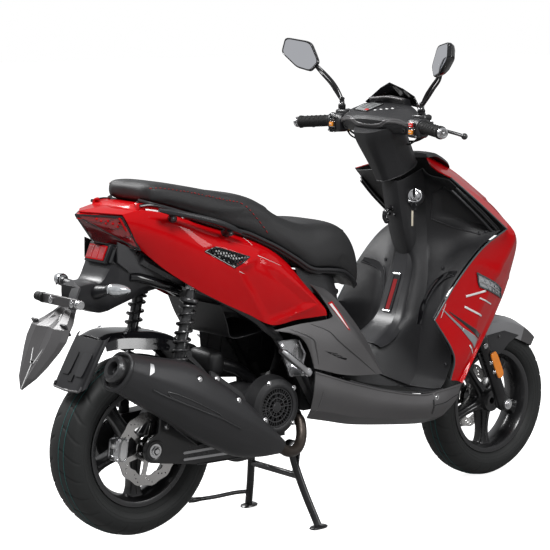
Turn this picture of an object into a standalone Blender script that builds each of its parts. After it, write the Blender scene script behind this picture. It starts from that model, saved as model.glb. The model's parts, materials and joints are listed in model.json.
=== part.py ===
"""Moped scooter standing on its centre stand, as an assembly of separate sub-parts.

The bike frame used below has X forward from the rear axle, Y to the rider's left and
Z up from the ground. One root empty shifts all of it so that the world origin lies
under the middle of the whole machine.
"""
import math

import bmesh
import bpy
from mathutils import Matrix, Vector

# ---- driving dimensions (metres) -------------------------------------------------
REAR_RADIUS = 0.2435
REAR_HALF_WIDTH = 0.065
FRONT_RADIUS = 0.2365
FRONT_HALF_WIDTH = 0.059
RIM_SEAT_RADIUS = 0.1585
RIM_HALF_WIDTH = 0.046
REAR_AXLE = Vector((0.0, 0.0, 0.2945))
FRONT_AXLE = Vector((1.336, 0.0, 0.2368))
TAIL_END_X = -0.347
RAKE = math.radians(25.5)
STEER_POINT = Vector((0.955, 0.0, 0.960))
SWING_PIVOT = Vector((0.500, 0.0, 0.360))
STAND_PIVOT = Vector((0.482, 0.0, 0.232))
SEAT_HINGE = Vector((0.702, 0.0, 0.640))
SHOCK_TOP = Vector((0.118, 0.0, 0.725))
SHOCK_FOOT = Vector((0.040, 0.0, 0.385))
SHOCK_Y = 0.112
FORK_Y = 0.090
STANCHION_RADIUS = 0.0130
SLIDER_BORE = 0.0140
SLIDER_RADIUS = 0.0185
STEM_RADIUS = 0.0130
BAR_RADIUS = 0.0110
SKIN = 0.003
FINE_GAP = 0.0004
LEVER_PIVOT = Vector((0.925, 0.178, 1.108))
MIRROR_BASE = Vector((0.897, 0.168, 1.146))
PEG_PIVOT = Vector((0.462, 0.182, 0.458))
KEY_POINT = Vector((0.974, -0.068, 0.900))

MERGE = 0.00001
CENTRE_X = (TAIL_END_X + FRONT_AXLE.x + FRONT_RADIUS) / 2.0
STEER_UP = Vector((-math.sin(RAKE), 0.0, math.cos(RAKE)))
STEER_AHEAD = Vector((math.cos(RAKE), 0.0, math.sin(RAKE)))
ACROSS = Vector((0.0, 1.0, 0.0))
UP = Vector((0.0, 0.0, 1.0))
AHEAD = Vector((1.0, 0.0, 0.0))
SIDES = (("left", 1.0), ("right", -1.0))

BLACK = ("black_plastic", (0.020, 0.020, 0.022), 0.50, 0.0)
RED = ("red_paint", (0.560, 0.008, 0.012), 0.18, 0.0)
GREY = ("grey_paint", (0.100, 0.098, 0.100), 0.38, 0.4)
STEEL = ("black_steel", (0.025, 0.025, 0.027), 0.35, 0.4)
ALLOY = ("alloy", (0.560, 0.560, 0.570), 0.32, 1.0)
CHROME = ("chrome", (0.800, 0.800, 0.800), 0.10, 1.0)
RUBBER = ("rubber", (0.018, 0.018, 0.018), 0.85, 0.0)
TYRE = ("tyre_rubber", (0.022, 0.022, 0.022), 0.90, 0.0)
VINYL = ("seat_vinyl", (0.020, 0.020, 0.021), 0.60, 0.0)
RED_LENS = ("red_lens", (0.350, 0.005, 0.008), 0.12, 0.0)
CLEAR_LENS = ("clear_lens", (0.700, 0.720, 0.740), 0.08, 0.0)
CHARCOAL = ("charcoal_steel", (0.045, 0.045, 0.048), 0.45, 0.5)
RED_BUTTON = ("red_button", (0.600, 0.020, 0.015), 0.35, 0.0)
AMBER = ("amber_button", (0.800, 0.300, 0.020), 0.35, 0.0)


# ---- scene set-up -----------------------------------------------------------------
def clear_scene():
    for obj in list(bpy.data.objects):
        bpy.data.objects.remove(obj, do_unlink=True)


def new_collection(name):
    collection = bpy.data.collections.new(name)
    bpy.context.scene.collection.children.link(collection)
    return collection


clear_scene()
PARTS = new_collection("moped_scooter")
CUTTERS = new_collection("cutters")
MATERIALS = {}
BODIES = {}


def material(spec):
    name, colour, roughness, metallic = spec
    if name not in MATERIALS:
        mat = bpy.data.materials.new(name)
        mat.use_nodes = True
        shader = mat.node_tree.nodes["Principled BSDF"]
        shader.inputs["Base Color"].default_value = (*colour, 1.0)
        shader.inputs["Roughness"].default_value = roughness
        shader.inputs["Metallic"].default_value = metallic
        MATERIALS[name] = mat
    return MATERIALS[name]


def new_body(name, point, parent=None):
    """An empty on a moving body's joint; every sub-part of that body hangs from it."""
    empty = bpy.data.objects.new(name + "_joint", None)
    PARTS.objects.link(empty)
    if parent is None:
        empty.location = point
    else:
        empty.parent = BODIES[parent][0]
        empty.location = Vector(point) - BODIES[parent][1]
    BODIES[name] = (empty, Vector(point))


def join_body(obj, body, spec):
    PARTS.objects.link(obj)
    obj.data.materials.append(material(spec))
    empty, point = BODIES[body]
    obj.parent = empty
    obj.matrix_parent_inverse = Matrix.Translation(-point)
    return obj


def make_cutter(obj):
    """A shape that only cuts or joins another one."""
    CUTTERS.objects.link(obj)
    empty, point = BODIES["chassis"]
    obj.parent = empty
    obj.matrix_parent_inverse = Matrix.Translation(-point)
    obj.hide_render = True
    obj.display_type = "WIRE"
    return obj


# ---- shape helpers ----------------------------------------------------------------
def from_bmesh(name, bm):
    bmesh.ops.recalc_face_normals(bm, faces=bm.faces)
    mesh = bpy.data.meshes.new(name)
    bm.to_mesh(mesh)
    bm.free()
    mesh.shade_smooth()
    mesh.set_sharp_from_angle(angle=math.radians(35.0))
    return bpy.data.objects.new(name, mesh)


def box(name, centre, size, bevel=0.0, turn=None):
    """A box from a unit cube; turn is a rotation matrix about its centre."""
    bm = bmesh.new()
    bmesh.ops.create_cube(bm, size=1.0)
    frame = Matrix.Translation(Vector(centre))
    if turn is not None:
        frame = frame @ turn.to_4x4()
    bmesh.ops.transform(bm, matrix=frame @ Matrix.Diagonal((*size, 1.0)), verts=bm.verts)
    obj = from_bmesh(name, bm)
    if bevel > 0.0:
        add_bevel(obj, bevel)
    return obj


def rod(name, start, end, radius, end_radius=None, sides=16):
    """A cylinder or cone between two points."""
    start = Vector(start)
    run = Vector(end) - start
    bm = bmesh.new()
    tip = radius if end_radius is None else end_radius
    bmesh.ops.create_cone(bm, cap_ends=True, segments=sides, radius1=radius, radius2=tip,
                          depth=run.length)
    frame = Matrix.Translation(start + run / 2.0) @ run.to_track_quat("Z", "Y").to_matrix().to_4x4()
    bmesh.ops.transform(bm, matrix=frame, verts=bm.verts)
    return from_bmesh(name, bm)


def turned(name, profile, centre, axis=ACROSS, steps=24):
    """A (radius, along) outline swept round an axis; it closes on itself or ends on the axis."""
    mesh = bpy.data.meshes.new(name)
    verts = [(radius, 0.0, along) for radius, along in profile]
    edges = [(i, i + 1) for i in range(len(verts) - 1)]
    if profile[0][0] > 0.0:
        edges.append((len(verts) - 1, 0))
    mesh.from_pydata(verts, edges, [])
    obj = bpy.data.objects.new(name, mesh)
    obj.matrix_basis = (Matrix.Translation(Vector(centre))
                        @ Vector(axis).to_track_quat("Z", "Y").to_matrix().to_4x4())
    screw = obj.modifiers.new("Screw", "SCREW")
    screw.steps = steps
    screw.render_steps = steps
    screw.use_merge_vertices = True
    screw.merge_threshold = MERGE
    screw.use_normal_calculate = True
    screw.use_smooth_shade = True
    return obj


def tube(name, points, radius, sides_level=2):
    """A round rod along a row of points."""
    curve = bpy.data.curves.new(name, "CURVE")
    curve.dimensions = "3D"
    curve.bevel_depth = radius
    curve.bevel_resolution = sides_level
    curve.use_fill_caps = True
    spline = curve.splines.new("POLY")
    spline.points.add(len(points) - 1)
    for node, point in zip(spline.points, points):
        node.co = (*point, 1.0)
    return bpy.data.objects.new(name, curve)


def tube_mesh(name, points, radius, sides_level=2):
    """The same rod as a closed mesh, for cutting and joining."""
    guide = tube(name + "_route", points, radius, sides_level)
    CUTTERS.objects.link(guide)
    bpy.context.view_layer.update()
    depsgraph = bpy.context.evaluated_depsgraph_get()
    mesh = bpy.data.meshes.new_from_object(guide.evaluated_get(depsgraph))
    bpy.data.objects.remove(guide, do_unlink=True)
    bm = bmesh.new()
    bm.from_mesh(mesh)
    bmesh.ops.remove_doubles(bm, verts=bm.verts, dist=MERGE)
    return from_bmesh(name, bm)


def plate_mesh(name, outline, y_low, y_high):
    """An outline in (x, z), given thickness along Y."""
    bm = bmesh.new()
    low = [bm.verts.new((x, y_low, z)) for x, z in outline]
    face = bm.faces.new(low)
    swept = bmesh.ops.extrude_face_region(bm, geom=[face])
    moved = [item for item in swept["geom"] if isinstance(item, bmesh.types.BMVert)]
    bmesh.ops.translate(bm, verts=moved, vec=(0.0, y_high - y_low, 0.0))
    return from_bmesh(name, bm)


def loft(name, loops):
    """A closed skin over a row of loops that have equal point counts."""
    bm = bmesh.new()
    rings = [[bm.verts.new(point) for point in loop] for loop in loops]
    count = len(rings[0])
    for first, second in zip(rings, rings[1:]):
        for i in range(count):
            j = (i + 1) % count
            bm.faces.new((first[i], first[j], second[j], second[i]))
    caps = [bm.faces.new(rings[0]), bm.faces.new(rings[-1])]
    bmesh.ops.triangulate(bm, faces=caps)
    return from_bmesh(name, bm)


def sheet(name, columns, thickness=SKIN, mirrored=True, levels=0):
    """A thin shell over a cage of columns; shorter columns end the surface early."""
    bm = bmesh.new()
    strips = [[bm.verts.new(point) for point in column] for column in columns]
    for left, right in zip(strips, strips[1:]):
        for i in range(min(len(left), len(right)) - 1):
            bm.faces.new((left[i], left[i + 1], right[i + 1], right[i]))
    obj = from_bmesh(name, bm)
    if mirrored:
        mirror = obj.modifiers.new("Mirror", "MIRROR")
        mirror.use_axis = (False, True, False)
        mirror.merge_threshold = 0.0001
        mirror.use_clip = True
    if levels:
        smooth = obj.modifiers.new("Subdivision", "SUBSURF")
        smooth.levels = levels
        smooth.render_levels = levels
    solid = obj.modifiers.new("Solidify", "SOLIDIFY")
    solid.thickness = thickness
    solid.offset = 0.0
    return obj


def add_bevel(obj, width, segments=1):
    bevel = obj.modifiers.new("Bevel", "BEVEL")
    bevel.width = width
    bevel.segments = segments
    bevel.limit_method = "ANGLE"
    bevel.angle_limit = math.radians(40.0)


def combine(obj, others, operation="UNION"):
    for index, other in enumerate(others):
        make_cutter(other)
        step = obj.modifiers.new(operation.title() + str(index), "BOOLEAN")
        step.operation = operation
        step.solver = "EXACT"
        step.object = other
    return obj


def cut(obj, others):
    return combine(obj, others, "DIFFERENCE")


def disc_outline(centre, radius, sides, start=0.0, end=360.0):
    """Points on a circle or an arc in (x, z); angles in degrees from +X towards +Z."""
    whole = abs(end - start) >= 360.0
    count = sides if whole else sides - 1
    points = []
    for i in range(sides):
        angle = math.radians(start + (end - start) * i / count)
        points.append((centre[0] + radius * math.cos(angle), centre[1] + radius * math.sin(angle)))
    return points


def oval(centre, half_a, half_b, axis_a, axis_b, count=12, power=1.0):
    """A loop round centre; power below 1 squares the oval off."""
    loop = []
    for i in range(count):
        angle = 2.0 * math.pi * i / count
        a = math.copysign(abs(math.cos(angle)) ** power, math.cos(angle))
        b = math.copysign(abs(math.sin(angle)) ** power, math.sin(angle))
        loop.append(Vector(centre) + Vector(axis_a) * half_a * a + Vector(axis_b) * half_b * b)
    return loop


def smooth_route(points, steps):
    """Points on a Catmull-Rom curve through a hand-placed route."""
    points = [Vector(point) for point in points]
    padded = [points[0] * 2 - points[1]] + points + [points[-1] * 2 - points[-2]]
    route = []
    for a, b, c, d in zip(padded, padded[1:], padded[2:], padded[3:]):
        for i in range(steps):
            t = i / steps
            route.append(0.5 * ((2 * b) + (c - a) * t + (2 * a - 5 * b + 4 * c - d) * t * t
                                + (3 * b - a - 3 * c + d) * t ** 3))
    route.append(points[-1])
    return route


def flip(points, side):
    """The same points on the other side of the machine when side is -1."""
    return [Vector((p[0], p[1] * side, p[2])) for p in points]


def steer(forward, across, height):
    """A point in the fork's own axes: ahead of the steering axis, across, at world height."""
    along = (height - STEER_POINT.z - STEER_AHEAD.z * forward) / STEER_UP.z
    return STEER_POINT + STEER_AHEAD * forward + ACROSS * across + STEER_UP * along


def fork_line(across, height):
    """A point on a fork leg's centre line, which runs through the front axle."""
    along = (height - FRONT_AXLE.z) / STEER_UP.z
    return FRONT_AXLE + ACROSS * across + STEER_UP * along


# ---- moving bodies ----------------------------------------------------------------
new_body("root", Vector((-CENTRE_X, 0.0, 0.0)))
BODIES["root"] = (BODIES["root"][0], Vector((0.0, 0.0, 0.0)))
new_body("chassis", (0.0, 0.0, 0.0), "root")
new_body("seat", SEAT_HINGE, "chassis")
new_body("key", KEY_POINT, "chassis")
new_body("steering", STEER_POINT, "chassis")
new_body("throttle", (0.866, -0.245, 1.106), "steering")
new_body("fork_lower", FRONT_AXLE, "steering")
new_body("front_wheel", FRONT_AXLE, "fork_lower")
new_body("engine", SWING_PIVOT, "chassis")
new_body("rear_wheel", REAR_AXLE, "engine")
new_body("centre_stand", STAND_PIVOT, "engine")
new_body("shock_upper", SHOCK_TOP, "chassis")
new_body("shock_lower", SHOCK_FOOT, "shock_upper")
for label, sign in SIDES:
    new_body("brake_lever_" + label, (LEVER_PIVOT.x, LEVER_PIVOT.y * sign, LEVER_PIVOT.z), "steering")
    new_body("mirror_" + label, (MIRROR_BASE.x, MIRROR_BASE.y * sign, MIRROR_BASE.z), "steering")
    new_body("footpeg_" + label, (PEG_PIVOT.x, PEG_PIVOT.y * sign, PEG_PIVOT.z), "chassis")
new_body("starter_button", (0.8555, -0.169, 1.096), "steering")
new_body("kill_switch", (0.8555, -0.169, 1.116), "steering")
new_body("indicator_switch", (0.8555, 0.169, 1.102), "steering")


# ---- wheels -----------------------------------------------------------------------
def build_wheel(end, axle, radius, half_width, body, disc_y):
    bead = RIM_SEAT_RADIUS + FINE_GAP
    crown = [(radius, 0.0), (radius - 0.006, 0.55), (radius - 0.022, 0.88), (radius - 0.045, 1.0)]
    inner = [(radius - 0.045, 0.82), (radius - 0.015, 0.40)]
    outer = [(r, w * half_width) for r, w in crown]
    outer += [(bead + 0.010, RIM_HALF_WIDTH - 0.002), (bead, RIM_HALF_WIDTH - 0.008)]
    hollow = [(bead, RIM_HALF_WIDTH - 0.016)] + [(r, w * half_width) for r, w in inner]
    # The outline runs down the outside from +Y to -Y and back up through the hollow.
    tyre_profile = [(r, w) for r, w in reversed(outer[1:])]
    tyre_profile += [(r, -w) for r, w in outer]
    tyre_profile += [(r, -w) for r, w in hollow]
    tyre_profile += [(r, w) for r, w in reversed(hollow)]
    join_body(turned(end + "_tyre", tyre_profile, axle, steps=30), body, TYRE)

    seat = RIM_SEAT_RADIUS
    rim_profile = [(seat + 0.004, RIM_HALF_WIDTH), (seat, RIM_HALF_WIDTH - 0.004),
                   (seat - 0.012, 0.0), (seat, -RIM_HALF_WIDTH + 0.004),
                   (seat + 0.004, -RIM_HALF_WIDTH), (seat - 0.012, -RIM_HALF_WIDTH),
                   (seat - 0.024, 0.0), (seat - 0.012, RIM_HALF_WIDTH)]
    rim = turned(end + "_rim", rim_profile, axle, steps=30)
    hub = turned(end + "_hub", [(0.034, 0.046), (0.034, -0.046), (0.0088, -0.046), (0.0088, 0.046)],
                 axle, steps=20)
    spokes = []
    for i in range(5):
        spoke = loft(end + "_spoke" + str(i), [
            oval((0.0, 0.0, r), a, b, AHEAD, ACROSS, 8, 0.6)
            for r, a, b in ((0.026, 0.019, 0.026), (0.080, 0.014, 0.020), (seat - 0.018, 0.020, 0.022))])
        spoke.matrix_basis = (Matrix.Translation(axle)
                              @ Matrix.Rotation(math.radians(72.0 * i + 36.0), 4, "Y"))
        spokes.append(spoke)
    join_body(combine(rim, [hub] + spokes), body, STEEL)

    inner_edge = disc_y - math.copysign(0.002, disc_y)
    outer_edge = disc_y + math.copysign(0.002, disc_y)
    low, high = sorted((inner_edge, outer_edge))
    wave = []
    for i in range(30):
        angle = 2.0 * math.pi * i / 30
        reach = 0.098 + 0.0030 * (i % 2)
        wave.append((axle.x + reach * math.cos(angle), axle.z + reach * math.sin(angle)))
    disc = plate_mesh(end + "_disc", wave, low, high)
    window = [rod(end + "_disc_bore", (axle.x, low - 0.01, axle.z), (axle.x, high + 0.01, axle.z),
                  0.0104, sides=20)]
    for i in range(6):
        angle = math.radians(60.0 * i + 15.0)
        spot = axle + Vector((math.cos(angle), 0.0, math.sin(angle))) * 0.056
        window.append(rod(end + "_disc_hole" + str(i), (spot.x, low - 0.01, spot.z),
                          (spot.x, high + 0.01, spot.z), 0.013, sides=8))
    join_body(cut(disc, window), body, ALLOY)


build_wheel("rear", REAR_AXLE, REAR_RADIUS, REAR_HALF_WIDTH, "rear_wheel", -0.0720)
build_wheel("front", FRONT_AXLE, FRONT_RADIUS, FRONT_HALF_WIDTH, "front_wheel", 0.0600)


# ---- frame ------------------------------------------------------------------------
def build_frame():
    head = turned("main_frame", [(0.026, 0.075), (0.026, -0.075), (0.0165, -0.075), (0.0165, 0.075)],
                  steer(0.0, 0.0, 0.665), STEER_UP, 20)
    down = tube_mesh("frame_down", smooth_route([steer(-0.037, 0.0, 0.660), (1.066, 0.0, 0.500),
                                                 (1.034, 0.0, 0.400), (0.985, 0.0, 0.312)], 2), 0.018)
    pieces = [down]
    rail_route = [(0.985, 0.000, 0.312), (0.965, 0.060, 0.306), (0.900, 0.105, 0.304),
                  (0.700, 0.118, 0.318), (0.560, 0.120, 0.330), (0.490, 0.120, 0.420),
                  (0.400, 0.119, 0.560), (0.240, 0.114, 0.665), (0.160, 0.090, 0.708),
                  (0.110, 0.080, 0.730), (-0.020, 0.076, 0.800)]
    for label, side in SIDES:
        pieces.append(tube_mesh("frame_rail_" + label, smooth_route(flip(rail_route, side), 2), 0.0125, 1))
        pieces.append(rod("frame_pin_" + label, (SHOCK_TOP.x, 0.078 * side, SHOCK_TOP.z),
                          (SHOCK_TOP.x, 0.124 * side, SHOCK_TOP.z), 0.0065, sides=12))
        bracket = plate_mesh("frame_peg_plate_" + label,
                             [(0.395, 0.545), (0.470, 0.545), (0.500, 0.500), (0.478, 0.440),
                              (0.440, 0.440), (0.425, 0.480)], 0.126 * side, 0.134 * side)
        pieces.append(bracket)
        pieces.append(rod("frame_peg_boss_" + label, (0.430, 0.110 * side, 0.515),
                          (0.430, 0.130 * side, 0.515), 0.012, sides=12))
        pieces.append(rod("frame_peg_arm_" + label, (0.462, 0.130 * side, 0.458),
                          (0.462, 0.166 * side, 0.458), 0.010, sides=12))
        pieces.append(plate_mesh("frame_pivot_plate_" + label,
                                 [(0.488, 0.345), (0.500, 0.335), (0.560, 0.335), (0.540, 0.372),
                                  (0.512, 0.440), (0.486, 0.440)],
                                 0.100 * side, 0.120 * side))
    pieces.append(rod("frame_pivot_shaft", (SWING_PIVOT.x, -0.110, SWING_PIVOT.z),
                      (SWING_PIVOT.x, 0.110, SWING_PIVOT.z), 0.0080, sides=14))
    pieces.append(rod("frame_tail_tie", (0.165, -0.092, 0.706), (0.165, 0.092, 0.706), 0.010, sides=12))
    pieces.append(rod("frame_floor_tie", (0.860, -0.108, 0.305), (0.860, 0.108, 0.305), 0.010, sides=12))
    seat_post = tube_mesh("frame_seat_post", [(0.600, -0.119, 0.326), (0.595, -0.080, 0.440),
                                              (0.680, -0.012, 0.585), (0.680, 0.012, 0.585),
                                              (0.595, 0.080, 0.440), (0.600, 0.119, 0.326)], 0.010, 1)
    pieces.append(seat_post)
    join_body(combine(head, pieces), "chassis", STEEL)


build_frame()


# ---- body panels ------------------------------------------------------------------
def build_side_panels():
    columns = [
        [(-0.158, 0.003, 0.930), (-0.092, 0.096, 0.925), (-0.082, 0.102, 0.906),
         (-0.070, 0.102, 0.884), (-0.055, 0.099, 0.860), (-0.040, 0.094, 0.836)],
        [(-0.070, 0.004, 0.937), (-0.030, 0.106, 0.932), (-0.012, 0.122, 0.905),
         (0.000, 0.128, 0.868), (0.015, 0.122, 0.822), (0.030, 0.112, 0.775)],
        [(0.040, 0.090, 0.918), (0.060, 0.122, 0.911), (0.070, 0.142, 0.885),
         (0.085, 0.152, 0.835), (0.100, 0.146, 0.780), (0.115, 0.132, 0.718)],
        [(0.150, 0.098, 0.884), (0.160, 0.126, 0.873), (0.165, 0.150, 0.850),
         (0.185, 0.166, 0.800), (0.195, 0.160, 0.740), (0.200, 0.144, 0.672)],
        [(0.250, 0.106, 0.852), (0.255, 0.130, 0.841), (0.258, 0.155, 0.818),
         (0.270, 0.175, 0.770), (0.278, 0.168, 0.710), (0.280, 0.150, 0.634)],
        [(0.350, 0.110, 0.815), (0.355, 0.131, 0.805), (0.357, 0.154, 0.782),
         (0.360, 0.174, 0.735), (0.360, 0.170, 0.670), (0.360, 0.152, 0.597)],
        [(0.425, 0.112, 0.770), (0.430, 0.128, 0.758), (0.435, 0.148, 0.735),
         (0.440, 0.166, 0.700), (0.442, 0.166, 0.650), (0.445, 0.152, 0.602)],
        [(0.472, 0.108, 0.722), (0.482, 0.122, 0.708), (0.490, 0.140, 0.690),
         (0.500, 0.155, 0.665), (0.508, 0.158, 0.635), (0.512, 0.150, 0.602)],
        [(0.508, 0.110, 0.683), (0.520, 0.120, 0.668), (0.532, 0.134, 0.652),
         (0.545, 0.145, 0.632), (0.555, 0.150, 0.616), (0.560, 0.149, 0.602)],
    ]
    for label, side in SIDES:
        cage = [flip(column, side) for column in columns]
        join_body(sheet("side_panel_" + label, cage, mirrored=False), "chassis", RED)


def build_under_seat_panel():
    columns = [
        [(0.370, 0.148, 0.580), (0.440, 0.156, 0.563), (0.490, 0.162, 0.545)],
        [(0.460, 0.149, 0.588), (0.485, 0.158, 0.540), (0.500, 0.166, 0.462)],
        [(0.560, 0.149, 0.590), (0.595, 0.162, 0.520), (0.620, 0.170, 0.428)],
        [(0.584, 0.147, 0.596), (0.670, 0.160, 0.520), (0.760, 0.160, 0.412),
         (0.780, 0.095, 0.434), (0.785, 0.000, 0.446)],
        [(0.566, 0.142, 0.628), (0.640, 0.148, 0.575), (0.712, 0.138, 0.520),
         (0.730, 0.075, 0.535), (0.735, 0.000, 0.542)],
        [(0.534, 0.128, 0.676), (0.565, 0.126, 0.660), (0.615, 0.122, 0.640),
         (0.662, 0.075, 0.618), (0.684, 0.000, 0.606)],
        [(0.512, 0.108, 0.700), (0.525, 0.108, 0.698), (0.540, 0.104, 0.694),
         (0.570, 0.060, 0.690), (0.585, 0.000, 0.690)],
    ]
    join_body(sheet("under_seat_panel", columns), "chassis", GREY)


def build_leg_shield():
    columns = [
        [(0.934, 0.000, 0.942), (0.944, 0.000, 0.895), (0.960, 0.000, 0.830), (0.986, 0.000, 0.750),
         (0.998, 0.000, 0.680), (0.944, 0.000, 0.545), (0.870, 0.000, 0.492), (0.830, 0.000, 0.470)],
        [(0.944, 0.042, 0.947), (0.954, 0.040, 0.900), (0.968, 0.038, 0.832), (0.990, 0.036, 0.752),
         (0.992, 0.050, 0.675), (0.950, 0.058, 0.545), (0.880, 0.060, 0.478), (0.838, 0.062, 0.452)],
        [(1.012, 0.058, 0.978), (1.022, 0.056, 0.930), (1.030, 0.056, 0.850), (1.036, 0.056, 0.765),
         (1.020, 0.078, 0.670), (0.992, 0.088, 0.560), (0.975, 0.090, 0.450), (0.960, 0.092, 0.372)],
        [(0.980, 0.120, 0.964), (1.050, 0.130, 0.915), (1.090, 0.135, 0.830), (1.080, 0.132, 0.760),
         (1.032, 0.140, 0.668), (1.004, 0.150, 0.560), (1.000, 0.150, 0.450), (0.980, 0.150, 0.364)],
        [(0.983, 0.197, 0.956), (1.085, 0.216, 0.872), (1.180, 0.216, 0.796), (1.092, 0.216, 0.752),
         (0.998, 0.212, 0.667), (0.918, 0.206, 0.562), (0.998, 0.198, 0.448), (0.995, 0.180, 0.364)],
    ]
    join_body(sheet("leg_shield", columns), "chassis", BLACK)


def build_front_fairing():
    columns = [
        [(0.985, 0.203, 0.962), (1.093, 0.223, 0.877), (1.200, 0.223, 0.799), (1.100, 0.223, 0.751),
         (1.003, 0.219, 0.664), (0.917, 0.213, 0.557), (1.004, 0.206, 0.445), (1.010, 0.188, 0.366)],
        [(0.985, 0.152, 0.976), (1.118, 0.182, 0.899), (1.235, 0.185, 0.814), (1.270, 0.190, 0.762),
         (1.189, 0.200, 0.664), (1.111, 0.200, 0.558), (1.080, 0.196, 0.447), (1.034, 0.186, 0.362)],
        [(0.998, 0.104, 0.992), (1.136, 0.115, 0.928), (1.261, 0.115, 0.845), (1.349, 0.120, 0.748),
         (1.284, 0.145, 0.643), (1.190, 0.165, 0.536), (1.112, 0.180, 0.442), (1.048, 0.184, 0.357)],
        [(1.042, 0.046, 1.004), (1.163, 0.050, 0.945), (1.289, 0.050, 0.864), (1.397, 0.055, 0.741),
         (1.345, 0.090, 0.620), (1.240, 0.130, 0.515), (1.136, 0.165, 0.435), (1.056, 0.180, 0.352)],
        [(1.078, 0.000, 1.010), (1.192, 0.000, 0.954), (1.328, 0.000, 0.866), (1.428, 0.000, 0.739)],
    ]
    join_body(sheet("front_fairing", columns), "chassis", RED)
    lens = sheet("headlight", [
        [(1.414, 0.000, 0.722), (1.396, 0.000, 0.665), (1.376, 0.000, 0.612)],
        [(1.404, 0.034, 0.722), (1.386, 0.042, 0.665), (1.367, 0.048, 0.615)],
        [(1.386, 0.054, 0.716), (1.366, 0.068, 0.668), (1.349, 0.079, 0.622)]], 0.006)
    join_body(lens, "chassis", CLEAR_LENS)


def build_floorboard():
    columns = []
    for x, hump, deck in ((0.625, 0.440, 0.410), (0.720, 0.436, 0.378), (0.800, 0.436, 0.357),
                          (0.870, 0.432, 0.344), (0.940, 0.385, 0.336)):
        columns.append([(x, 0.000, hump), (x, 0.052, hump - 0.006), (x, 0.084, deck + 0.004),
                        (x, 0.130, deck), (x, 0.166, deck)])
    join_body(sheet("floorboard", columns, 0.004), "chassis", BLACK)


def build_side_skirts():
    columns = [
        [(0.500, 0.170, 0.450), (0.494, 0.172, 0.400), (0.492, 0.160, 0.345), (0.494, 0.140, 0.318)],
        [(0.560, 0.176, 0.428), (0.560, 0.180, 0.380), (0.560, 0.168, 0.330), (0.560, 0.144, 0.302)],
        [(0.640, 0.178, 0.400), (0.645, 0.184, 0.355), (0.650, 0.172, 0.305), (0.650, 0.146, 0.280)],
        [(0.760, 0.178, 0.364), (0.765, 0.186, 0.325), (0.770, 0.174, 0.285), (0.770, 0.148, 0.262)],
        [(0.900, 0.180, 0.334), (0.905, 0.188, 0.300), (0.910, 0.176, 0.265), (0.910, 0.148, 0.245)],
        [(1.000, 0.182, 0.338), (1.000, 0.186, 0.300), (0.990, 0.174, 0.262), (0.980, 0.150, 0.246)],
        [(1.060, 0.180, 0.345), (1.045, 0.180, 0.310), (1.030, 0.172, 0.285), (1.015, 0.156, 0.268)],
    ]
    for label, side in SIDES:
        cage = [flip(column, side) for column in columns]
        join_body(sheet("side_skirt_" + label, cage, mirrored=False), "chassis", GREY)


build_side_panels()
build_under_seat_panel()
build_leg_shield()
build_front_fairing()
build_floorboard()
build_side_skirts()


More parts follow.
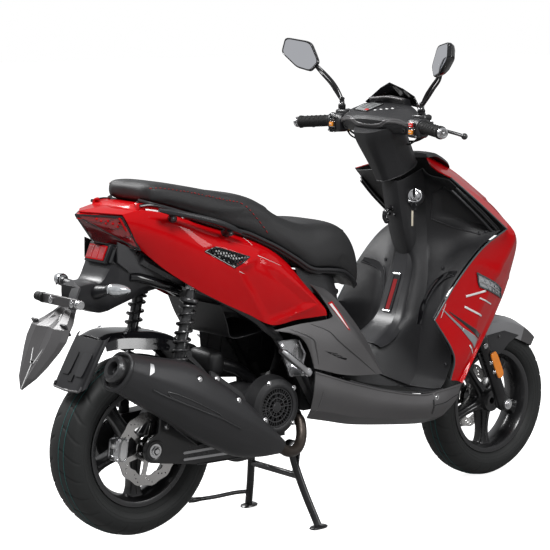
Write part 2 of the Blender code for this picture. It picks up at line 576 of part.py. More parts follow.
# ---- tail -------------------------------------------------------------------------
def build_tail():
    loops = []
    for y, back, top_front, low_front in ((-0.086, 0.0, 0.0, 0.0), (-0.048, 0.034, 0.02, 0.02),
                                          (0.0, 0.068, 0.03, 0.03), (0.048, 0.034, 0.02, 0.02),
                                          (0.086, 0.0, 0.0, 0.0)):
        loops.append([Vector((-0.096 - back, y, 0.916)), Vector((-0.050 - back * 0.9, y, 0.846)),
                      Vector((-0.022 - low_front, y, 0.842)), Vector((-0.062 - top_front, y, 0.912))])
    join_body(loft("tail_light", loops), "chassis", RED_LENS)

    spine = [
        (0.100, 0.056, 0.760, 0.730), (0.020, 0.056, 0.800, 0.716), (-0.040, 0.060, 0.832, 0.690),
        (-0.080, 0.058, 0.836, 0.665), (-0.130, 0.052, 0.740, 0.664), (-0.190, 0.034, 0.745, 0.690),
    ]
    loops = []
    for x, half, top, low in spine:
        loops.append([Vector((x, half, top)), Vector((x, half * 0.9, low)), Vector((x, -half * 0.9, low)),
                      Vector((x, -half, top))])
    tray = loft("undertray", loops)
    wall = 0.004
    room = []
    for x, half, top, low in [(0.120, 0.056, 0.752, 0.733)] + spine[1:4] + [(-0.108, 0.054, 0.782, 0.665)]:
        room.append([Vector((x, half - wall, top - wall)), Vector((x, half * 0.9 - wall, low + wall)),
                     Vector((x, wall - half * 0.9, low + wall)), Vector((x, wall - half, top - wall))])
    cut(tray, [loft("undertray_room", room)])
    extras = []
    for label, side in SIDES:
        extras.append(rod("undertray_stalk_" + label, (-0.140, 0.040 * side, 0.722),
                          (-0.140, 0.112 * side, 0.738), 0.017, 0.010, 10))
        extras.append(loft("undertray_lens_" + label, [
            oval((-0.132, y * side, 0.742), a, b, AHEAD, UP, 10)
            for y, a, b in ((0.104, 0.016, 0.014), (0.122, 0.024, 0.017), (0.150, 0.018, 0.013),
                            (0.163, 0.006, 0.005))]))
    extras.append(box("undertray_reflector", (-0.094, 0.0, 0.815), (0.024, 0.088, 0.046),
                      turn=Matrix.Rotation(math.radians(24.0), 3, "Y")))
    join_body(combine(tray, extras), "chassis", BLACK)

    flap = [(-0.200, 0.034, 0.682), (-0.235, 0.055, 0.655), (-0.262, 0.088, 0.640), (-0.290, 0.084, 0.590),
            (-0.330, 0.040, 0.520), (TAIL_END_X + 0.0024, 0.002, 0.486)]
    normal = Vector((0.80, 0.0, -0.60)) * 0.003
    loops = []
    for x, half, z in flap:
        face = [Vector((x, half, z)), Vector((x, -half, z))]
        loops.append([face[0] + normal, face[1] + normal, face[1] - normal, face[0] - normal])
    shield = loft("plate_flap", loops)
    extras = [box("plate_flap_bar", (-0.222, 0.0, 0.700), (0.008, 0.200, 0.034)),
              box("plate_flap_neck", (-0.218, 0.0, 0.680), (0.014, 0.050, 0.030))]
    join_body(combine(shield, extras), "chassis", BLACK)

    for label, side in SIDES:
        route = smooth_route(flip([(-0.014, 0.150, 0.936), (0.060, 0.166, 0.920), (0.160, 0.172, 0.893),
                                   (0.245, 0.160, 0.858)], side), 2)
        rail = tube_mesh("grab_rail_" + label, route, 0.0115, 1)
        stays = []
        for number, (x, z, reach) in enumerate(((0.040, 0.918, 0.142), (0.205, 0.866, 0.158))):
            stays.append(rod("grab_rail_stay_" + label + str(number), (x, 0.166 * side, z + 0.004),
                             (x, reach * side, z - 0.018), 0.009, sides=10))
        join_body(combine(rail, stays), "chassis", BLACK)

    rim_low, rim_high = 0.100, 0.098
    tub = []
    for x, top, floor, half in ((0.214, 0.842, 0.700, 0.092), (0.240, 0.834, 0.640, rim_high),
                                (0.400, 0.770, 0.612, rim_low), (0.470, 0.722, 0.606, 0.096),
                                (0.500, 0.690, 0.640, 0.080)):
        tub.append([(x, half, top), (x, half * 0.92, floor), (x, 0.0, floor - 0.002)])
    join_body(sheet("storage_bucket", tub), "chassis", BLACK)


build_tail()


# ---- seat -------------------------------------------------------------------------
def seat_sections(lift, drop):
    """(x, half width, top, bottom) along the seat."""
    rows = ((-0.018, 0.070, 0.985, 0.956), (0.005, 0.100, 0.998, 0.948), (0.060, 0.116, 0.994, 0.932),
            (0.150, 0.126, 0.977, 0.902), (0.250, 0.132, 0.956, 0.868), (0.330, 0.136, 0.936, 0.838),
            (0.400, 0.140, 0.904, 0.806), (0.460, 0.142, 0.874, 0.772), (0.520, 0.142, 0.858, 0.738),
            (0.590, 0.138, 0.856, 0.728), (0.650, 0.124, 0.842, 0.716), (0.700, 0.104, 0.800, 0.690),
            (0.735, 0.082, 0.745, 0.664), (0.756, 0.050, 0.690, 0.650))
    return [(x, half, top + lift, low + drop) for x, half, top, low in rows]


def build_seat():
    loops = []
    for x, half, top, low in seat_sections(0.0, 0.0):
        mid = (top + low) / 2.0
        tall = (top - low) / 2.0
        loops.append([Vector((x, half * a, mid + tall * b)) for a, b in (
            (0.92, -1.0), (1.0, -0.25), (0.95, 0.45), (0.70, 0.90), (0.30, 1.0), (-0.30, 1.0),
            (-0.70, 0.90), (-0.95, 0.45), (-1.0, -0.25), (-0.92, -1.0))])
    join_body(loft("seat_cushion", loops), "seat", VINYL)

    loops = []
    for x, half, top, low in seat_sections(0.0, -0.0045)[1:-1]:
        inset = half - 0.012
        loops.append([Vector((x, inset, low)), Vector((x, inset, low - 0.006)),
                      Vector((x, -inset, low - 0.006)), Vector((x, -inset, low))])
    pan = loft("seat_base", loops)
    tongue = loft("seat_base_tongue", [
        [Vector((x, 0.018, z)), Vector((x, 0.018, z - 0.008)), Vector((x, -0.018, z - 0.008)),
         Vector((x, -0.018, z))] for x, z in ((0.684, 0.692), (0.702, 0.648))])
    knuckle = rod("seat_base_knuckle", (SEAT_HINGE.x, -0.018, SEAT_HINGE.z),
                  (SEAT_HINGE.x, 0.018, SEAT_HINGE.z), 0.008, sides=12)
    join_body(combine(pan, [tongue, knuckle]), "seat", BLACK)


build_seat()


# ---- steering ---------------------------------------------------------------------
CROWN_HEIGHT = 0.545
CROWN_THICKNESS = 0.022


def build_fork():
    stem = rod("fork_crown", steer(0.0, 0.0, CROWN_HEIGHT), steer(0.0, 0.0, 1.064), STEM_RADIUS, sides=16)
    crown_mid = (steer(0.0, 0.0, CROWN_HEIGHT) + fork_line(0.0, CROWN_HEIGHT + 0.014)) / 2.0
    turn = Matrix.Rotation(-RAKE, 3, "Y")
    extras = [box("fork_crown_yoke", crown_mid, (0.052, 0.236, CROWN_THICKNESS), turn=turn)]
    for label, side in SIDES:
        extras.append(rod("fork_stanchion_" + label, fork_line(FORK_Y * side, 0.570),
                          fork_line(FORK_Y * side, 0.330), STANCHION_RADIUS, sides=14))
    join_body(combine(stem, extras), "steering", STEEL)

    for label, side in SIDES:
        foot, top = 0.222, 0.455
        length = (top - foot) / STEER_UP.z
        bottom = 0.050 / STEER_UP.z
        profile = [(0.0, 0.0), (SLIDER_RADIUS, 0.0), (SLIDER_RADIUS, length), (SLIDER_BORE, length),
                   (SLIDER_BORE, bottom), (0.0, bottom)]
        leg = turned("fork_leg_" + label, list(reversed(profile)), fork_line(FORK_Y * side, foot),
                     STEER_UP, 16)
        extras = []
        if side > 0:
            extras.append(rod("front_axle", FRONT_AXLE + ACROSS * 0.100,
                              FRONT_AXLE - ACROSS * (FORK_Y - SLIDER_RADIUS - FINE_GAP), 0.0080, sides=14))
        else:
            extras.append(rod("front_axle_nut", FRONT_AXLE - ACROSS * 0.100,
                              FRONT_AXLE - ACROSS * 0.116, 0.012, sides=6))
        join_body(combine(leg, extras), "fork_lower", STEEL)

    arch = []
    for degrees in range(48, 139, 18):
        angle = math.radians(degrees)
        out = Vector((math.cos(angle), 0.0, math.sin(angle)))
        reach = FRONT_RADIUS + 0.016
        arch.append([FRONT_AXLE + out * (reach + 0.010) + ACROSS * 0.0,
                     FRONT_AXLE + out * (reach + 0.006) + ACROSS * 0.034,
                     FRONT_AXLE + out * (reach - 0.002) + ACROSS * 0.060,
                     FRONT_AXLE + out * (reach - 0.036) + ACROSS * 0.0665])
    tip = FRONT_AXLE + Vector((0.176, 0.0, 0.196))
    arch.insert(0, [tip, tip + Vector((-0.004, 0.020, -0.004)), tip + Vector((-0.016, 0.040, -0.016)),
                    tip + Vector((-0.036, 0.058, -0.040))])
    join_body(sheet("front_fender", arch), "fork_lower", GREY)

    pads = caliper_block("front_caliper", FRONT_AXLE, 152.0, 0.0600, 1.0, 0.0115)
    join_body(pads, "fork_lower", ALLOY)


def caliper_block(name, axle, degrees, disc_y, side, inner_depth):
    """A caliper that straddles a disc's rim at the given angle."""
    angle = math.radians(degrees)
    spot = axle + Vector((math.cos(angle), 0.0, math.sin(angle))) * 0.100
    turn = Matrix.Rotation(math.radians(90.0) - angle, 3, "Y")
    outer_depth = 0.022
    low = disc_y - inner_depth * side
    high = disc_y + outer_depth * side
    body = box(name, (spot.x, (low + high) / 2.0, spot.z), (0.062, abs(high - low), 0.046), turn=turn)
    slot_centre = axle + Vector((math.cos(angle), 0.0, math.sin(angle))) * 0.080
    slot = box(name + "_slot", (slot_centre.x, disc_y, slot_centre.z), (0.090, 0.0060, 0.050), turn=turn)
    return cut(body, [slot])


def build_bars():
    half = [(0.900, 0.000, 1.100), (0.902, 0.080, 1.106), (0.890, 0.170, 1.112), (0.846, 0.302, 1.102)]
    route = flip(reversed(half), -1.0) + flip(half[1:], 1.0)
    bar = tube_mesh("handlebar", route, BAR_RADIUS, 2)
    clamp = box("handlebar_clamp", steer(-0.004, 0.0, 1.0835), (0.050, 0.060, 0.036),
                turn=Matrix.Rotation(-RAKE, 3, "Y"))
    join_body(combine(bar, [clamp]), "steering", STEEL)

    for label, side in SIDES:
        inner = Vector(half[2]) * 0.80 + Vector(half[3]) * 0.20
        outer = Vector(half[3])
        inner.y *= side
        outer.y *= side
        run = (outer - inner).normalized()
        length = (outer - inner).length
        bore = BAR_RADIUS + 0.0006
        ridge = [(0.0190, -0.004), (0.0190, 0.004), (0.0158, 0.005), (0.0158, length * 0.50),
                 (0.0166, length * 0.55), (0.0166, length), (bore, length), (bore, -0.004)]
        grip = turned("grip_left" if side > 0 else "throttle_grip", list(reversed(ridge)),
                      inner, run, 16)
        join_body(grip, "steering" if side > 0 else "throttle", RUBBER)
        centre = Vector(half[2])
        centre.y *= side
        housing = box("switch_box_" + label, centre + Vector((-0.004, -0.0010 * side, -0.006)),
                      (0.050, 0.032, 0.052))
        add_bevel(housing, 0.009, 2)
        bar_path = tube_mesh("switch_bore_" + label, flip(half, side), BAR_RADIUS + 0.0006)
        cut(housing, [bar_path])
        arm = rod("lever_perch_" + label, centre + Vector((0.016, 0.002 * side, 0.0)),
                  centre + Vector((0.032, 0.004 * side, -0.001)), 0.009, sides=10)
        combine(housing, [arm])
        join_body(housing, "steering", BLACK)

        start = Vector((LEVER_PIVOT.x + 0.008, LEVER_PIVOT.y * side, LEVER_PIVOT.z - 0.002))
        lever_route = smooth_route(flip([(start.x, LEVER_PIVOT.y, start.z), (0.936, 0.212, 1.102),
                                         (0.928, 0.270, 1.096), (0.918, 0.322, 1.090)], side), 3)
        lever = tube_mesh("brake_lever_" + label, lever_route, 0.0055)
        ball = bmesh.new()
        bmesh.ops.create_uvsphere(ball, u_segments=10, v_segments=6, radius=0.0095)
        bmesh.ops.translate(ball, verts=ball.verts, vec=lever_route[-1])
        join_body(combine(lever, [from_bmesh("lever_ball_" + label, ball)]), "brake_lever_" + label, STEEL)


def build_bar_cover():
    neck = []
    for height, back, front, half in ((0.964, -0.052, 0.078, 0.046), (1.020, -0.058, 0.074, 0.056),
                                      (1.075, -0.064, 0.066, 0.068), (1.110, -0.060, 0.058, 0.078)):
        centre = steer((back + front) / 2.0, 0.0, height + (back + front) / 2.0 * STEER_AHEAD.z)
        neck.append(oval(centre, (front - back) / 2.0, half, STEER_AHEAD, ACROSS, 12, 0.7))
    cover = loft("handlebar_cover", neck)
    wing = []
    for y, back, front, low, top in ((-0.150, 0.872, 0.915, 1.092, 1.138), (-0.100, 0.858, 0.950, 1.084, 1.156),
                                     (-0.050, 0.846, 0.985, 1.086, 1.164), (0.0, 0.842, 0.996, 1.090, 1.166),
                                     (0.050, 0.846, 0.985, 1.086, 1.164), (0.100, 0.858, 0.950, 1.084, 1.156),
                                     (0.150, 0.872, 0.915, 1.092, 1.138)):
        wing.append(oval(((back + front) / 2.0, y, (low + top) / 2.0), (front - back) / 2.0,
                         (top - low) / 2.0, AHEAD, UP, 10, 0.7))
    combine(cover, [loft("bar_cover_wing", wing)])
    hollow = []
    for height, back, front, half in ((0.950, -0.046, 0.072, 0.040), (1.020, -0.052, 0.068, 0.050),
                                      (1.075, -0.058, 0.060, 0.062), (1.112, -0.054, 0.052, 0.070)):
        centre = steer((back + front) / 2.0, 0.0, height + (back + front) / 2.0 * STEER_AHEAD.z)
        hollow.append(oval(centre, (front - back) / 2.0, half, STEER_AHEAD, ACROSS, 12, 0.7))
    bar_half = [(0.900, 0.000, 1.100), (0.902, 0.080, 1.106), (0.890, 0.170, 1.112), (0.846, 0.302, 1.102)]
    bar_route = flip(reversed(bar_half), -1.0) + flip(bar_half[1:], 1.0)
    clamp_room = box("bar_cover_clamp_room", steer(-0.004, 0.0, 1.0835), (0.056, 0.068, 0.044),
                     turn=Matrix.Rotation(-RAKE, 3, "Y"))
    cut(cover, [loft("bar_cover_hollow", hollow), tube_mesh("bar_cover_bore", bar_route, BAR_RADIUS + 0.002),
                clamp_room])
    join_body(cover, "steering", BLACK)

    screen = [
        [(0.990, 0.000, 1.186), (0.962, 0.000, 1.214), (0.930, 0.000, 1.228)],
        [(0.984, 0.040, 1.184), (0.962, 0.045, 1.202), (0.940, 0.046, 1.210)],
        [(0.974, 0.072, 1.174), (0.960, 0.080, 1.186), (0.948, 0.086, 1.190)],
        [(0.955, 0.098, 1.166), (0.945, 0.106, 1.168), (0.938, 0.112, 1.168)]]
    join_body(sheet("dash_visor", screen), "steering", BLACK)


def build_mirrors():
    for label, side in SIDES:
        base = (MIRROR_BASE.x, MIRROR_BASE.y * side, MIRROR_BASE.z)
        post = rod("mirror_" + label, base, (base[0] + 0.002, base[1] + 0.002 * side, base[2] + 0.024),
                   0.009, sides=12)
        stalk = tube_mesh("mirror_stalk_" + label, smooth_route(flip([
            (0.899, 0.170, 1.166), (0.896, 0.202, 1.205), (0.890, 0.248, 1.245), (0.874, 0.278, 1.276)],
            side), 3), 0.0060)
        head_centre = Vector((0.850, 0.300 * side, 1.304))
        facing = Vector((-0.890, -0.430 * side, 0.120)).normalized()
        along = UP.cross(facing).normalized() * -side
        rise = facing.cross(along).normalized() * side
        along = (along + rise * 0.30).normalized()
        rise = facing.cross(along).normalized() * side
        loops = []
        for depth, scale in ((0.006, 1.0), (-0.004, 1.02), (-0.020, 0.72)):
            loops.append(oval(head_centre + facing * depth, 0.068 * scale, 0.044 * scale,
                              along, rise, 14, 0.75))
        join_body(combine(post, [stalk, loft("mirror_head_" + label, loops)]), "mirror_" + label, BLACK)


def build_switches():
    join_body(box("kill_switch", (0.8555, -0.1690, 1.1160), (0.0060, 0.0140, 0.0120)), "kill_switch",
              RED_BUTTON)
    join_body(box("starter_button", (0.8555, -0.1690, 1.0960), (0.0060, 0.0120, 0.0120)), "starter_button",
              AMBER)
    join_body(box("indicator_switch", (0.8555, 0.1690, 1.1020), (0.0060, 0.0140, 0.0120)),
              "indicator_switch", AMBER)


build_fork()
build_bars()
build_bar_cover()
build_mirrors()
build_switches()


def build_key():
    outward = Vector((-0.72, -0.62, 0.32)).normalized()
    barrel = rod("ignition_key", KEY_POINT + outward * 0.004, KEY_POINT + outward * 0.016, 0.0165, sides=16)
    blade = rod("ignition_key_blade", KEY_POINT + outward * 0.012, KEY_POINT + outward * 0.030, 0.0045,
                sides=8)
    bow = loft("ignition_key_bow", [oval(KEY_POINT + outward * d, 0.010, 0.0035, UP,
                                         outward.cross(UP).normalized(), 10)
                                    for d in (0.028, 0.046)])
    join_body(combine(barrel, [blade, bow]), "key", CHROME)


build_key()


# ---- engine unit ------------------------------------------------------------------
def build_engine():
    crank = [
        [Vector((x, y, z)) for y, z in ((-0.075, low), (0.060, low), (0.060, top), (-0.075, top))]
        for x, low, top in ((0.272, 0.225, 0.340), (0.330, 0.205, 0.400), (0.400, 0.215, 0.410),
                            (0.430, 0.250, 0.390))]
    case = loft("engine_case", crank)
    head = box("engine_head", (0.462, -0.010, 0.300), (0.080, 0.094, 0.084))
    lugs = []
    for side in (-0.060, 0.060):
        lugs.append(plate_mesh("engine_lug" + str(side), [(0.400, 0.340), (0.440, 0.300), (0.478, 0.212),
                                                          (0.500, 0.218), (0.504, 0.250), (0.490, 0.320),
                                                          (0.520, 0.352), (0.516, 0.378), (0.490, 0.384),
                                                          (0.410, 0.396)], side - 0.010, side + 0.010))
        lugs.append(box("engine_web" + str(side), (0.420, side * 0.85, 0.350), (0.050, 0.032, 0.050)))
    arm_boss = rod("engine_arm_boss", (0.300, -0.060, 0.262), (0.300, -0.0935, 0.262), 0.026, sides=16)
    manifold = tube_mesh("engine_manifold", smooth_route([(0.440, 0.000, 0.330), (0.420, 0.0, 0.420),
                                                          (0.360, 0.0, 0.470), (0.290, 0.01, 0.480)], 3),
                         0.018)
    carburettor = box("engine_carburettor", (0.275, 0.035, 0.480), (0.056, 0.116, 0.075))
    airbox = box("engine_airbox", (0.235, 0.112, 0.470), (0.130, 0.050, 0.110))
    port = rod("engine_exhaust_port", (0.482, -0.040, 0.314), (0.490, -0.0700, 0.314), 0.016, sides=12)
    combine(case, [head] + lugs + [arm_boss, manifold, carburettor, airbox, port])
    pivot_bore = rod("engine_pivot_bore", (SWING_PIVOT.x, -0.130, SWING_PIVOT.z),
                     (SWING_PIVOT.x, 0.130, SWING_PIVOT.z), 0.0088, sides=16)
    stand_bore = rod("engine_stand_bore", (STAND_PIVOT.x, -0.130, STAND_PIVOT.z),
                     (STAND_PIVOT.x, 0.130, STAND_PIVOT.z), 0.0100, sides=16)
    stand_room = rod("engine_stand_room", (STAND_PIVOT.x, -0.0495, STAND_PIVOT.z),
                     (STAND_PIVOT.x, 0.0495, STAND_PIVOT.z), 0.0160, sides=16)
    cut(case, [pivot_bore, stand_bore, stand_room])
    join_body(case, "engine", STEEL)

    outline = disc_outline((0.0, 0.2945), 0.064, 12, 100.0, 262.0)
    outline += disc_outline((0.375, 0.300), 0.078, 12, -80.0, 82.0)
    cvt = plate_mesh("cvt_case", outline, 0.0735, 0.145)
    wall = 0.0055
    inner = disc_outline((0.0, 0.2945), 0.064 - wall, 12, 100.0, 262.0)
    inner += disc_outline((0.375, 0.300), 0.078 - wall, 12, -80.0, 82.0)
    room = plate_mesh("cvt_room", inner, 0.060, 0.145 - wall)
    eye = rod("cvt_shock_pin", (SHOCK_FOOT.x, 0.090, SHOCK_FOOT.z), (SHOCK_FOOT.x, 0.128, SHOCK_FOOT.z),
              0.0062, sides=12)
    lug = box("cvt_shock_lug", (SHOCK_FOOT.x, 0.0960, 0.372), (0.036, 0.010, 0.050))
    cut(cvt, [room])
    combine(cvt, [lug, eye])
    join_body(cvt, "engine", STEEL)

    shroud = turned("fan_shroud", [(0.0560, 0.046), (0.079, 0.040), (0.0865, 0.0), (0.020, 0.0),
                                   (0.020, 0.012), (0.052, 0.036)],
                    (0.390, -0.094, 0.362), -ACROSS, 24)
    bars = [box("fan_bar" + str(i), (0.390, -0.094 - 0.026, 0.362), (0.116, 0.016, 0.007),
                turn=Matrix.Rotation(math.radians(30.0 * i), 3, "Y")) for i in range(3)]
    combine(shroud, bars)
    cut(shroud, [rod("fan_clearance", (0.300, -0.050, 0.262), (0.300, -0.112, 0.262), 0.030, sides=14)])
    join_body(shroud, "engine", BLACK)


def build_exhaust():
    start = Vector((-0.160, -0.190, 0.534))
    run = Vector((0.892, 0.0, -0.453)).normalized()
    rise = Vector((0.453, 0.0, 0.892)).normalized()
    wall = 0.0025
    rows = ((-0.015, 0.048, 0.048, -0.190, 0.046), (0.060, 0.070, 0.056, -0.194, 0.050),
            (0.170, 0.096, 0.066, -0.198, 0.053), (0.260, 0.088, 0.078, -0.198, 0.053),
            (0.380, 0.072, 0.080, -0.192, 0.050), (0.450, 0.056, 0.076, -0.186, 0.046),
            (0.530, 0.036, 0.052, -0.178, 0.034), (0.600, 0.020, 0.022, -0.168, 0.020))
    loops = []
    chamber = []
    for t, up, down, y, wide in rows:
        centre = start + run * t + rise * (up - down) / 2.0
        centre.y = y
        loops.append(oval(centre, (up + down) / 2.0, wide, rise, ACROSS, 14, 0.85))
        chamber.append(oval(centre, (up + down) / 2.0 - wall, wide - wall, rise, ACROSS, 14, 0.85))
    chamber[0] = [point + run * 0.020 for point in chamber[0]]
    muffler = loft("exhaust", loops)
    outlet = rod("exhaust_outlet", start - run * 0.040, start + run * 0.050, 0.033, sides=16)
    header = tube_mesh("exhaust_header", smooth_route([
        (0.365, -0.168, 0.268), (0.410, -0.160, 0.240), (0.456, -0.146, 0.240), (0.488, -0.126, 0.268),
        (0.500, -0.104, 0.306), (0.496, -0.0800, 0.314)], 3), 0.015)
    hanger = plate_mesh("exhaust_hanger", [(0.150, 0.500), (0.150, 0.420), (0.270, 0.300), (0.292, 0.240),
                                           (0.318, 0.240), (0.320, 0.290), (0.262, 0.420)],
                        -0.160, -0.134)
    boss = rod("exhaust_hanger_boss", (0.306, -0.1360, 0.262), (0.306, -0.1085, 0.262), 0.012, sides=12)
    combine(muffler, [header, hanger, boss])
    cut(muffler, [outlet, loft("exhaust_chamber", chamber[:-1])])
    join_body(muffler, "engine", CHARCOAL)


def build_swing_arm():
    outline = disc_outline((0.0, 0.2945), 0.034, 8, 110.0, 250.0)
    outline += [(0.140, 0.236), (0.300, 0.232), (0.322, 0.250), (0.322, 0.276), (0.300, 0.292),
                (0.140, 0.288), (0.066, 0.345), (0.058, 0.398), (0.022, 0.398), (0.012, 0.340)]
    arm = plate_mesh("swing_arm", outline, -0.1040, -0.0940)
    pin = rod("swing_arm_shock_pin", (SHOCK_FOOT.x, -0.100, SHOCK_FOOT.z),
              (SHOCK_FOOT.x, -0.128, SHOCK_FOOT.z), 0.0062, sides=12)
    combine(arm, [pin])
    cut(arm, [rod("swing_arm_bore", (0.0, -0.120, 0.2945), (0.0, -0.080, 0.2945), 0.0125, sides=16)])
    join_body(arm, "engine", STEEL)

    axle = rod("rear_axle", (0.0, -0.112, 0.2945), (0.0, 0.086, 0.2945), 0.0096, sides=14)
    return axle


def build_hugger():
    columns = []
    for x, z, half, fold in ((0.150, 0.552, 0.070, 0.040), (0.104, 0.582, 0.072, 0.044),
                             (0.000, 0.606, 0.074, 0.046), (-0.090, 0.612, 0.074, 0.040),
                             (-0.136, 0.598, 0.070, 0.026)):
        columns.append([(x, 0.0, z), (x, half * 0.62, z - 0.004), (x, half * 0.92, z - fold * 0.35),
                        (x, half, z - fold)])
    for x, z in ((-0.170, 0.536), (-0.206, 0.471)):
        columns.append([(x, 0.0, z), (x, 0.044, z), (x + 0.004, 0.064, z + 0.002),
                        (x + 0.020, 0.068, z + 0.010)])
    join_body(sheet("hugger", columns), "engine", BLACK)


build_engine()
build_exhaust()
REAR_SHAFT = build_swing_arm()
build_hugger()
join_body(caliper_block("rear_caliper", REAR_AXLE, 172.0, -0.0720, -1.0, 0.0120), "engine", ALLOY)
combine(bpy.data.objects["rear_rim"], [REAR_SHAFT])


# ---- rear shocks ------------------------------------------------------------------
def build_shocks():
    down = (SHOCK_FOOT - SHOCK_TOP).normalized()
    span = (SHOCK_FOOT - SHOCK_TOP).length
    body_length = 0.205
    for label, side in SIDES:
        shift = ACROSS * SHOCK_Y * side
        top = SHOCK_TOP + shift
        foot = SHOCK_FOOT + shift
        eye = turned("shock_body_" + label, [(0.0140, -0.007), (0.0140, 0.007), (0.0070, 0.007),
                                             (0.0070, -0.007)][::-1], top, ACROSS, 16)
        neck = rod("shock_neck_" + label, top + down * 0.011, top + down * 0.040, 0.010, sides=12)
        cup = rod("shock_cup_" + label, top + down * 0.036, top + down * 0.044, 0.0255, sides=18)
        cylinder = turned("shock_cylinder_" + label,
                          [(0.0150, 0.040), (0.0150, body_length), (0.0072, body_length), (0.0072, 0.040)][::-1],
                          top, down, 16)
        join_body(combine(eye, [neck, cup, cylinder]), "shock_upper", STEEL)

        low_eye = turned("shock_rod_" + label, [(0.0140, -0.007), (0.0140, 0.007), (0.0075, 0.007),
                                                (0.0075, -0.007)][::-1], foot, ACROSS, 16)
        shaft = rod("shock_shaft_" + label, foot - down * 0.010, foot - down * (span - 0.102), 0.0062,
                    sides=12)
        plate = rod("shock_plate_" + label, foot - down * 0.028, foot - down * 0.036, 0.0255, sides=18)
        join_body(combine(low_eye, [shaft, plate]), "shock_lower", CHROME)

        turns = 7
        points_per_turn = 8
        spring_top = top + down * 0.0485
        spring_span = span - 0.0485 - 0.0405
        side_axis = ACROSS.cross(down).normalized()
        coil = []
        for i in range(turns * points_per_turn + 1):
            angle = 2.0 * math.pi * i / points_per_turn
            share = i / (turns * points_per_turn)
            coil.append(spring_top + down * (spring_span * share)
                        + (ACROSS * math.cos(angle) + side_axis * math.sin(angle)) * 0.0210)
        join_body(tube("spring_" + label, coil, 0.0034, 2), "shock_upper", STEEL)


build_shocks()


# ---- stand and pegs ---------------------------------------------------------------
def build_stand():
    foot_x = 0.526
    shaft = rod("centre_stand", (STAND_PIVOT.x, -0.095, STAND_PIVOT.z), (STAND_PIVOT.x, 0.095, STAND_PIVOT.z),
                0.0090, sides=14)
    extras = [rod("stand_sleeve", (STAND_PIVOT.x, -0.048, STAND_PIVOT.z),
                  (STAND_PIVOT.x, 0.048, STAND_PIVOT.z), 0.0140, sides=14)]
    for label, side in SIDES:
        leg = smooth_route(flip([(STAND_PIVOT.x, 0.088, STAND_PIVOT.z), (0.490, 0.096, 0.180),
                                 (0.506, 0.120, 0.100), (foot_x, 0.154, 0.006)], side), 2)
        extras.append(tube_mesh("stand_leg_" + label, leg, 0.0105, 1))
        extras.append(box("stand_pad_" + label, (foot_x, 0.154 * side, 0.004), (0.050, 0.034, 0.008)))
    extras.append(rod("stand_tie", (0.497, -0.106, 0.145), (0.497, 0.106, 0.145), 0.007, sides=10))
    tang = smooth_route([(0.512, 0.128, 0.060), (0.470, 0.152, 0.058), (0.400, 0.166, 0.056),
                         (0.318, 0.168, 0.046)], 2)
    extras.append(tube_mesh("stand_tang", tang, 0.0060, 1))
    join_body(combine(shaft, extras), "centre_stand", STEEL)


def build_pegs():
    for label, side in SIDES:
        run = Vector((-0.80, 0.0, 0.60))
        pivot = Vector((PEG_PIVOT.x, PEG_PIVOT.y * side, PEG_PIVOT.z))
        knuckle = rod("footpeg_" + label, pivot - Vector((0.60, 0.0, 0.80)) * 0.014,
                      pivot + Vector((0.60, 0.0, 0.80)) * 0.014, 0.010, sides=12)
        arm = loft("footpeg_arm_" + label, [
            oval(pivot + run * t, a, b, Vector((0.60, 0.0, 0.80)), ACROSS, 10, 0.7)
            for t, a, b in ((0.006, 0.010, 0.008), (0.030, 0.012, 0.009), (0.110, 0.012, 0.009),
                            (0.120, 0.007, 0.006))])
        join_body(combine(knuckle, [arm]), "footpeg_" + label, ALLOY)


build_stand()
build_pegs()
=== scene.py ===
"""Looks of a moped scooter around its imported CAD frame.

Every shape is built in the bike frame (X forward from the rear axle, Y left, Z up) and
shifted as a whole by SHIFT, so that it lies on the CAD model.
"""
import json
import math

import bmesh
import bpy
from mathutils import Matrix, Vector
from mathutils.bvhtree import BVHTree

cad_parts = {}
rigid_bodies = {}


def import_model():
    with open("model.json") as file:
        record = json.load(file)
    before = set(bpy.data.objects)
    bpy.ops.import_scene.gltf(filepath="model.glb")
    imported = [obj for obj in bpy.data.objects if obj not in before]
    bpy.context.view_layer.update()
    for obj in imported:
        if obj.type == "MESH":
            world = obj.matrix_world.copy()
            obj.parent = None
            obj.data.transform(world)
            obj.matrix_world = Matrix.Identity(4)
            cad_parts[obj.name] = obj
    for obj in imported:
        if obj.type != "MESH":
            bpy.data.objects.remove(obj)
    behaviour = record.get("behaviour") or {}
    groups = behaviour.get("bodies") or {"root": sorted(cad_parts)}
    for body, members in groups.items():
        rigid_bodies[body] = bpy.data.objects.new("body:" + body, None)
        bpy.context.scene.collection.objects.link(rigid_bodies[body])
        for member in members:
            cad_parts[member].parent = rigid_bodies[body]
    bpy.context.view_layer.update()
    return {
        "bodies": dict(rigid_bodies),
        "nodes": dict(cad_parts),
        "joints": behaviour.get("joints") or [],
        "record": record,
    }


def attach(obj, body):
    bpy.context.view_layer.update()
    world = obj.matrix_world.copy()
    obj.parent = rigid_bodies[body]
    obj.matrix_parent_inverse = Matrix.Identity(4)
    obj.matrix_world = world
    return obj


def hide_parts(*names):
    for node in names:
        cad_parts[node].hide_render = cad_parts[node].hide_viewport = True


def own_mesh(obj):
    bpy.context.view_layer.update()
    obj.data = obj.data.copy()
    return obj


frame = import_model()

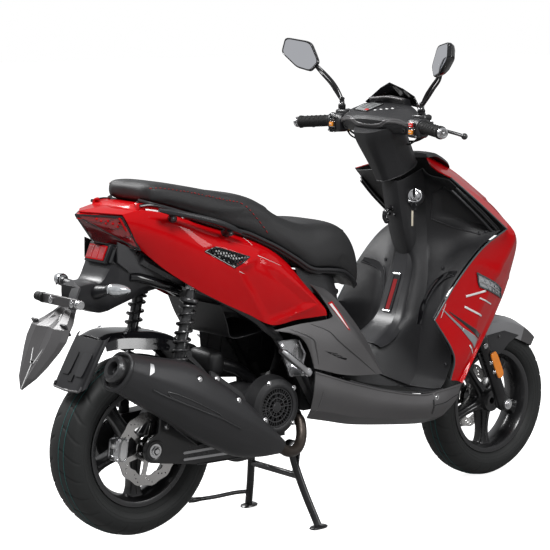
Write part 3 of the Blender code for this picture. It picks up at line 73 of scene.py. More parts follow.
SHIFT = Vector((-0.61275, 0.0, 0.0))
ACROSS = Vector((0.0, 1.0, 0.0))
AHEAD = Vector((1.0, 0.0, 0.0))
UP = Vector((0.0, 0.0, 1.0))
RAKE = math.radians(25.5)
STEER_UP = Vector((-math.sin(RAKE), 0.0, math.cos(RAKE)))
STEER_AHEAD = Vector((math.cos(RAKE), 0.0, math.sin(RAKE)))
STEER_POINT = Vector((0.955, 0.0, 0.960))
REAR_AXLE = Vector((0.0, 0.0, 0.2945))
FRONT_AXLE = Vector((1.336, 0.0, 0.2368))
SHOCK_TOP = Vector((0.118, 0.0, 0.725))
SHOCK_FOOT = Vector((0.040, 0.0, 0.385))
SIDES = (("left", 1.0), ("right", -1.0))


# ---- materials --------------------------------------------------------------------
MATERIALS = {}


def surface(name, colour, rough, metal=0.0, coat=0.0, grain=0.0, grain_scale=900.0, cells=False,
            vary=0.12, vary_scale=14.0, rough_vary=0.12, specular=0.5, transmission=0.0, wear=0.0):
    """A shader with fine grain in its bump, broad changes of colour and gloss, and worn edges."""
    mat = bpy.data.materials.new(name)
    mat.use_nodes = True
    nodes = mat.node_tree.nodes
    links = mat.node_tree.links
    shader = nodes["Principled BSDF"]
    shader.inputs["Metallic"].default_value = metal
    shader.inputs["Coat Weight"].default_value = coat
    shader.inputs["Coat Roughness"].default_value = 0.04
    shader.inputs["Specular IOR Level"].default_value = specular
    shader.inputs["Transmission Weight"].default_value = transmission
    place = nodes.new("ShaderNodeTexCoord")
    broad = nodes.new("ShaderNodeTexNoise")
    broad.inputs["Scale"].default_value = vary_scale
    broad.inputs["Detail"].default_value = 4.0
    links.new(place.outputs["Object"], broad.inputs["Vector"])
    tint = nodes.new("ShaderNodeMix")
    tint.data_type = "RGBA"
    tint.inputs["A"].default_value = (*[c * (1.0 - vary) for c in colour], 1.0)
    tint.inputs["B"].default_value = (*[min(1.0, c * (1.0 + vary)) for c in colour], 1.0)
    links.new(broad.outputs["Fac"], tint.inputs["Factor"])
    top = tint.outputs["Result"]
    if wear > 0.0:
        edge = nodes.new("ShaderNodeNewGeometry")
        ramp = nodes.new("ShaderNodeMapRange")
        ramp.inputs["From Min"].default_value = 0.515
        ramp.inputs["From Max"].default_value = 0.60
        ramp.inputs["To Max"].default_value = wear
        links.new(edge.outputs["Pointiness"], ramp.inputs["Value"])
        worn = nodes.new("ShaderNodeMix")
        worn.data_type = "RGBA"
        worn.inputs["B"].default_value = (0.32, 0.32, 0.33, 1.0)
        links.new(ramp.outputs["Result"], worn.inputs["Factor"])
        links.new(top, worn.inputs["A"])
        top = worn.outputs["Result"]
    links.new(top, shader.inputs["Base Color"])
    gloss = nodes.new("ShaderNodeMapRange")
    gloss.inputs["To Min"].default_value = max(0.02, rough - rough_vary * rough)
    gloss.inputs["To Max"].default_value = min(1.0, rough + rough_vary * rough)
    links.new(broad.outputs["Fac"], gloss.inputs["Value"])
    links.new(gloss.outputs["Result"], shader.inputs["Roughness"])
    if grain > 0.0:
        kind = "ShaderNodeTexVoronoi" if cells else "ShaderNodeTexNoise"
        fine = nodes.new(kind)
        fine.inputs["Scale"].default_value = grain_scale
        links.new(place.outputs["Object"], fine.inputs["Vector"])
        bump = nodes.new("ShaderNodeBump")
        bump.inputs["Strength"].default_value = grain
        bump.inputs["Distance"].default_value = 0.0006
        links.new(fine.outputs[0], bump.inputs["Height"])
        links.new(bump.outputs["Normal"], shader.inputs["Normal"])
    MATERIALS[name] = mat
    return mat


RED = surface("red_gloss", (0.520, 0.0015, 0.004), 0.36, coat=0.45, grain=0.04, grain_scale=240.0, vary=0.05,
              specular=0.04)
# A darker copy of the body red, used only in the tunnel's recessed strip: painted shade.
RED_IN_PAINTED_SHADE = surface("red_painted_shade", (0.240, 0.001, 0.003), 0.36, coat=0.6, grain=0.04, grain_scale=240.0,
                   specular=0.15)
BLACK = surface("black_grained", (0.014, 0.014, 0.0155), 0.46, grain=0.35, grain_scale=1500.0, cells=True,
                wear=0.05)
SATIN = surface("black_satin", (0.016, 0.016, 0.018), 0.34, grain=0.12, grain_scale=1100.0, wear=0.05)
GLOSS_BLACK = surface("black_gloss", (0.006, 0.006, 0.007), 0.12, coat=0.6, vary=0.2)
GUNMETAL = surface("gunmetal_satin", (0.098, 0.095, 0.097), 0.36, metal=0.35, grain=0.10, grain_scale=900.0,
                   wear=0.05)
STEEL = surface("black_steel", (0.010, 0.010, 0.011), 0.28, metal=0.25, coat=0.35, grain=0.15,
                grain_scale=420.0, wear=0.15)
CAST = surface("black_cast", (0.013, 0.013, 0.014), 0.42, metal=0.3, grain=0.7, grain_scale=620.0, wear=0.12)
ALLOY = surface("cast_alloy", (0.52, 0.52, 0.53), 0.34, metal=1.0, grain=0.6, grain_scale=520.0, vary=0.2)
BRIGHT = surface("bright_steel", (0.72, 0.72, 0.73), 0.16, metal=1.0, grain=0.1, grain_scale=300.0)
DISC = surface("ground_disc", (0.62, 0.61, 0.60), 0.24, metal=1.0, grain=0.35, grain_scale=160.0)
RUBBER = surface("rubber", (0.010, 0.010, 0.010), 0.62, grain=0.3, grain_scale=900.0, specular=0.3)
TYRE = surface("tyre_rubber", (0.017, 0.018, 0.018), 0.60, grain=0.25, grain_scale=700.0, specular=0.35,
               vary=0.25)
TEAL = surface("tyre_line", (0.010, 0.120, 0.115), 0.7, grain=0.2)
VINYL = surface("seat_vinyl", (0.019, 0.019, 0.020), 0.52, grain=0.6, grain_scale=780.0, cells=True,
                vary=0.18, specular=0.45)
THREAD = surface("red_thread", (0.42, 0.012, 0.012), 0.7, grain=0.5, grain_scale=1400.0)
CHARCOAL = surface("charcoal_coat", (0.030, 0.030, 0.032), 0.42, metal=0.3, grain=0.35, grain_scale=1300.0)
LENS = surface("red_lens", (0.340, 0.004, 0.008), 0.08, coat=1.0, vary=0.3, vary_scale=60.0)
LENS_DARK = surface("red_lens_deep", (0.120, 0.002, 0.004), 0.10, coat=1.0, vary=0.4, vary_scale=80.0)
CLEAR = surface("clear_lens", (0.62, 0.64, 0.66), 0.10, metal=0.55, coat=1.0, vary=0.35, vary_scale=120.0)
REFLECTOR = surface("red_reflector", (0.46, 0.030, 0.035), 0.22, coat=1.0, grain=0.9, grain_scale=420.0,
                    cells=True)
ORANGE = surface("orange_reflector", (0.90, 0.26, 0.01), 0.2, coat=1.0, grain=0.9, grain_scale=420.0,
                 cells=True)
AMBER = surface("amber_switch", (0.86, 0.30, 0.02), 0.35, coat=0.3)
RED_SWITCH = surface("red_switch", (0.62, 0.015, 0.012), 0.35, coat=0.3)
WHITE = surface("white_film", (0.80, 0.80, 0.80), 0.30, coat=0.8, vary=0.03)
SILVER = surface("silver_film", (0.36, 0.41, 0.43), 0.30, metal=0.5, coat=0.8)
EDGE_LINE = surface("grey_edge", (0.060, 0.075, 0.080), 0.4, grain=0.1)
MIRROR = surface("mirror_glass", (0.93, 0.94, 0.98), 0.05, metal=1.0, vary=0.02)
SILVER_PAINT = surface("silver_grey_paint", (0.30, 0.30, 0.31), 0.32, metal=0.5, coat=0.4, grain=0.08)
DISPLAY = surface("display_glass", (0.30, 0.31, 0.31), 0.12, coat=1.0, vary=0.08)
BRASS = surface("brass_end", (0.60, 0.42, 0.18), 0.35, metal=1.0, grain=0.3)
CREAM = surface("cream_fob", (0.66, 0.60, 0.48), 0.5, grain=0.4, grain_scale=500.0, vary=0.25)


# ---- shape helpers ----------------------------------------------------------------
def catmull(points, steps, cuts=()):
    """A smooth line through every point; it keeps a corner at each index in cuts."""
    points = [Vector(point) for point in points]
    last = len(points) - 1
    line = []
    for i in range(last):
        b, c = points[i], points[i + 1]
        a = points[i - 1] if i > 0 and i not in cuts else b * 2 - c
        d = points[i + 2] if i + 2 <= last and i + 1 not in cuts else c * 2 - b
        for k in range(steps):
            t = k / steps
            line.append(0.5 * ((2 * b) + (c - a) * t + (2 * a - 5 * b + 4 * c - d) * t * t
                               + (3 * b - a - 3 * c + d) * t ** 3))
    line.append(points[-1])
    return line


def flip(points, side):
    return [Vector((p[0], p[1] * side, p[2])) for p in points]


def steer(forward, across, height):
    """A point ahead of the steering axis, across, at world height."""
    along = (height - STEER_POINT.z - STEER_AHEAD.z * forward) / STEER_UP.z
    return STEER_POINT + STEER_AHEAD * forward + ACROSS * across + STEER_UP * along


def fork_line(across, height):
    return FRONT_AXLE + ACROSS * across + STEER_UP * ((height - FRONT_AXLE.z) / STEER_UP.z)


def turn_y(degrees):
    return Matrix.Rotation(math.radians(degrees), 3, "Y")


def facing(normal, roll=0.0):
    """A rotation whose Z axis is normal."""
    turn = Vector(normal).to_track_quat("Z", "Y").to_matrix()
    return turn @ Matrix.Rotation(math.radians(roll), 3, "Z")


class Shape:
    """One visible piece under construction, with one material per index."""

    def __init__(self):
        self.bm = bmesh.new()

    def grid(self, rows, closed=False, holes=(), mat=0, caps=False):
        """Faces over rows of points; holes are (u0, u1, v0, v1) ranges of cells left out."""
        verts = [[self.bm.verts.new(point) for point in row] for row in rows]
        wide = len(verts[0])
        for i in range(len(verts) - 1):
            for j in range(wide if closed else wide - 1):
                if any(u0 <= i < u1 and v0 <= j < v1 for u0, u1, v0, v1 in holes):
                    continue
                k = (j + 1) % wide
                face = self.bm.faces.new((verts[i][j], verts[i][k], verts[i + 1][k], verts[i + 1][j]))
                face.material_index = mat(i, j) if callable(mat) else mat
        if caps:
            for row in (verts[0], verts[-1]):
                face = self.bm.faces.new(row)
                face.material_index = 0 if callable(mat) else mat
        return self

    def skin(self, columns, steps_u=8, steps_v=8, cuts_u=(), cuts_v=(), holes=(), mat=0):
        """A smooth surface through a cage of equal columns."""
        fine = [catmull(column, steps_v, cuts_v) for column in columns]
        rows = [catmull(row, steps_u, cuts_u) for row in zip(*fine)]
        cells = [(v0 * steps_v, v1 * steps_v, u0 * steps_u, u1 * steps_u) for u0, u1, v0, v1 in holes]
        return self.grid(rows, holes=cells, mat=mat)

    def loft(self, loops, smooth=0, mat=0, cuts=()):
        """A closed skin over loops of equal count; smooth adds loops in between."""
        if smooth:
            lines = [catmull(line, smooth, cuts) for line in zip(*loops)]
            loops = list(zip(*lines))
        return self.grid(loops, closed=True, caps=True, mat=mat)

    def tube(self, points, radius, sides=12, mat=0):
        """A round bar; radius is a number or one number per point."""
        points = [Vector(point) for point in points]
        radii = radius if isinstance(radius, (list, tuple)) else [radius] * len(points)
        normal = None
        rings = []
        for i, point in enumerate(points):
            run = (points[min(i + 1, len(points) - 1)] - points[max(i - 1, 0)]).normalized()
            if normal is None:
                normal = run.orthogonal().normalized()
            normal = (normal - run * normal.dot(run)).normalized()
            other = run.cross(normal)
            rings.append([point + (normal * math.cos(a) + other * math.sin(a)) * radii[i]
                          for a in (2.0 * math.pi * k / sides for k in range(sides))])
        return self.grid(rings, closed=True, caps=True, mat=mat)

    def rod(self, start, end, radius, end_radius=None, sides=24, mat=0, chamfer=0.0):
        start, end = Vector(start), Vector(end)
        tip = radius if end_radius is None else end_radius
        if chamfer > 0.0:
            run = (end - start).normalized() * chamfer
            return self.tube([start, start + run, end - run, end],
                             [radius - chamfer, radius, tip, tip - chamfer], sides, mat)
        return self.tube([start, end], [radius, tip], sides, mat)

    def lathe(self, profile, centre, axis=ACROSS, steps=48, mat=0, closed=True):
        """A (radius, along) outline swept round an axis."""
        turn = Vector(axis).to_track_quat("Z", "Y").to_matrix()
        rows = []
        for radius, along in profile:
            rows.append([Vector(centre) + turn @ Vector((radius * math.cos(a), radius * math.sin(a), along))
                         for a in (2.0 * math.pi * k / steps for k in range(steps))])
        if closed:
            rows.append(rows[0])
        self.grid(rows, closed=True, mat=mat)
        bmesh.ops.remove_doubles(self.bm, verts=self.bm.verts, dist=0.000005)
        return self

    def box(self, centre, size, turn=None, bevel=0.0, mat=0, taper=1.0):
        made = bmesh.ops.create_cube(self.bm, size=1.0)["verts"]
        frame_turn = Matrix.Translation(Vector(centre))
        if turn is not None:
            frame_turn = frame_turn @ turn.to_4x4()
        for vert in made:
            if vert.co.z > 0.0:
                vert.co.x *= taper
                vert.co.y *= taper
        bmesh.ops.transform(self.bm, matrix=frame_turn @ Matrix.Diagonal((*size, 1.0)), verts=made)
        faces = {face for vert in made for face in vert.link_faces}
        for face in faces:
            face.material_index = mat
        if bevel > 0.0:
            edges = {edge for vert in made for edge in vert.link_edges}
            bmesh.ops.bevel(self.bm, geom=list(edges), offset=bevel, segments=3, profile=0.6,
                            affect="EDGES", clamp_overlap=True, material=mat)
        return self

    def plate(self, outline, centre, u_axis, v_axis, low, high, mat=0, bevel=0.0):
        """A flat outline of (u, v) points given thickness along the normal of its plane."""
        u_axis, v_axis = Vector(u_axis), Vector(v_axis)
        normal = u_axis.cross(v_axis).normalized()
        base = [Vector(centre) + u_axis * u + v_axis * v for u, v in outline]
        lower = [self.bm.verts.new(point + normal * low) for point in base]
        upper = [self.bm.verts.new(point + normal * high) for point in base]
        faces = [self.bm.faces.new(list(reversed(lower))), self.bm.faces.new(upper)]
        count = len(base)
        for i in range(count):
            j = (i + 1) % count
            faces.append(self.bm.faces.new((lower[i], lower[j], upper[j], upper[i])))
        for face in faces:
            face.material_index = mat
        if bevel > 0.0:
            edges = {edge for face in faces[:2] for edge in face.edges}
            bmesh.ops.bevel(self.bm, geom=list(edges), offset=bevel, segments=2, affect="EDGES",
                            clamp_overlap=True, material=mat)
        return self

    def bolt(self, at, normal, radius=0.006, mat=0, height=0.005, socket=None):
        """A hexagon head on a washer, or with a recessed socket of another material."""
        at, normal = Vector(at), Vector(normal).normalized()
        self.rod(at, at + normal * height * 0.25, radius * 1.35, sides=20, mat=mat)
        sides = 20 if socket is not None else 6
        self.rod(at + normal * height * 0.2, at + normal * height, radius, radius * 0.92, sides=sides, mat=mat,
                 chamfer=height * 0.12)
        if socket is not None:
            self.rod(at + normal * height * 0.9, at + normal * height * 1.02, radius * 0.5, sides=6,
                     mat=socket)
        return self

    def ball(self, at, radius, mat=0, squash=1.0):
        made = bmesh.ops.create_uvsphere(self.bm, u_segments=20, v_segments=12, radius=radius)["verts"]
        for vert in made:
            vert.co.z *= squash
            vert.co += Vector(at)
        for face in {face for vert in made for face in vert.link_faces}:
            face.material_index = mat
        return self

    def done(self, name, body, materials, replaced=(), solid=0.0, offset=0.0, bevel=0.0,
             angle=32.0, level=0, weld=True, inner=0):
        if weld:
            bmesh.ops.remove_doubles(self.bm, verts=self.bm.verts, dist=0.000005)
        bmesh.ops.recalc_face_normals(self.bm, faces=self.bm.faces)
        mesh = bpy.data.meshes.new(name)
        self.bm.to_mesh(mesh)
        self.bm.free()
        mesh.shade_smooth()
        mesh.set_sharp_from_angle(angle=math.radians(angle))
        obj = bpy.data.objects.new(name, mesh)
        bpy.context.scene.collection.objects.link(obj)
        for mat in materials if isinstance(materials, (list, tuple)) else [materials]:
            mesh.materials.append(mat)
        if level:
            sub = obj.modifiers.new("Smooth", "SUBSURF")
            sub.levels = level
            sub.render_levels = level
        if solid > 0.0:
            thick = obj.modifiers.new("Thickness", "SOLIDIFY")
            thick.thickness = solid
            thick.offset = offset
            thick.material_offset = inner
        if bevel > 0.0:
            rounding = obj.modifiers.new("Rounding", "BEVEL")
            rounding.width = bevel
            rounding.segments = 3
            rounding.limit_method = "ANGLE"
            rounding.angle_limit = math.radians(angle)
            rounding.harden_normals = True
        obj.location = SHIFT
        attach(obj, body)
        if replaced:
            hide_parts(*([replaced] if isinstance(replaced, str) else replaced))
        return obj


def oval(centre, half_a, half_b, axis_a, axis_b, count=32, power=1.0):
    """A loop round centre; power below 1 squares the oval off."""
    loop = []
    for i in range(count):
        angle = 2.0 * math.pi * i / count
        a = math.copysign(abs(math.cos(angle)) ** power, math.cos(angle))
        b = math.copysign(abs(math.sin(angle)) ** power, math.sin(angle))
        loop.append(Vector(centre) + Vector(axis_a) * half_a * a + Vector(axis_b) * half_b * b)
    return loop


def tree_of(obj):
    """A search tree over a finished piece, in the bike frame."""
    depsgraph = bpy.context.evaluated_depsgraph_get()
    mesh = bpy.data.meshes.new_from_object(obj.evaluated_get(depsgraph))
    bm = bmesh.new()
    bm.from_mesh(mesh)
    tree = BVHTree.FromBMesh(bm)
    bm.free()
    return tree


def on_tree(tree, point, direction, lift):
    """The first hit from outside along direction, lifted off the surface against it."""
    direction = Vector(direction).normalized()
    start = Vector(point) - direction * 0.4
    hit, normal, _, _ = tree.ray_cast(start, direction)
    if hit is None:
        hit, normal, _, _ = tree.find_nearest(Vector(point))
    if normal.dot(direction) > 0.0:
        normal = -normal
    return hit + normal * lift


def decal(shape, tree, corners, direction, lift=0.0007, mat=0, steps=(14, 8)):
    """A thin film over a surface between four corners (a strip bends with what it lies on)."""
    a, b, c, d = [Vector(corner) for corner in corners]
    rows = []
    for i in range(steps[0] + 1):
        u = i / steps[0]
        row = []
        for j in range(steps[1] + 1):
            v = j / steps[1]
            flat = (a * (1 - u) + b * u) * (1 - v) + (d * (1 - u) + c * u) * v
            row.append(on_tree(tree, flat, direction, lift))
        rows.append(row)
    return shape.grid(rows, mat=mat)


# ---- wheels -----------------------------------------------------------------------
BEAD = 0.1589


def build_tyre(end, axle, radius, half_width, body, pitches):
    """A road tyre whose curved grooves are pressed into a fine grid."""
    half = [(radius, 0.0), (radius - 0.0015, 0.30), (radius - 0.0065, 0.58), (radius - 0.0200, 0.87),
            (radius - 0.0440, 1.0), (radius - 0.0640, 0.90)]
    outer = [(r, w * half_width) for r, w in half] + [(BEAD + 0.0035, 0.0405), (BEAD + 0.0005, 0.0340)]
    line = [(p.x, p.y) for p in catmull([(r, w, 0.0) for r, w in outer], 5)]
    profile = [(r, w) for r, w in reversed(line[1:])] + [(r, -w) for r, w in line]
    steps = pitches * 22
    rows = []
    for i in range(steps):
        angle = 2.0 * math.pi * i / steps
        out = Vector((math.cos(angle), 0.0, math.sin(angle)))
        row = []
        for r, w in profile:
            share = abs(w) / half_width
            on_tread = r > radius - 0.034
            sweep = 0.80 * (share ** 1.6) + (0.0 if w > 0 else 0.5)
            gap = abs((i / 22.0 - sweep + 0.5) % 1.0 - 0.5)
            deep = 0.0
            if on_tread and share > 0.16:
                deep = max(0.0, 1.0 - gap / 0.075) * 0.0034 * min(1.0, (share - 0.16) / 0.08)
            row.append(axle + out * (r - deep) + ACROSS * w)
        rows.append(row)
    rows.append(rows[0])
    shape = Shape()
    stripe = [abs(abs((profile[j][1] + profile[j + 1][1]) / 2.0) - half_width * share_at) < 0.0011
              for share_at in (0.36,) for j in range(len(profile) - 1)]
    lines = []
    for j in range(len(profile) - 1):
        mid = (profile[j][1] + profile[j + 1][1]) / 2.0
        lines.append(mid)
    marks = set()
    for target in (-0.50, -0.20):
        marks.add(min(range(len(lines)), key=lambda j: abs(lines[j] - target * half_width)))
    shape.grid(rows)
    shape.bm.verts.ensure_lookup_table()
    obj = shape.done(end + "_tyre_grooved", body, [TYRE], end + "_tyre", solid=0.004,
                     offset=-1.0, angle=50.0)
    thin = Shape()
    for target in (-0.46, -0.16):
        w = target * half_width
        at = min(profile, key=lambda p: abs(p[1] - w))
        ring = []
        for offset_w in (-0.0007, 0.0007):
            near = sorted(profile, key=lambda p: abs(p[1] - (at[1] + offset_w)))[:2]
            r = near[0][0] + 0.0004
            ring.append([axle + Vector((math.cos(a), 0.0, math.sin(a))) * r + ACROSS * (at[1] + offset_w)
                         for a in (2.0 * math.pi * k / 240 for k in range(240))])
        thin.grid(ring, closed=True)
    thin.done(end + "_tyre_lines", body, TEAL, solid=0.0005, offset=0.0)
    wall = Shape()
    for side in (-1.0, 1.0):
        for r in (radius - 0.046, radius - 0.052, 0.1755):
            at = min(profile, key=lambda p: abs(p[0] - r) + (0.0 if p[1] * side > 0 else 1.0))
            wall.lathe([(at[0] + 0.0010 * math.cos(k), at[1] + side * 0.0009 * math.sin(k) - side * 0.0002)
                        for k in (math.pi * q / 3.0 for q in range(6))], axle, ACROSS, 120)
    wall.done(end + "_tyre_ribs", body, TYRE)
    return obj


def build_rim(end, axle, body, disc_y):
    seat = 0.1585
    shape = Shape()
    outline = [(seat + 0.0035, 0.0460), (seat + 0.0035, 0.0440), (seat, 0.0420), (seat - 0.011, 0.006),
               (seat - 0.011, -0.006), (seat, -0.0420), (seat + 0.0035, -0.0440), (seat + 0.0035, -0.0460),
               (seat - 0.001, -0.0465), (seat - 0.010, -0.0440), (seat - 0.013, -0.0400),
               (seat - 0.023, -0.010), (seat - 0.024, 0.0), (seat - 0.023, 0.010), (seat - 0.013, 0.0400),
               (seat - 0.010, 0.0440), (seat - 0.001, 0.0465)]
    shape.lathe(outline, axle, ACROSS, 96)
    shape.lathe([(0.0345, 0.042), (0.0325, 0.046), (0.0240, 0.0465), (0.0105, 0.0440), (0.0105, -0.0440),
                 (0.0240, -0.0465), (0.0325, -0.046), (0.0345, -0.042)], axle, ACROSS, 48)
    for i in range(5):
        turn = Matrix.Rotation(math.radians(72.0 * i + 36.0), 3, "Y")
        loops = []
        for r, a, b in ((0.026, 0.024, 0.027), (0.045, 0.0185, 0.0245), (0.075, 0.0150, 0.0205),
                        (0.105, 0.0150, 0.0195), (0.128, 0.0190, 0.0205), (0.139, 0.0265, 0.0215)):
            loops.append([axle + turn @ (point - Vector((0, 0, 0)))
                          for point in oval((0.0, 0.0, r), a, b, AHEAD, ACROSS, 24, 0.45)])
        shape.loft(loops, smooth=3)
        for side in (-1.0, 1.0):
            rib = [axle + turn @ Vector((0.0, side * y, r)) for r, y in
                   ((0.034, 0.0265), (0.075, 0.0207), (0.105, 0.0197), (0.132, 0.0207))]
            shape.tube(catmull(rib, 4), 0.0032, 8)
    if end == "rear":
        shape.rod((0.0, -0.112, axle.z), (0.0, 0.086, axle.z), 0.0096, sides=24)
    shape.rod(axle + turn_y(10) @ Vector((0, 0, 0.128)) + ACROSS * 0.004,
              axle + turn_y(10) @ Vector((0, 0, 0.106)) + ACROSS * 0.010, 0.0036, 0.0030, 12, mat=1)
    shape.done(end + "_rim_spoked", body, [STEEL, RUBBER], end + "_rim", angle=35.0)

    side = math.copysign(1.0, disc_y)
    rotor = Shape()
    count = 200
    rows = []
    for share in (0.0, 1.0):
        row = []
        for i in range(count):
            a = 2.0 * math.pi * i / count
            wave = 0.0990 + 0.0020 * math.sin(a * 12.0)
            inner = 0.0700 + 0.0022 * math.sin(a * 12.0 + 0.6)
            r = inner * (1 - share) + wave * share
            row.append(axle + Vector((math.cos(a), 0.0, math.sin(a))) * r + ACROSS * disc_y)
        rows.append(row)
    rotor.grid(rows, closed=True)
    ring = rotor.done(end + "_rotor_ring", body, DISC, end + "_disc", solid=0.0038)
    drill = Shape()
    for i in range(36):
        a = 2.0 * math.pi * (i // 3) / 12 + 0.11 * (i % 3) - 0.10
        r = 0.0780 + 0.0068 * (i % 3)
        spot = axle + Vector((math.cos(a), 0.0, math.sin(a))) * r + ACROSS * disc_y
        drill.rod(spot - ACROSS * 0.004, spot + ACROSS * 0.004, 0.0022, sides=10)
    carve(ring, drill)
    carrier = Shape()
    carrier.lathe([(0.0370, -0.0018), (0.0370, 0.0018), (0.0106, 0.0018), (0.0106, -0.0018)],
                  axle + ACROSS * disc_y, ACROSS, 48)
    for i in range(6):
        turn = Matrix.Rotation(math.radians(60.0 * i + 10.0), 3, "Y")
        arm = [(-0.0085, 0.030), (0.0085, 0.030), (0.0075, 0.052), (0.0120, 0.074), (-0.0030, 0.076),
               (-0.0055, 0.052)]
        carrier.plate(arm, axle + ACROSS * disc_y, turn @ AHEAD, turn @ UP, -0.0017, 0.0017, bevel=0.0005)
        spot = axle + turn @ Vector((0.0, 0.0, 0.0260)) + ACROSS * (disc_y + 0.0015 * side)
        carrier.bolt(spot, ACROSS * side, 0.0042, mat=1, height=0.004, socket=2)
    carrier.done(end + "_rotor_carrier", body, [DISC, BRIGHT, GLOSS_BLACK])


def carve(obj, cutter_shape):
    """Cuts one shape out of a finished piece and applies the cut."""
    bm = cutter_shape.bm
    bmesh.ops.recalc_face_normals(bm, faces=bm.faces)
    mesh = bpy.data.meshes.new(obj.name + "_cut")
    bm.to_mesh(mesh)
    bm.free()
    tool = bpy.data.objects.new(mesh.name, mesh)
    tool.location = SHIFT
    bpy.context.scene.collection.objects.link(tool)
    step = obj.modifiers.new("Cut", "BOOLEAN")
    step.operation = "DIFFERENCE"
    step.solver = "EXACT"
    step.object = tool
    bpy.context.view_layer.update()
    depsgraph = bpy.context.evaluated_depsgraph_get()
    result = bpy.data.meshes.new_from_object(obj.evaluated_get(depsgraph))
    obj.modifiers.clear()
    obj.data = result
    result.shade_smooth()
    result.set_sharp_from_angle(angle=math.radians(32.0))
    bpy.data.objects.remove(tool, do_unlink=True)


build_tyre("rear", REAR_AXLE, 0.2435, 0.0650, "rear_wheel", 26)
build_tyre("front", FRONT_AXLE, 0.2365, 0.0590, "front_wheel", 26)
build_rim("rear", REAR_AXLE, "rear_wheel", -0.0720)
build_rim("front", FRONT_AXLE, "front_wheel", 0.0600)


# ---- red side panels --------------------------------------------------------------
PANEL_COLUMNS = [
    [(-0.158, 0.003, 0.930), (-0.092, 0.096, 0.925), (-0.082, 0.102, 0.906),
     (-0.070, 0.102, 0.884), (-0.055, 0.099, 0.860), (-0.040, 0.094, 0.836)],
    [(-0.070, 0.004, 0.937), (-0.030, 0.106, 0.932), (-0.012, 0.122, 0.905),
     (0.000, 0.128, 0.868), (0.015, 0.122, 0.822), (0.030, 0.112, 0.775)],
    [(0.040, 0.090, 0.918), (0.060, 0.122, 0.911), (0.070, 0.142, 0.885),
     (0.085, 0.152, 0.835), (0.100, 0.146, 0.780), (0.115, 0.132, 0.718)],
    [(0.150, 0.098, 0.884), (0.160, 0.126, 0.873), (0.165, 0.150, 0.850),
     (0.185, 0.166, 0.800), (0.195, 0.160, 0.740), (0.200, 0.144, 0.672)],
    [(0.250, 0.106, 0.852), (0.255, 0.130, 0.841), (0.258, 0.155, 0.818),
     (0.270, 0.175, 0.770), (0.278, 0.168, 0.710), (0.280, 0.150, 0.634)],
    [(0.350, 0.110, 0.815), (0.355, 0.131, 0.805), (0.357, 0.154, 0.782),
     (0.360, 0.174, 0.735), (0.360, 0.170, 0.670), (0.360, 0.152, 0.597)],
    [(0.425, 0.112, 0.770), (0.430, 0.128, 0.758), (0.435, 0.148, 0.735),
     (0.440, 0.166, 0.700), (0.442, 0.166, 0.650), (0.445, 0.152, 0.602)],
    [(0.472, 0.108, 0.722), (0.482, 0.122, 0.708), (0.490, 0.140, 0.690),
     (0.500, 0.155, 0.665), (0.508, 0.158, 0.635), (0.512, 0.150, 0.602)],
    [(0.508, 0.110, 0.683), (0.520, 0.120, 0.668), (0.532, 0.134, 0.652),
     (0.545, 0.145, 0.632), (0.555, 0.150, 0.616), (0.560, 0.149, 0.602)],
]
VENT = [(0.125, 0.819), (0.160, 0.828), (0.268, 0.793), (0.216, 0.768)]
FACET = [(0.294, 0.789), (0.222, 0.765), (0.337, 0.596), (0.500, 0.650)]


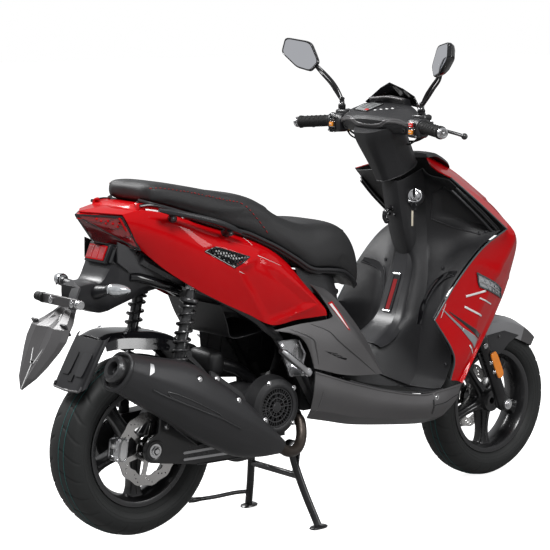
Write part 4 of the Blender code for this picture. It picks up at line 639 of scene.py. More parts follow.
def build_side_panel(label, side):
    shape = Shape()
    shape.skin([flip(column, side) for column in PANEL_COLUMNS], 12, 10, cuts_v=(1,))
    # The faceted diamond and the vent's recess are pressed into the smooth skin.
    corner = [Vector((x, 0.0, z)) for x, z in ((0.300, 0.792), (0.226, 0.762), (0.345, 0.600),
                                               (0.515, 0.640))]
    vent = [Vector((x, 0.0, z)) for x, z in VENT]
    for vert in shape.bm.verts:
        flat = Vector((vert.co.x, 0.0, vert.co.z))
        inside = edge_distance(flat, corner)
        if inside > 0.0:
            vert.co.y -= side * min(0.0065, inside * 0.35)
        elif inside > -0.010:
            vert.co.y += side * 0.0018 * (1.0 + inside / 0.010)
        inside = edge_distance(flat, vent)
        if inside > 0.0:
            vert.co.y -= side * min(0.0050, inside * 1.2)
    panel = shape.done("side_cowl_" + label, "chassis", RED, "side_panel_" + label, solid=0.003,
                       bevel=0.0006, angle=34.0)
    tree = tree_of(panel)
    inward = -ACROSS * side
    mesh = Shape()
    # Honeycomb: short hexagon rings standing in the recess.
    pitch = 0.0095
    for row in range(-4, 10):
        for column in range(-2, 20):
            x = 0.120 + pitch * (column + 0.5 * (row % 2))
            z = 0.760 + pitch * 0.87 * row
            if edge_distance(Vector((x, 0.0, z)), vent) < 0.0030:
                continue
            centre = on_tree(tree, (x, 0.17 * side, z), inward, 0.0004)
            ring = []
            for reach, lift in ((0.0058, 0.0), (0.0058, 0.0026), (0.0044, 0.0026), (0.0044, 0.0)):
                ring.append([centre + Vector((math.cos(a), 0.0, math.sin(a))) * reach + ACROSS * side * lift
                             for a in (math.pi * (2 * k + 1) / 6.0 for k in range(6))])
            mesh.grid(ring, closed=True, mat=0)
    backing = [on_tree(tree, (p.x, 0.17 * side, p.z), inward, 0.0006) for p in vent]
    decal(mesh, tree, [(p.x, 0.17 * side, p.z) for p in vent], inward, 0.0008, mat=1, steps=(16, 10))
    frame_line = [on_tree(tree, (p.x, 0.17 * side, p.z), inward, 0.0012)
                  for a, b in zip(vent, vent[1:] + vent[:1]) for p in (a.lerp(b, t / 8.0) for t in range(8))]
    mesh.tube(frame_line + frame_line[:1], 0.0016, 8, mat=0)
    mesh.done("side_vent_" + label, "chassis", [GLOSS_BLACK, GLOSS_BLACK])
    trim = Shape()
    # Light films that stand for the printed lines beside the diamond.
    for a, b, wide in (((0.232, 0.757), (0.250, 0.749), 0.0022), ((0.300, 0.793), (0.385, 0.757), 0.0014),
                       ((0.288, 0.838), (0.298, 0.818), 0.0030)):
        run = Vector((b[0] - a[0], 0.0, b[1] - a[1])).normalized()
        cross = Vector((-run.z, 0.0, run.x)) * wide / 2.0
        ends = [Vector((a[0], 0.17 * side, a[1])), Vector((b[0], 0.17 * side, b[1]))]
        decal(trim, tree, [ends[0] - cross, ends[1] - cross * 0.3, ends[1] + cross * 0.3, ends[0] + cross],
              inward, 0.0006, steps=(10, 2))
    trim.done("side_film_" + label, "chassis", WHITE, solid=0.0003)
    return tree


def edge_distance(point, corners):
    """How far a point in (x, z) is inside a convex outline; negative outside."""
    centre = sum(corners, Vector()) / len(corners)
    nearest = 1.0
    for a, b in zip(corners, corners[1:] + corners[:1]):
        run = (b - a).normalized()
        across = Vector((-run.z, 0.0, run.x))
        if across.dot(centre - a) < 0.0:
            across = -across
        nearest = min(nearest, across.dot(point - a))
    return nearest


PANEL_TREES = {label: build_side_panel(label, side) for label, side in SIDES}


# ---- front fairing ----------------------------------------------------------------
FAIRING_COLUMNS = [
    [(0.985, 0.203, 0.962), (1.093, 0.223, 0.877), (1.200, 0.223, 0.799), (1.100, 0.223, 0.751),
     (1.003, 0.219, 0.664), (0.917, 0.213, 0.557), (1.004, 0.206, 0.445), (1.010, 0.188, 0.366)],
    [(0.985, 0.152, 0.976), (1.118, 0.182, 0.899), (1.235, 0.185, 0.814), (1.270, 0.190, 0.762),
     (1.189, 0.200, 0.664), (1.111, 0.200, 0.558), (1.080, 0.196, 0.447), (1.034, 0.186, 0.362)],
    [(0.998, 0.104, 0.992), (1.136, 0.115, 0.928), (1.261, 0.115, 0.845), (1.349, 0.120, 0.748),
     (1.284, 0.145, 0.643), (1.190, 0.165, 0.536), (1.112, 0.180, 0.442), (1.048, 0.184, 0.357)],
    [(1.042, 0.046, 1.004), (1.163, 0.050, 0.945), (1.289, 0.050, 0.864), (1.397, 0.055, 0.741),
     (1.345, 0.090, 0.620), (1.240, 0.130, 0.515), (1.136, 0.165, 0.435), (1.056, 0.180, 0.352)],
    [(1.078, 0.000, 1.010), (1.192, 0.000, 0.954), (1.328, 0.000, 0.866), (1.428, 0.000, 0.739),
     (1.390, 0.000, 0.610), (1.290, 0.000, 0.500), (1.190, 0.000, 0.425), (1.090, 0.000, 0.350)],
]


def build_fairing():
    shape = Shape()
    columns = [flip(column, -1.0) for column in FAIRING_COLUMNS] + FAIRING_COLUMNS[-2::-1]
    shape.skin(columns, 9, 9, cuts_u=(1, 7), cuts_v=(2, 5), holes=[(3, 5, 3, 7)])
    # A folded line runs across each cheek, and the lamp sits in a shallow pocket below it.
    lamp = [Vector((x, 0.0, z)) for x, z in ((1.078, 0.684), (1.243, 0.618), (1.262, 0.574),
                                             (1.098, 0.630))]
    for vert in shape.bm.verts:
        side = math.copysign(1.0, vert.co.y)
        if abs(vert.co.y) < 0.12:
            continue
        fold = vert.co.z - (0.684 - (vert.co.x - 1.115) * 0.30)
        if 0.0 < fold < 0.030 and vert.co.x > 1.04:
            vert.co.y += side * 0.0045 * (1.0 - fold / 0.030) * min(1.0, (vert.co.x - 1.04) / 0.06)
        inside = edge_distance(Vector((vert.co.x, 0.0, vert.co.z)), lamp)
        if inside > 0.0 and vert.co.x < 1.30:
            vert.co.y -= side * min(0.004, inside * 0.8)
    fairing = shape.done("front_cowl", "chassis", [RED, BLACK], "front_fairing", solid=0.003,
                         bevel=0.0006, angle=36.0, inner=1)
    tree = tree_of(fairing)
    for label, side in SIDES:
        build_fairing_films(label, side, tree)
        line = Shape()
        edge = catmull([Vector((p[0] - 0.001, p[1] * side, p[2])) for p in FAIRING_COLUMNS[0]], 8, (2, 5))
        line.tube(edge, 0.0024, 8)
        line.done("cowl_edge_" + label, "chassis", EDGE_LINE)
        build_front_lamp(label, side, tree)
    top = Shape()
    loops = []
    for x, z, half in ((1.046, 1.0190, 0.046), (1.070, 1.0210, 0.056), (1.104, 1.0080, 0.052),
                       (1.140, 0.9900, 0.040), (1.166, 0.9770, 0.016)):
        loops.append([(x, half, z - 0.013), (x, half * 0.8, z - 0.002), (x, half * 0.3, z), (x, -half * 0.3, z),
                      (x, -half * 0.8, z - 0.002), (x, -half, z - 0.013), (x, 0.0, z - 0.016)])
    top.loft(loops, smooth=6)
    top.done("cowl_top_piece", "chassis", BLACK, bevel=0.0008)


def build_fairing_films(label, side, tree):
    """Plain slashes and wedges stand for the printed graphics."""
    inward = -ACROSS * side

    def at(x, z):
        return Vector((x, 0.2 * side, z))

    white = Shape()
    for a, b, wide in (((1.044, 0.611), (1.135, 0.622), 0.011), ((1.107, 0.600), (1.185, 0.573), 0.007),
                       ((1.041, 0.581), (1.129, 0.546), 0.010), ((1.072, 0.463), (1.106, 0.434), 0.008)):
        start, end = at(*a), at(*b)
        run = (end - start).normalized()
        cross = Vector((-run.z, 0.0, run.x)) * wide / 2.0
        decal(white, tree, [start - cross * 0.25, end - cross, end + cross * 0.1, start + cross],
              inward, 0.0010, steps=(14, 4))
    start = [at(0.955, 0.601), at(0.939, 0.561)]
    decal(white, tree, [start[0], start[1], start[1] + AHEAD * 0.0022, start[0] + AHEAD * 0.0022], inward,
          0.0010, steps=(12, 2))
    white.done("cowl_white_" + label, "chassis", WHITE, solid=0.0003)
    silver = Shape()
    decal(silver, tree, [at(0.944, 0.585), at(1.036, 0.513), at(1.040, 0.520), at(0.946, 0.587)], inward,
          0.0010, steps=(16, 3))
    decal(silver, tree, [at(1.036, 0.5125), at(1.110, 0.446), at(1.124, 0.474), at(1.040, 0.5205)], inward,
          0.0010, steps=(14, 6))
    silver.done("cowl_silver_" + label, "chassis", SILVER, solid=0.0003)
    black = Shape()
    decal(black, tree, [at(0.975, 0.575), at(1.127, 0.474), at(1.139, 0.486), at(0.976, 0.5765)], inward,
          0.0010, steps=(22, 5))
    black.done("cowl_black_" + label, "chassis", GLOSS_BLACK, solid=0.0003)


def build_front_lamp(label, side, tree):
    """The indicator lamp let into each cheek: a bright bowl, ribs, a clear cover and a dark rim."""
    inward = -ACROSS * side
    corners = [Vector((x, 0.2 * side, z)) for x, z in ((1.085, 0.679), (1.240, 0.613), (1.257, 0.580),
                                                       (1.103, 0.636))]
    lamp = Shape()
    decal(lamp, tree, corners, inward, 0.0016, mat=0, steps=(18, 8))
    lines = []
    for a, b in zip(corners, corners[1:] + corners[:1]):
        lines += [on_tree(tree, a.lerp(b, t / 8.0), inward, 0.0030) for t in range(8)]
    lamp.tube(lines + lines[:1], 0.0024, 8, mat=1)
    for share in (0.22, 0.40, 0.58, 0.76):
        low = corners[0].lerp(corners[1], share)
        high = corners[3].lerp(corners[2], share + 0.12)
        lamp.tube([on_tree(tree, low.lerp(high, t / 6.0), inward, 0.0030) for t in range(7)], 0.0017, 6, mat=0)
    middle = [on_tree(tree, corners[0].lerp(corners[3], 0.5).lerp(corners[1].lerp(corners[2], 0.5), t / 12.0),
                      inward, 0.0036) for t in range(1, 12)]
    lamp.tube(middle, 0.0030, 8, mat=2)
    lamp.done("front_lamp_" + label, "chassis", [CLEAR, EDGE_LINE, BRIGHT])


def build_headlight():
    """The main lamp between the cheeks, with twin bowls behind one curved cover."""
    rows = []
    for z, front, half in ((0.722, 1.414, 0.054), (0.694, 1.406, 0.062), (0.665, 1.396, 0.068),
                           (0.638, 1.386, 0.074), (0.612, 1.376, 0.079)):
        rows.append([Vector((front - 0.029 * (abs(k) / 8.0) ** 1.8, half * k / 8.0, z + 0.004 * abs(k) / 8.0))
                     for k in range(-8, 9)])
    cover = Shape()
    cover.grid(list(zip(*[catmull(line, 5) for line in zip(*rows)])))
    cover.done("headlight_cover", "chassis", CLEAR, "headlight", solid=0.003)
    inner = Shape()
    for side in (-1.0, 1.0):
        centre = Vector((1.380, 0.034 * side, 0.668))
        inner.lathe([(0.004, -0.030), (0.016, -0.022), (0.0255, -0.006), (0.0285, 0.004), (0.0300, 0.004),
                     (0.0270, -0.008), (0.0170, -0.025), (0.004, -0.033)], centre,
                    Vector((0.96, 0.16 * side, 0.0)), 32)
        inner.ball(centre - AHEAD * 0.012, 0.0085, mat=1)
    for z in (0.717, 0.617):
        inner.tube([(1.368, -0.056, z), (1.394 + (z - 0.667) * 0.3, 0.0, z), (1.368, 0.056, z)], 0.0035, 8,
                   mat=2)
    inner.done("headlight_bowls", "chassis", [BRIGHT, WHITE, GLOSS_BLACK])


build_fairing()
build_headlight()


# ---- leg shield -------------------------------------------------------------------
SHIELD_COLUMNS = [
    [(0.934, 0.000, 0.942), (0.944, 0.000, 0.895), (0.960, 0.000, 0.830), (0.986, 0.000, 0.750),
     (0.998, 0.000, 0.680), (0.944, 0.000, 0.545), (0.870, 0.000, 0.492), (0.830, 0.000, 0.470),
     (0.800, 0.000, 0.442)],
    [(0.944, 0.042, 0.947), (0.954, 0.040, 0.900), (0.968, 0.038, 0.832), (0.990, 0.036, 0.752),
     (0.992, 0.050, 0.675), (0.950, 0.058, 0.545), (0.880, 0.060, 0.478), (0.838, 0.062, 0.452),
     (0.815, 0.070, 0.400)],
    [(1.012, 0.058, 0.978), (1.022, 0.056, 0.930), (1.030, 0.056, 0.850), (1.036, 0.056, 0.765),
     (1.020, 0.078, 0.670), (0.992, 0.088, 0.560), (0.975, 0.090, 0.450), (0.960, 0.092, 0.380),
     (0.935, 0.095, 0.345)],
    [(0.980, 0.120, 0.964), (1.050, 0.130, 0.915), (1.090, 0.135, 0.830), (1.080, 0.132, 0.760),
     (1.032, 0.140, 0.668), (1.004, 0.150, 0.560), (1.000, 0.150, 0.450), (0.984, 0.150, 0.374),
     (0.962, 0.150, 0.341)],
    [(0.983, 0.197, 0.956), (1.085, 0.216, 0.872), (1.180, 0.216, 0.796), (1.092, 0.216, 0.752),
     (0.998, 0.212, 0.667), (0.918, 0.206, 0.562), (0.998, 0.198, 0.448), (0.997, 0.182, 0.374),
     (0.978, 0.178, 0.345)],
]


def build_shield():
    shape = Shape()
    columns = [flip(column, -1.0) for column in SHIELD_COLUMNS[::-1]] + SHIELD_COLUMNS[1:]
    shape.skin(columns, 9, 9, cuts_u=(2, 6), cuts_v=(2, 5))
    # Triangular facets are sunk into the upper part of each side.
    facet = [Vector((0.0, y, z)) for y, z in ((0.072, 0.835), (0.082, 0.905), (0.128, 0.928),
                                              (0.205, 0.818), (0.190, 0.800))]
    for vert in shape.bm.verts:
        inside = inset_distance(abs(vert.co.y), vert.co.z, facet)
        if inside > 0.0:
            vert.co.x += min(0.006, inside * 0.5)
        elif inside > -0.008:
            vert.co.x -= 0.0015 * (1.0 + inside / 0.008)
    shield = shape.done("inner_shield", "chassis", BLACK, "leg_shield", solid=0.003,
                        bevel=0.0006, angle=34.0)
    return tree_of(shield)


def inset_distance(y, z, corners):
    return edge_distance(Vector((y, 0.0, z)), [Vector((corner.y, 0.0, corner.z)) for corner in corners])


def build_column_cover():
    """The rounded cover over the head of the frame, below the handlebar."""
    shape = Shape()
    loops = []
    for x, z, half, deep in ((0.934, 0.944, 0.046, 0.050), (0.941, 0.905, 0.046, 0.050),
                             (0.953, 0.850, 0.046, 0.048), (0.968, 0.790, 0.045, 0.040),
                             (0.983, 0.745, 0.041, 0.028), (0.992, 0.722, 0.030, 0.018),
                             (0.996, 0.712, 0.014, 0.010)):
        ring = []
        for y, ahead in ((-1.0, 1.0), (-0.96, 0.42), (-0.70, 0.06), (-0.25, -0.06), (0.25, -0.06), (0.70, 0.06),
                         (0.96, 0.42), (1.0, 1.0)):
            ring.append(Vector((x - 0.004 + deep * ahead, half * y, z - 0.10 * deep * ahead)))
        loops.append(ring)
    lines = [catmull(line, 5) for line in zip(*loops)]
    rows = [catmull(row, 5, (2, 5)) for row in zip(*lines)]
    shape.grid(rows)
    shape.done("column_cover", "chassis", BLACK, solid=0.0024, bevel=0.0008)


def build_tunnel(tree):
    """The raised spine between the feet, with its recessed red strip between bright ends; the strip is painted a darker
    red as painted shade of the recess.
    """
    spine = Shape()
    loops = []
    for x, z, half, lift in ((0.996, 0.742, 0.026, 0.006), (0.992, 0.700, 0.036, 0.010),
                             (0.980, 0.650, 0.040, 0.012), (0.958, 0.592, 0.044, 0.012),
                             (0.934, 0.540, 0.050, 0.011), (0.900, 0.508, 0.056, 0.009),
                             (0.862, 0.486, 0.060, 0.007), (0.834, 0.473, 0.058, 0.004)):
        back = Vector((-0.80, 0.0, 0.42)).normalized() if z > 0.53 else Vector((-0.45, 0.0, 0.88)).normalized()
        ring = []
        for y, high in ((-1.25, -1.6), (-1.02, -0.1), (-0.74, 0.92), (0.74, 0.92), (1.02, -0.1), (1.25, -1.6)):
            ring.append(Vector((x, half * y, z)) + back * lift * high)
        loops.append(ring)
    lines = [catmull(line, 5) for line in zip(*loops)]
    rows = [catmull(row, 4, (1, 2, 3, 4)) for row in zip(*lines)]
    spine.grid(rows)
    piece = spine.done("tunnel_spine", "chassis", SATIN, solid=0.0024, bevel=0.0010)
    top = tree_of(piece)
    strip = Shape()
    back = Vector((0.88, 0.0, -0.46))

    def at(y, share):
        return Vector((0.955 + 0.040 * (1.0 - share) - 0.012, y, 0.656 - 0.108 * share))

    decal(strip, top, [at(-0.0125, 0.0), at(0.0125, 0.0), at(0.0125, 1.0), at(-0.0125, 1.0)], back, 0.0012,
          mat=0, steps=(6, 16))
    # The red strip takes the darker red: painted shade in the recess.
    decal(strip, top, [at(-0.0060, 0.14), at(0.0100, 0.14), at(0.0100, 0.94), at(-0.0060, 0.94)], back, 0.0018,
          mat=1, steps=(6, 16))
    for share in (0.0, 1.0):
        ends = [on_tree(top, at(y, share), back, 0.0022) for y in (-0.0150, -0.0075, 0.0, 0.0075, 0.0150)]
        strip.tube(ends, 0.0036, 10, mat=2)
    for y in (-0.0135, 0.0135):
        strip.tube([on_tree(top, at(y, t / 12.0), back, 0.0016) for t in range(13)], 0.0018, 8, mat=3)
    strip.done("tunnel_strip", "chassis", [GLOSS_BLACK, RED_IN_PAINTED_SHADE, BRIGHT, SATIN])


def build_shield_details(tree):
    outward = Vector((1.0, 0.0, -0.1))
    for label, side in SIDES:
        def at(y, z):
            return Vector((1.0, y * side, z))

        panel = Shape()
        # The sweeping groove beside the tunnel, from its foot out to the red edge.
        groove = [at(0.086, 0.520), at(0.090, 0.590), at(0.112, 0.645), at(0.150, 0.672), at(0.200, 0.682)]
        wide = [0.003, 0.0075, 0.0090, 0.0090, 0.0070]
        mid = catmull(groove, 8)
        widths = [p.x for p in catmull([(w, 0, 0) for w in wide], 8)]
        rows = []
        for share in (-1.0, -0.4, 0.4, 1.0):
            row = []
            for i, point in enumerate(mid):
                run = (mid[min(i + 1, len(mid) - 1)] - mid[max(i - 1, 0)]).normalized()
                across = Vector((0.0, -run.z, run.y))
                lift = 0.0002 if abs(share) < 0.9 else 0.0022
                row.append(on_tree(tree, point + across * widths[i] * share, outward, lift))
            rows.append(row)
        panel.grid(rows, mat=0)
        panel.tube(rows[0], 0.0014, 8, mat=1)
        panel.tube(rows[-1], 0.0014, 8, mat=1)
        # Crease bars that frame the sunken upper facet, and its corner screws.
        frame_points = [at(0.068, 0.832), at(0.080, 0.908), at(0.128, 0.932), at(0.168, 0.890),
                        at(0.206, 0.822), at(0.190, 0.798), at(0.120, 0.812), at(0.068, 0.832)]
        bar = []
        for a, b in zip(frame_points, frame_points[1:]):
            bar += [on_tree(tree, a.lerp(b, t / 6.0), outward, 0.0006) for t in range(6)]
        panel.tube(bar + bar[:1], 0.0019, 8, mat=1)
        for y, z in ((0.196, 0.806), (0.186, 0.800), (0.176, 0.412), (0.120, 0.690)):
            spot = on_tree(tree, at(y, z), outward, 0.0008)
            panel.bolt(spot, -outward, 0.0046, mat=1, height=0.0030, socket=0)
        # The dark channel that follows the fairing's upper edge.
        channel = [(1.010, 0.203, 0.936), (1.060, 0.212, 0.893), (1.112, 0.216, 0.851), (1.168, 0.216, 0.805)]
        edge = catmull(flip(channel, side), 6)
        panel.tube([p + Vector((-0.012, -0.010 * side, -0.012)) for p in edge], 0.0038, 10, mat=1)
        panel.tube([p + Vector((-0.003, -0.003 * side, -0.003)) for p in edge], 0.0050, 10, mat=0)
        panel.done("shield_detail_" + label, "chassis", [GLOSS_BLACK, SATIN])


def build_lock_and_hook():
    outward = Vector((-0.72, -0.62, 0.32)).normalized()
    centre = Vector((0.974, -0.068, 0.900))
    lock = Shape()
    lock.lathe([(0.0172, -0.016), (0.0205, -0.012), (0.0215, 0.0000), (0.0200, 0.0030), (0.0168, 0.0036),
                (0.0168, -0.016)], centre, outward, 40)
    lock.lathe([(0.0260, -0.018), (0.0262, -0.008), (0.0220, -0.004), (0.0190, -0.004), (0.0190, -0.018)],
               centre, outward, 40, mat=1)
    lock.done("lock_bezel", "chassis", [BRIGHT, BLACK])
    key = Shape()
    key.lathe([(0.0002, 0.0042), (0.0155, 0.0042), (0.0160, 0.0080), (0.0150, 0.0140), (0.0115, 0.0160),
               (0.0002, 0.0160)], centre, outward, 36, closed=False)
    side_axis = outward.cross(UP).normalized()
    key.box(centre + outward * 0.022, (0.0022, 0.0080, 0.014), turn=facing(outward, 20.0), bevel=0.0006, mat=0)
    key.loft([oval(centre + outward * d, a, 0.0038, UP, side_axis, 24, 0.7)
              for d, a in ((0.026, 0.0095), (0.030, 0.0125), (0.040, 0.0125), (0.046, 0.0090))], smooth=3, mat=1)
    hang = centre + outward * 0.043 - UP * 0.009
    ring = [hang + side_axis * 0.009 * math.sin(a) - UP * (0.010 - 0.010 * math.cos(a))
            for a in (2.0 * math.pi * k / 28 for k in range(29))]
    key.tube(ring, 0.0009, 8, mat=0)
    low = hang - UP * 0.020
    key.loft([oval(low - UP * d, a, 0.0042, side_axis, outward, 20, 0.6)
              for d, a in ((0.000, 0.004), (0.004, 0.0080), (0.018, 0.0085), (0.024, 0.0055))], smooth=2, mat=1)
    key.box(low - UP * 0.046 + side_axis * 0.004, (0.0016, 0.0065, 0.046), turn=facing(UP, 0.0), bevel=0.0005,
            mat=2)
    key.ball(hang + side_axis * 0.012 - UP * 0.016, 0.0048, mat=0)
    key.done("lock_key", "key", [BRIGHT, GLOSS_BLACK, CREAM], "ignition_key")
    hook = Shape()
    base = Vector((0.950, 0.0, 0.858))
    hook.rod(base + Vector((0.010, 0.0, 0.0)), base + Vector((-0.010, 0.0, 0.004)), 0.0125, 0.0115, 28,
             chamfer=0.002)
    route = catmull([base + Vector(v) for v in ((-0.006, 0.0, 0.004), (-0.024, 0.0, 0.000),
                                                (-0.034, 0.0, -0.012), (-0.034, 0.0, -0.026),
                                                (-0.026, 0.0, -0.034))], 5)
    hook.tube(route, [0.0075] * 10 + [0.0065] * (len(route) - 10), 16)
    hook.ball(route[-1], 0.0085)
    for y in (-0.012, 0.012):
        hook.bolt(base + Vector((-0.004, y, -0.016)), (-1.0, 0.0, 0.3), 0.0045, mat=0, socket=1)
    hook.done("bag_hook", "chassis", [GLOSS_BLACK, BRIGHT])


SHIELD_TREE = build_shield()
build_column_cover()
build_tunnel(SHIELD_TREE)
build_shield_details(SHIELD_TREE)
build_lock_and_hook()


# ---- under-seat cover, floor and skirts -------------------------------------------
def build_under_seat():
    side_columns = [
        [(0.370, 0.148, 0.580), (0.440, 0.156, 0.563), (0.490, 0.162, 0.545)],
        [(0.460, 0.149, 0.588), (0.485, 0.158, 0.540), (0.500, 0.166, 0.462)],
        [(0.560, 0.149, 0.590), (0.595, 0.162, 0.520), (0.620, 0.170, 0.428)],
        [(0.584, 0.147, 0.596), (0.670, 0.160, 0.520), (0.760, 0.160, 0.412)],
    ]
    front_columns = [
        [(0.584, 0.147, 0.596), (0.670, 0.160, 0.520), (0.760, 0.160, 0.412),
         (0.780, 0.095, 0.434), (0.785, 0.000, 0.446)],
        [(0.566, 0.142, 0.628), (0.640, 0.148, 0.575), (0.712, 0.138, 0.520),
         (0.730, 0.075, 0.535), (0.735, 0.000, 0.542)],
        [(0.534, 0.128, 0.676), (0.565, 0.126, 0.660), (0.615, 0.122, 0.640),
         (0.662, 0.075, 0.618), (0.684, 0.000, 0.606)],
        [(0.512, 0.108, 0.700), (0.525, 0.108, 0.698), (0.540, 0.104, 0.694),
         (0.570, 0.060, 0.690), (0.585, 0.000, 0.690)],
    ]
    cover = Shape()
    whole = [flip(column, -1.0) + column[-2::-1] for column in front_columns]
    cover.skin(whole, 9, 8, cuts_v=(2, 6))
    for _, side in SIDES:
        cover.skin([flip(column, side) for column in side_columns], 9, 8, cuts_u=(1,))
    piece = cover.done("under_seat_cover", "chassis", GUNMETAL, "under_seat_panel", solid=0.003,
                       bevel=0.0008, angle=26.0)
    tree = tree_of(piece)
    for label, side in SIDES:
        def at(x, z):
            return Vector((x, 0.20 * side, z))

        inward = -ACROSS * side
        trim = Shape()
        for route in (((0.500, 0.584), (0.562, 0.558), (0.599, 0.524), (0.679, 0.462), (0.735, 0.418)),
                      ((0.424, 0.578), (0.499, 0.546), (0.511, 0.514), (0.516, 0.470))):
            points = [on_tree(tree, p, inward, 0.0002) for p in catmull([at(*xz) for xz in route], 7)]
            count = len(points) - 1
            trim.tube(points, [0.0008 + 0.0026 * math.sin(math.pi * i / count) for i in range(count + 1)], 10)
        for k in range(3):
            x, z = 0.556 + 0.017 * k, 0.5045 - 0.0085 * k
            decal(trim, tree, [at(x - 0.012, z), at(x + 0.030, z - 0.011), at(x + 0.026, z - 0.0165),
                               at(x - 0.004, z - 0.0055)], inward, 0.0009, mat=1, steps=(10, 3))
            trim.tube([on_tree(tree, at(x - 0.012, z).lerp(at(x + 0.030, z - 0.011), t / 8.0), inward, 0.0010)
                       for t in range(9)], 0.0011, 8)
        trim.done("seat_cover_ridges_" + label, "chassis", [GUNMETAL, GLOSS_BLACK])
        film = Shape()
        decal(film, tree, [at(0.570, 0.634), at(0.592, 0.636), at(0.640, 0.552), at(0.634, 0.553)], inward,
              0.0009, mat=1, steps=(18, 4))
        decal(film, tree, [at(0.575, 0.630), at(0.587, 0.631), at(0.635, 0.556), at(0.632, 0.558)], inward,
              0.0014, mat=0, steps=(18, 4))
        film.done("seat_cover_film_" + label, "chassis", [WHITE, RED])
    seams = Shape()
    ahead = Vector((-1.0, 0.0, -0.35))
    for y in (-0.060, 0.060):
        seams.tube([on_tree(tree, Vector((0.95, y * (1.0 + 0.5 * t / 12.0), 0.70 - 0.19 * t / 12.0)), ahead, 0.0)
                    for t in range(13)], 0.0022, 8)
    seams.bolt(on_tree(tree, Vector((0.95, 0.0, 0.655)), ahead, 0.0), (1.0, 0.0, 0.5), 0.006, mat=1, socket=2)
    seams.done("seat_cover_front_ridges", "chassis", [SATIN, STEEL, GLOSS_BLACK])


def build_floor():
    columns = []
    for x, hump, deck in ((0.625, 0.440, 0.410), (0.720, 0.436, 0.378), (0.800, 0.436, 0.357),
                          (0.870, 0.432, 0.344), (0.940, 0.385, 0.336), (0.990, 0.350, 0.338)):
        half = [(x, 0.000, hump), (x, 0.052, hump - 0.006), (x, 0.084, deck + 0.004), (x, 0.130, deck),
                (x, 0.166, deck), (x, 0.177, deck + 0.003)]
        columns.append([Vector(p) for p in flip(half[:0:-1], -1.0)] + [Vector(p) for p in half])
    floor = Shape()
    floor.skin(columns, 8, 6, cuts_v=(3, 7))
    piece = floor.done("floor_pan", "chassis", BLACK, "floorboard", solid=0.004, bevel=0.0008)
    tree = tree_of(piece)
    ribs = Shape()
    for _, side in SIDES:
        for k in range(5):
            y = (0.098 + 0.0155 * k) * side
            points = [on_tree(tree, Vector((0.665 + 0.24 * t / 16.0, y, 0.55)), -UP, 0.0008) for t in range(17)]
            ribs.tube(points, [0.0012] + [0.0034] * 15 + [0.0012], 8)
        for x in (0.672, 0.895):
            ribs.bolt(on_tree(tree, Vector((x, 0.090 * side, 0.55)), -UP, 0.0), UP, 0.0055, mat=1, socket=2)
    ribs.done("floor_ribs", "chassis", [RUBBER, STEEL, GLOSS_BLACK])


def build_skirts():
    columns = [
        [(0.500, 0.170, 0.450), (0.494, 0.172, 0.400), (0.492, 0.160, 0.345), (0.494, 0.140, 0.318)],
        [(0.560, 0.176, 0.428), (0.560, 0.180, 0.380), (0.560, 0.168, 0.330), (0.560, 0.144, 0.302)],
        [(0.640, 0.178, 0.400), (0.645, 0.184, 0.355), (0.650, 0.172, 0.305), (0.650, 0.146, 0.280)],
        [(0.760, 0.178, 0.364), (0.765, 0.186, 0.325), (0.770, 0.174, 0.285), (0.770, 0.148, 0.262)],
        [(0.900, 0.180, 0.334), (0.905, 0.188, 0.300), (0.910, 0.176, 0.265), (0.910, 0.148, 0.245)],
        [(1.000, 0.182, 0.338), (1.000, 0.186, 0.300), (0.990, 0.174, 0.262), (0.980, 0.150, 0.246)],
        [(1.060, 0.180, 0.345), (1.045, 0.180, 0.310), (1.030, 0.172, 0.285), (1.015, 0.156, 0.268)],
    ]
    for label, side in SIDES:
        skirt = Shape()
        skirt.skin([flip(column, side) for column in columns], 8, 8, cuts_u=(5,), cuts_v=(2,))
        piece = skirt.done("skirt_" + label, "chassis", [GUNMETAL, BLACK], "side_skirt_" + label,
                           solid=0.003, bevel=0.0008, angle=24.0)
        tree = tree_of(piece)
        inward = -ACROSS * side

        def at(x, z):
            return Vector((x, 0.25 * side, z))

        trim = Shape()
        decal(trim, tree, [at(0.9380, 0.3170), at(0.9435, 0.3170), at(0.9435, 0.2740), at(0.9380, 0.2740)],
              inward, 0.0010, mat=1, steps=(3, 10))
        line = [at(0.9435, 0.300), at(0.985, 0.302), at(1.020, 0.312), at(1.048, 0.318)]
        trim.tube([on_tree(tree, p, inward, 0.0002) for p in catmull(line, 7)], 0.0012, 8, mat=1)
        edge = catmull([Vector((p[0], p[1] * side, p[2])) for p in [c[0] for c in columns]], 8, (5,))
        trim.tube([p + UP * 0.0012 for p in edge], 0.0034, 10, mat=0)
        lock = on_tree(tree, at(0.955, 0.322), inward, 0.0)
        trim.lathe([(0.0002, 0.0030), (0.0050, 0.0030), (0.0058, 0.0020), (0.0082, 0.0022), (0.0088, 0.0),
                    (0.0088, -0.003), (0.0002, -0.003)], lock, -inward, 28, mat=2, closed=False)
        trim.box(lock - inward * 0.0036, (0.0012, 0.0012, 0.0065), bevel=0.0002, mat=1)
        facet = [at(0.524, 0.396), at(0.514, 0.344), at(0.493, 0.324)]
        for a, b in zip(facet, facet[1:]):
            trim.tube([on_tree(tree, a.lerp(b, t / 8.0), inward, 0.0) for t in range(9)], 0.0014, 8, mat=0)
        trim.done("skirt_trim_" + label, "chassis", [GUNMETAL, GLOSS_BLACK, BRIGHT])


build_under_seat()
build_floor()
build_skirts()


# ---- tail -------------------------------------------------------------------------
TAIL_APEX = Vector((-0.1700, 0.0, 0.9225))
TAIL_LOW = Vector((-0.1164, 0.0, 0.8503))


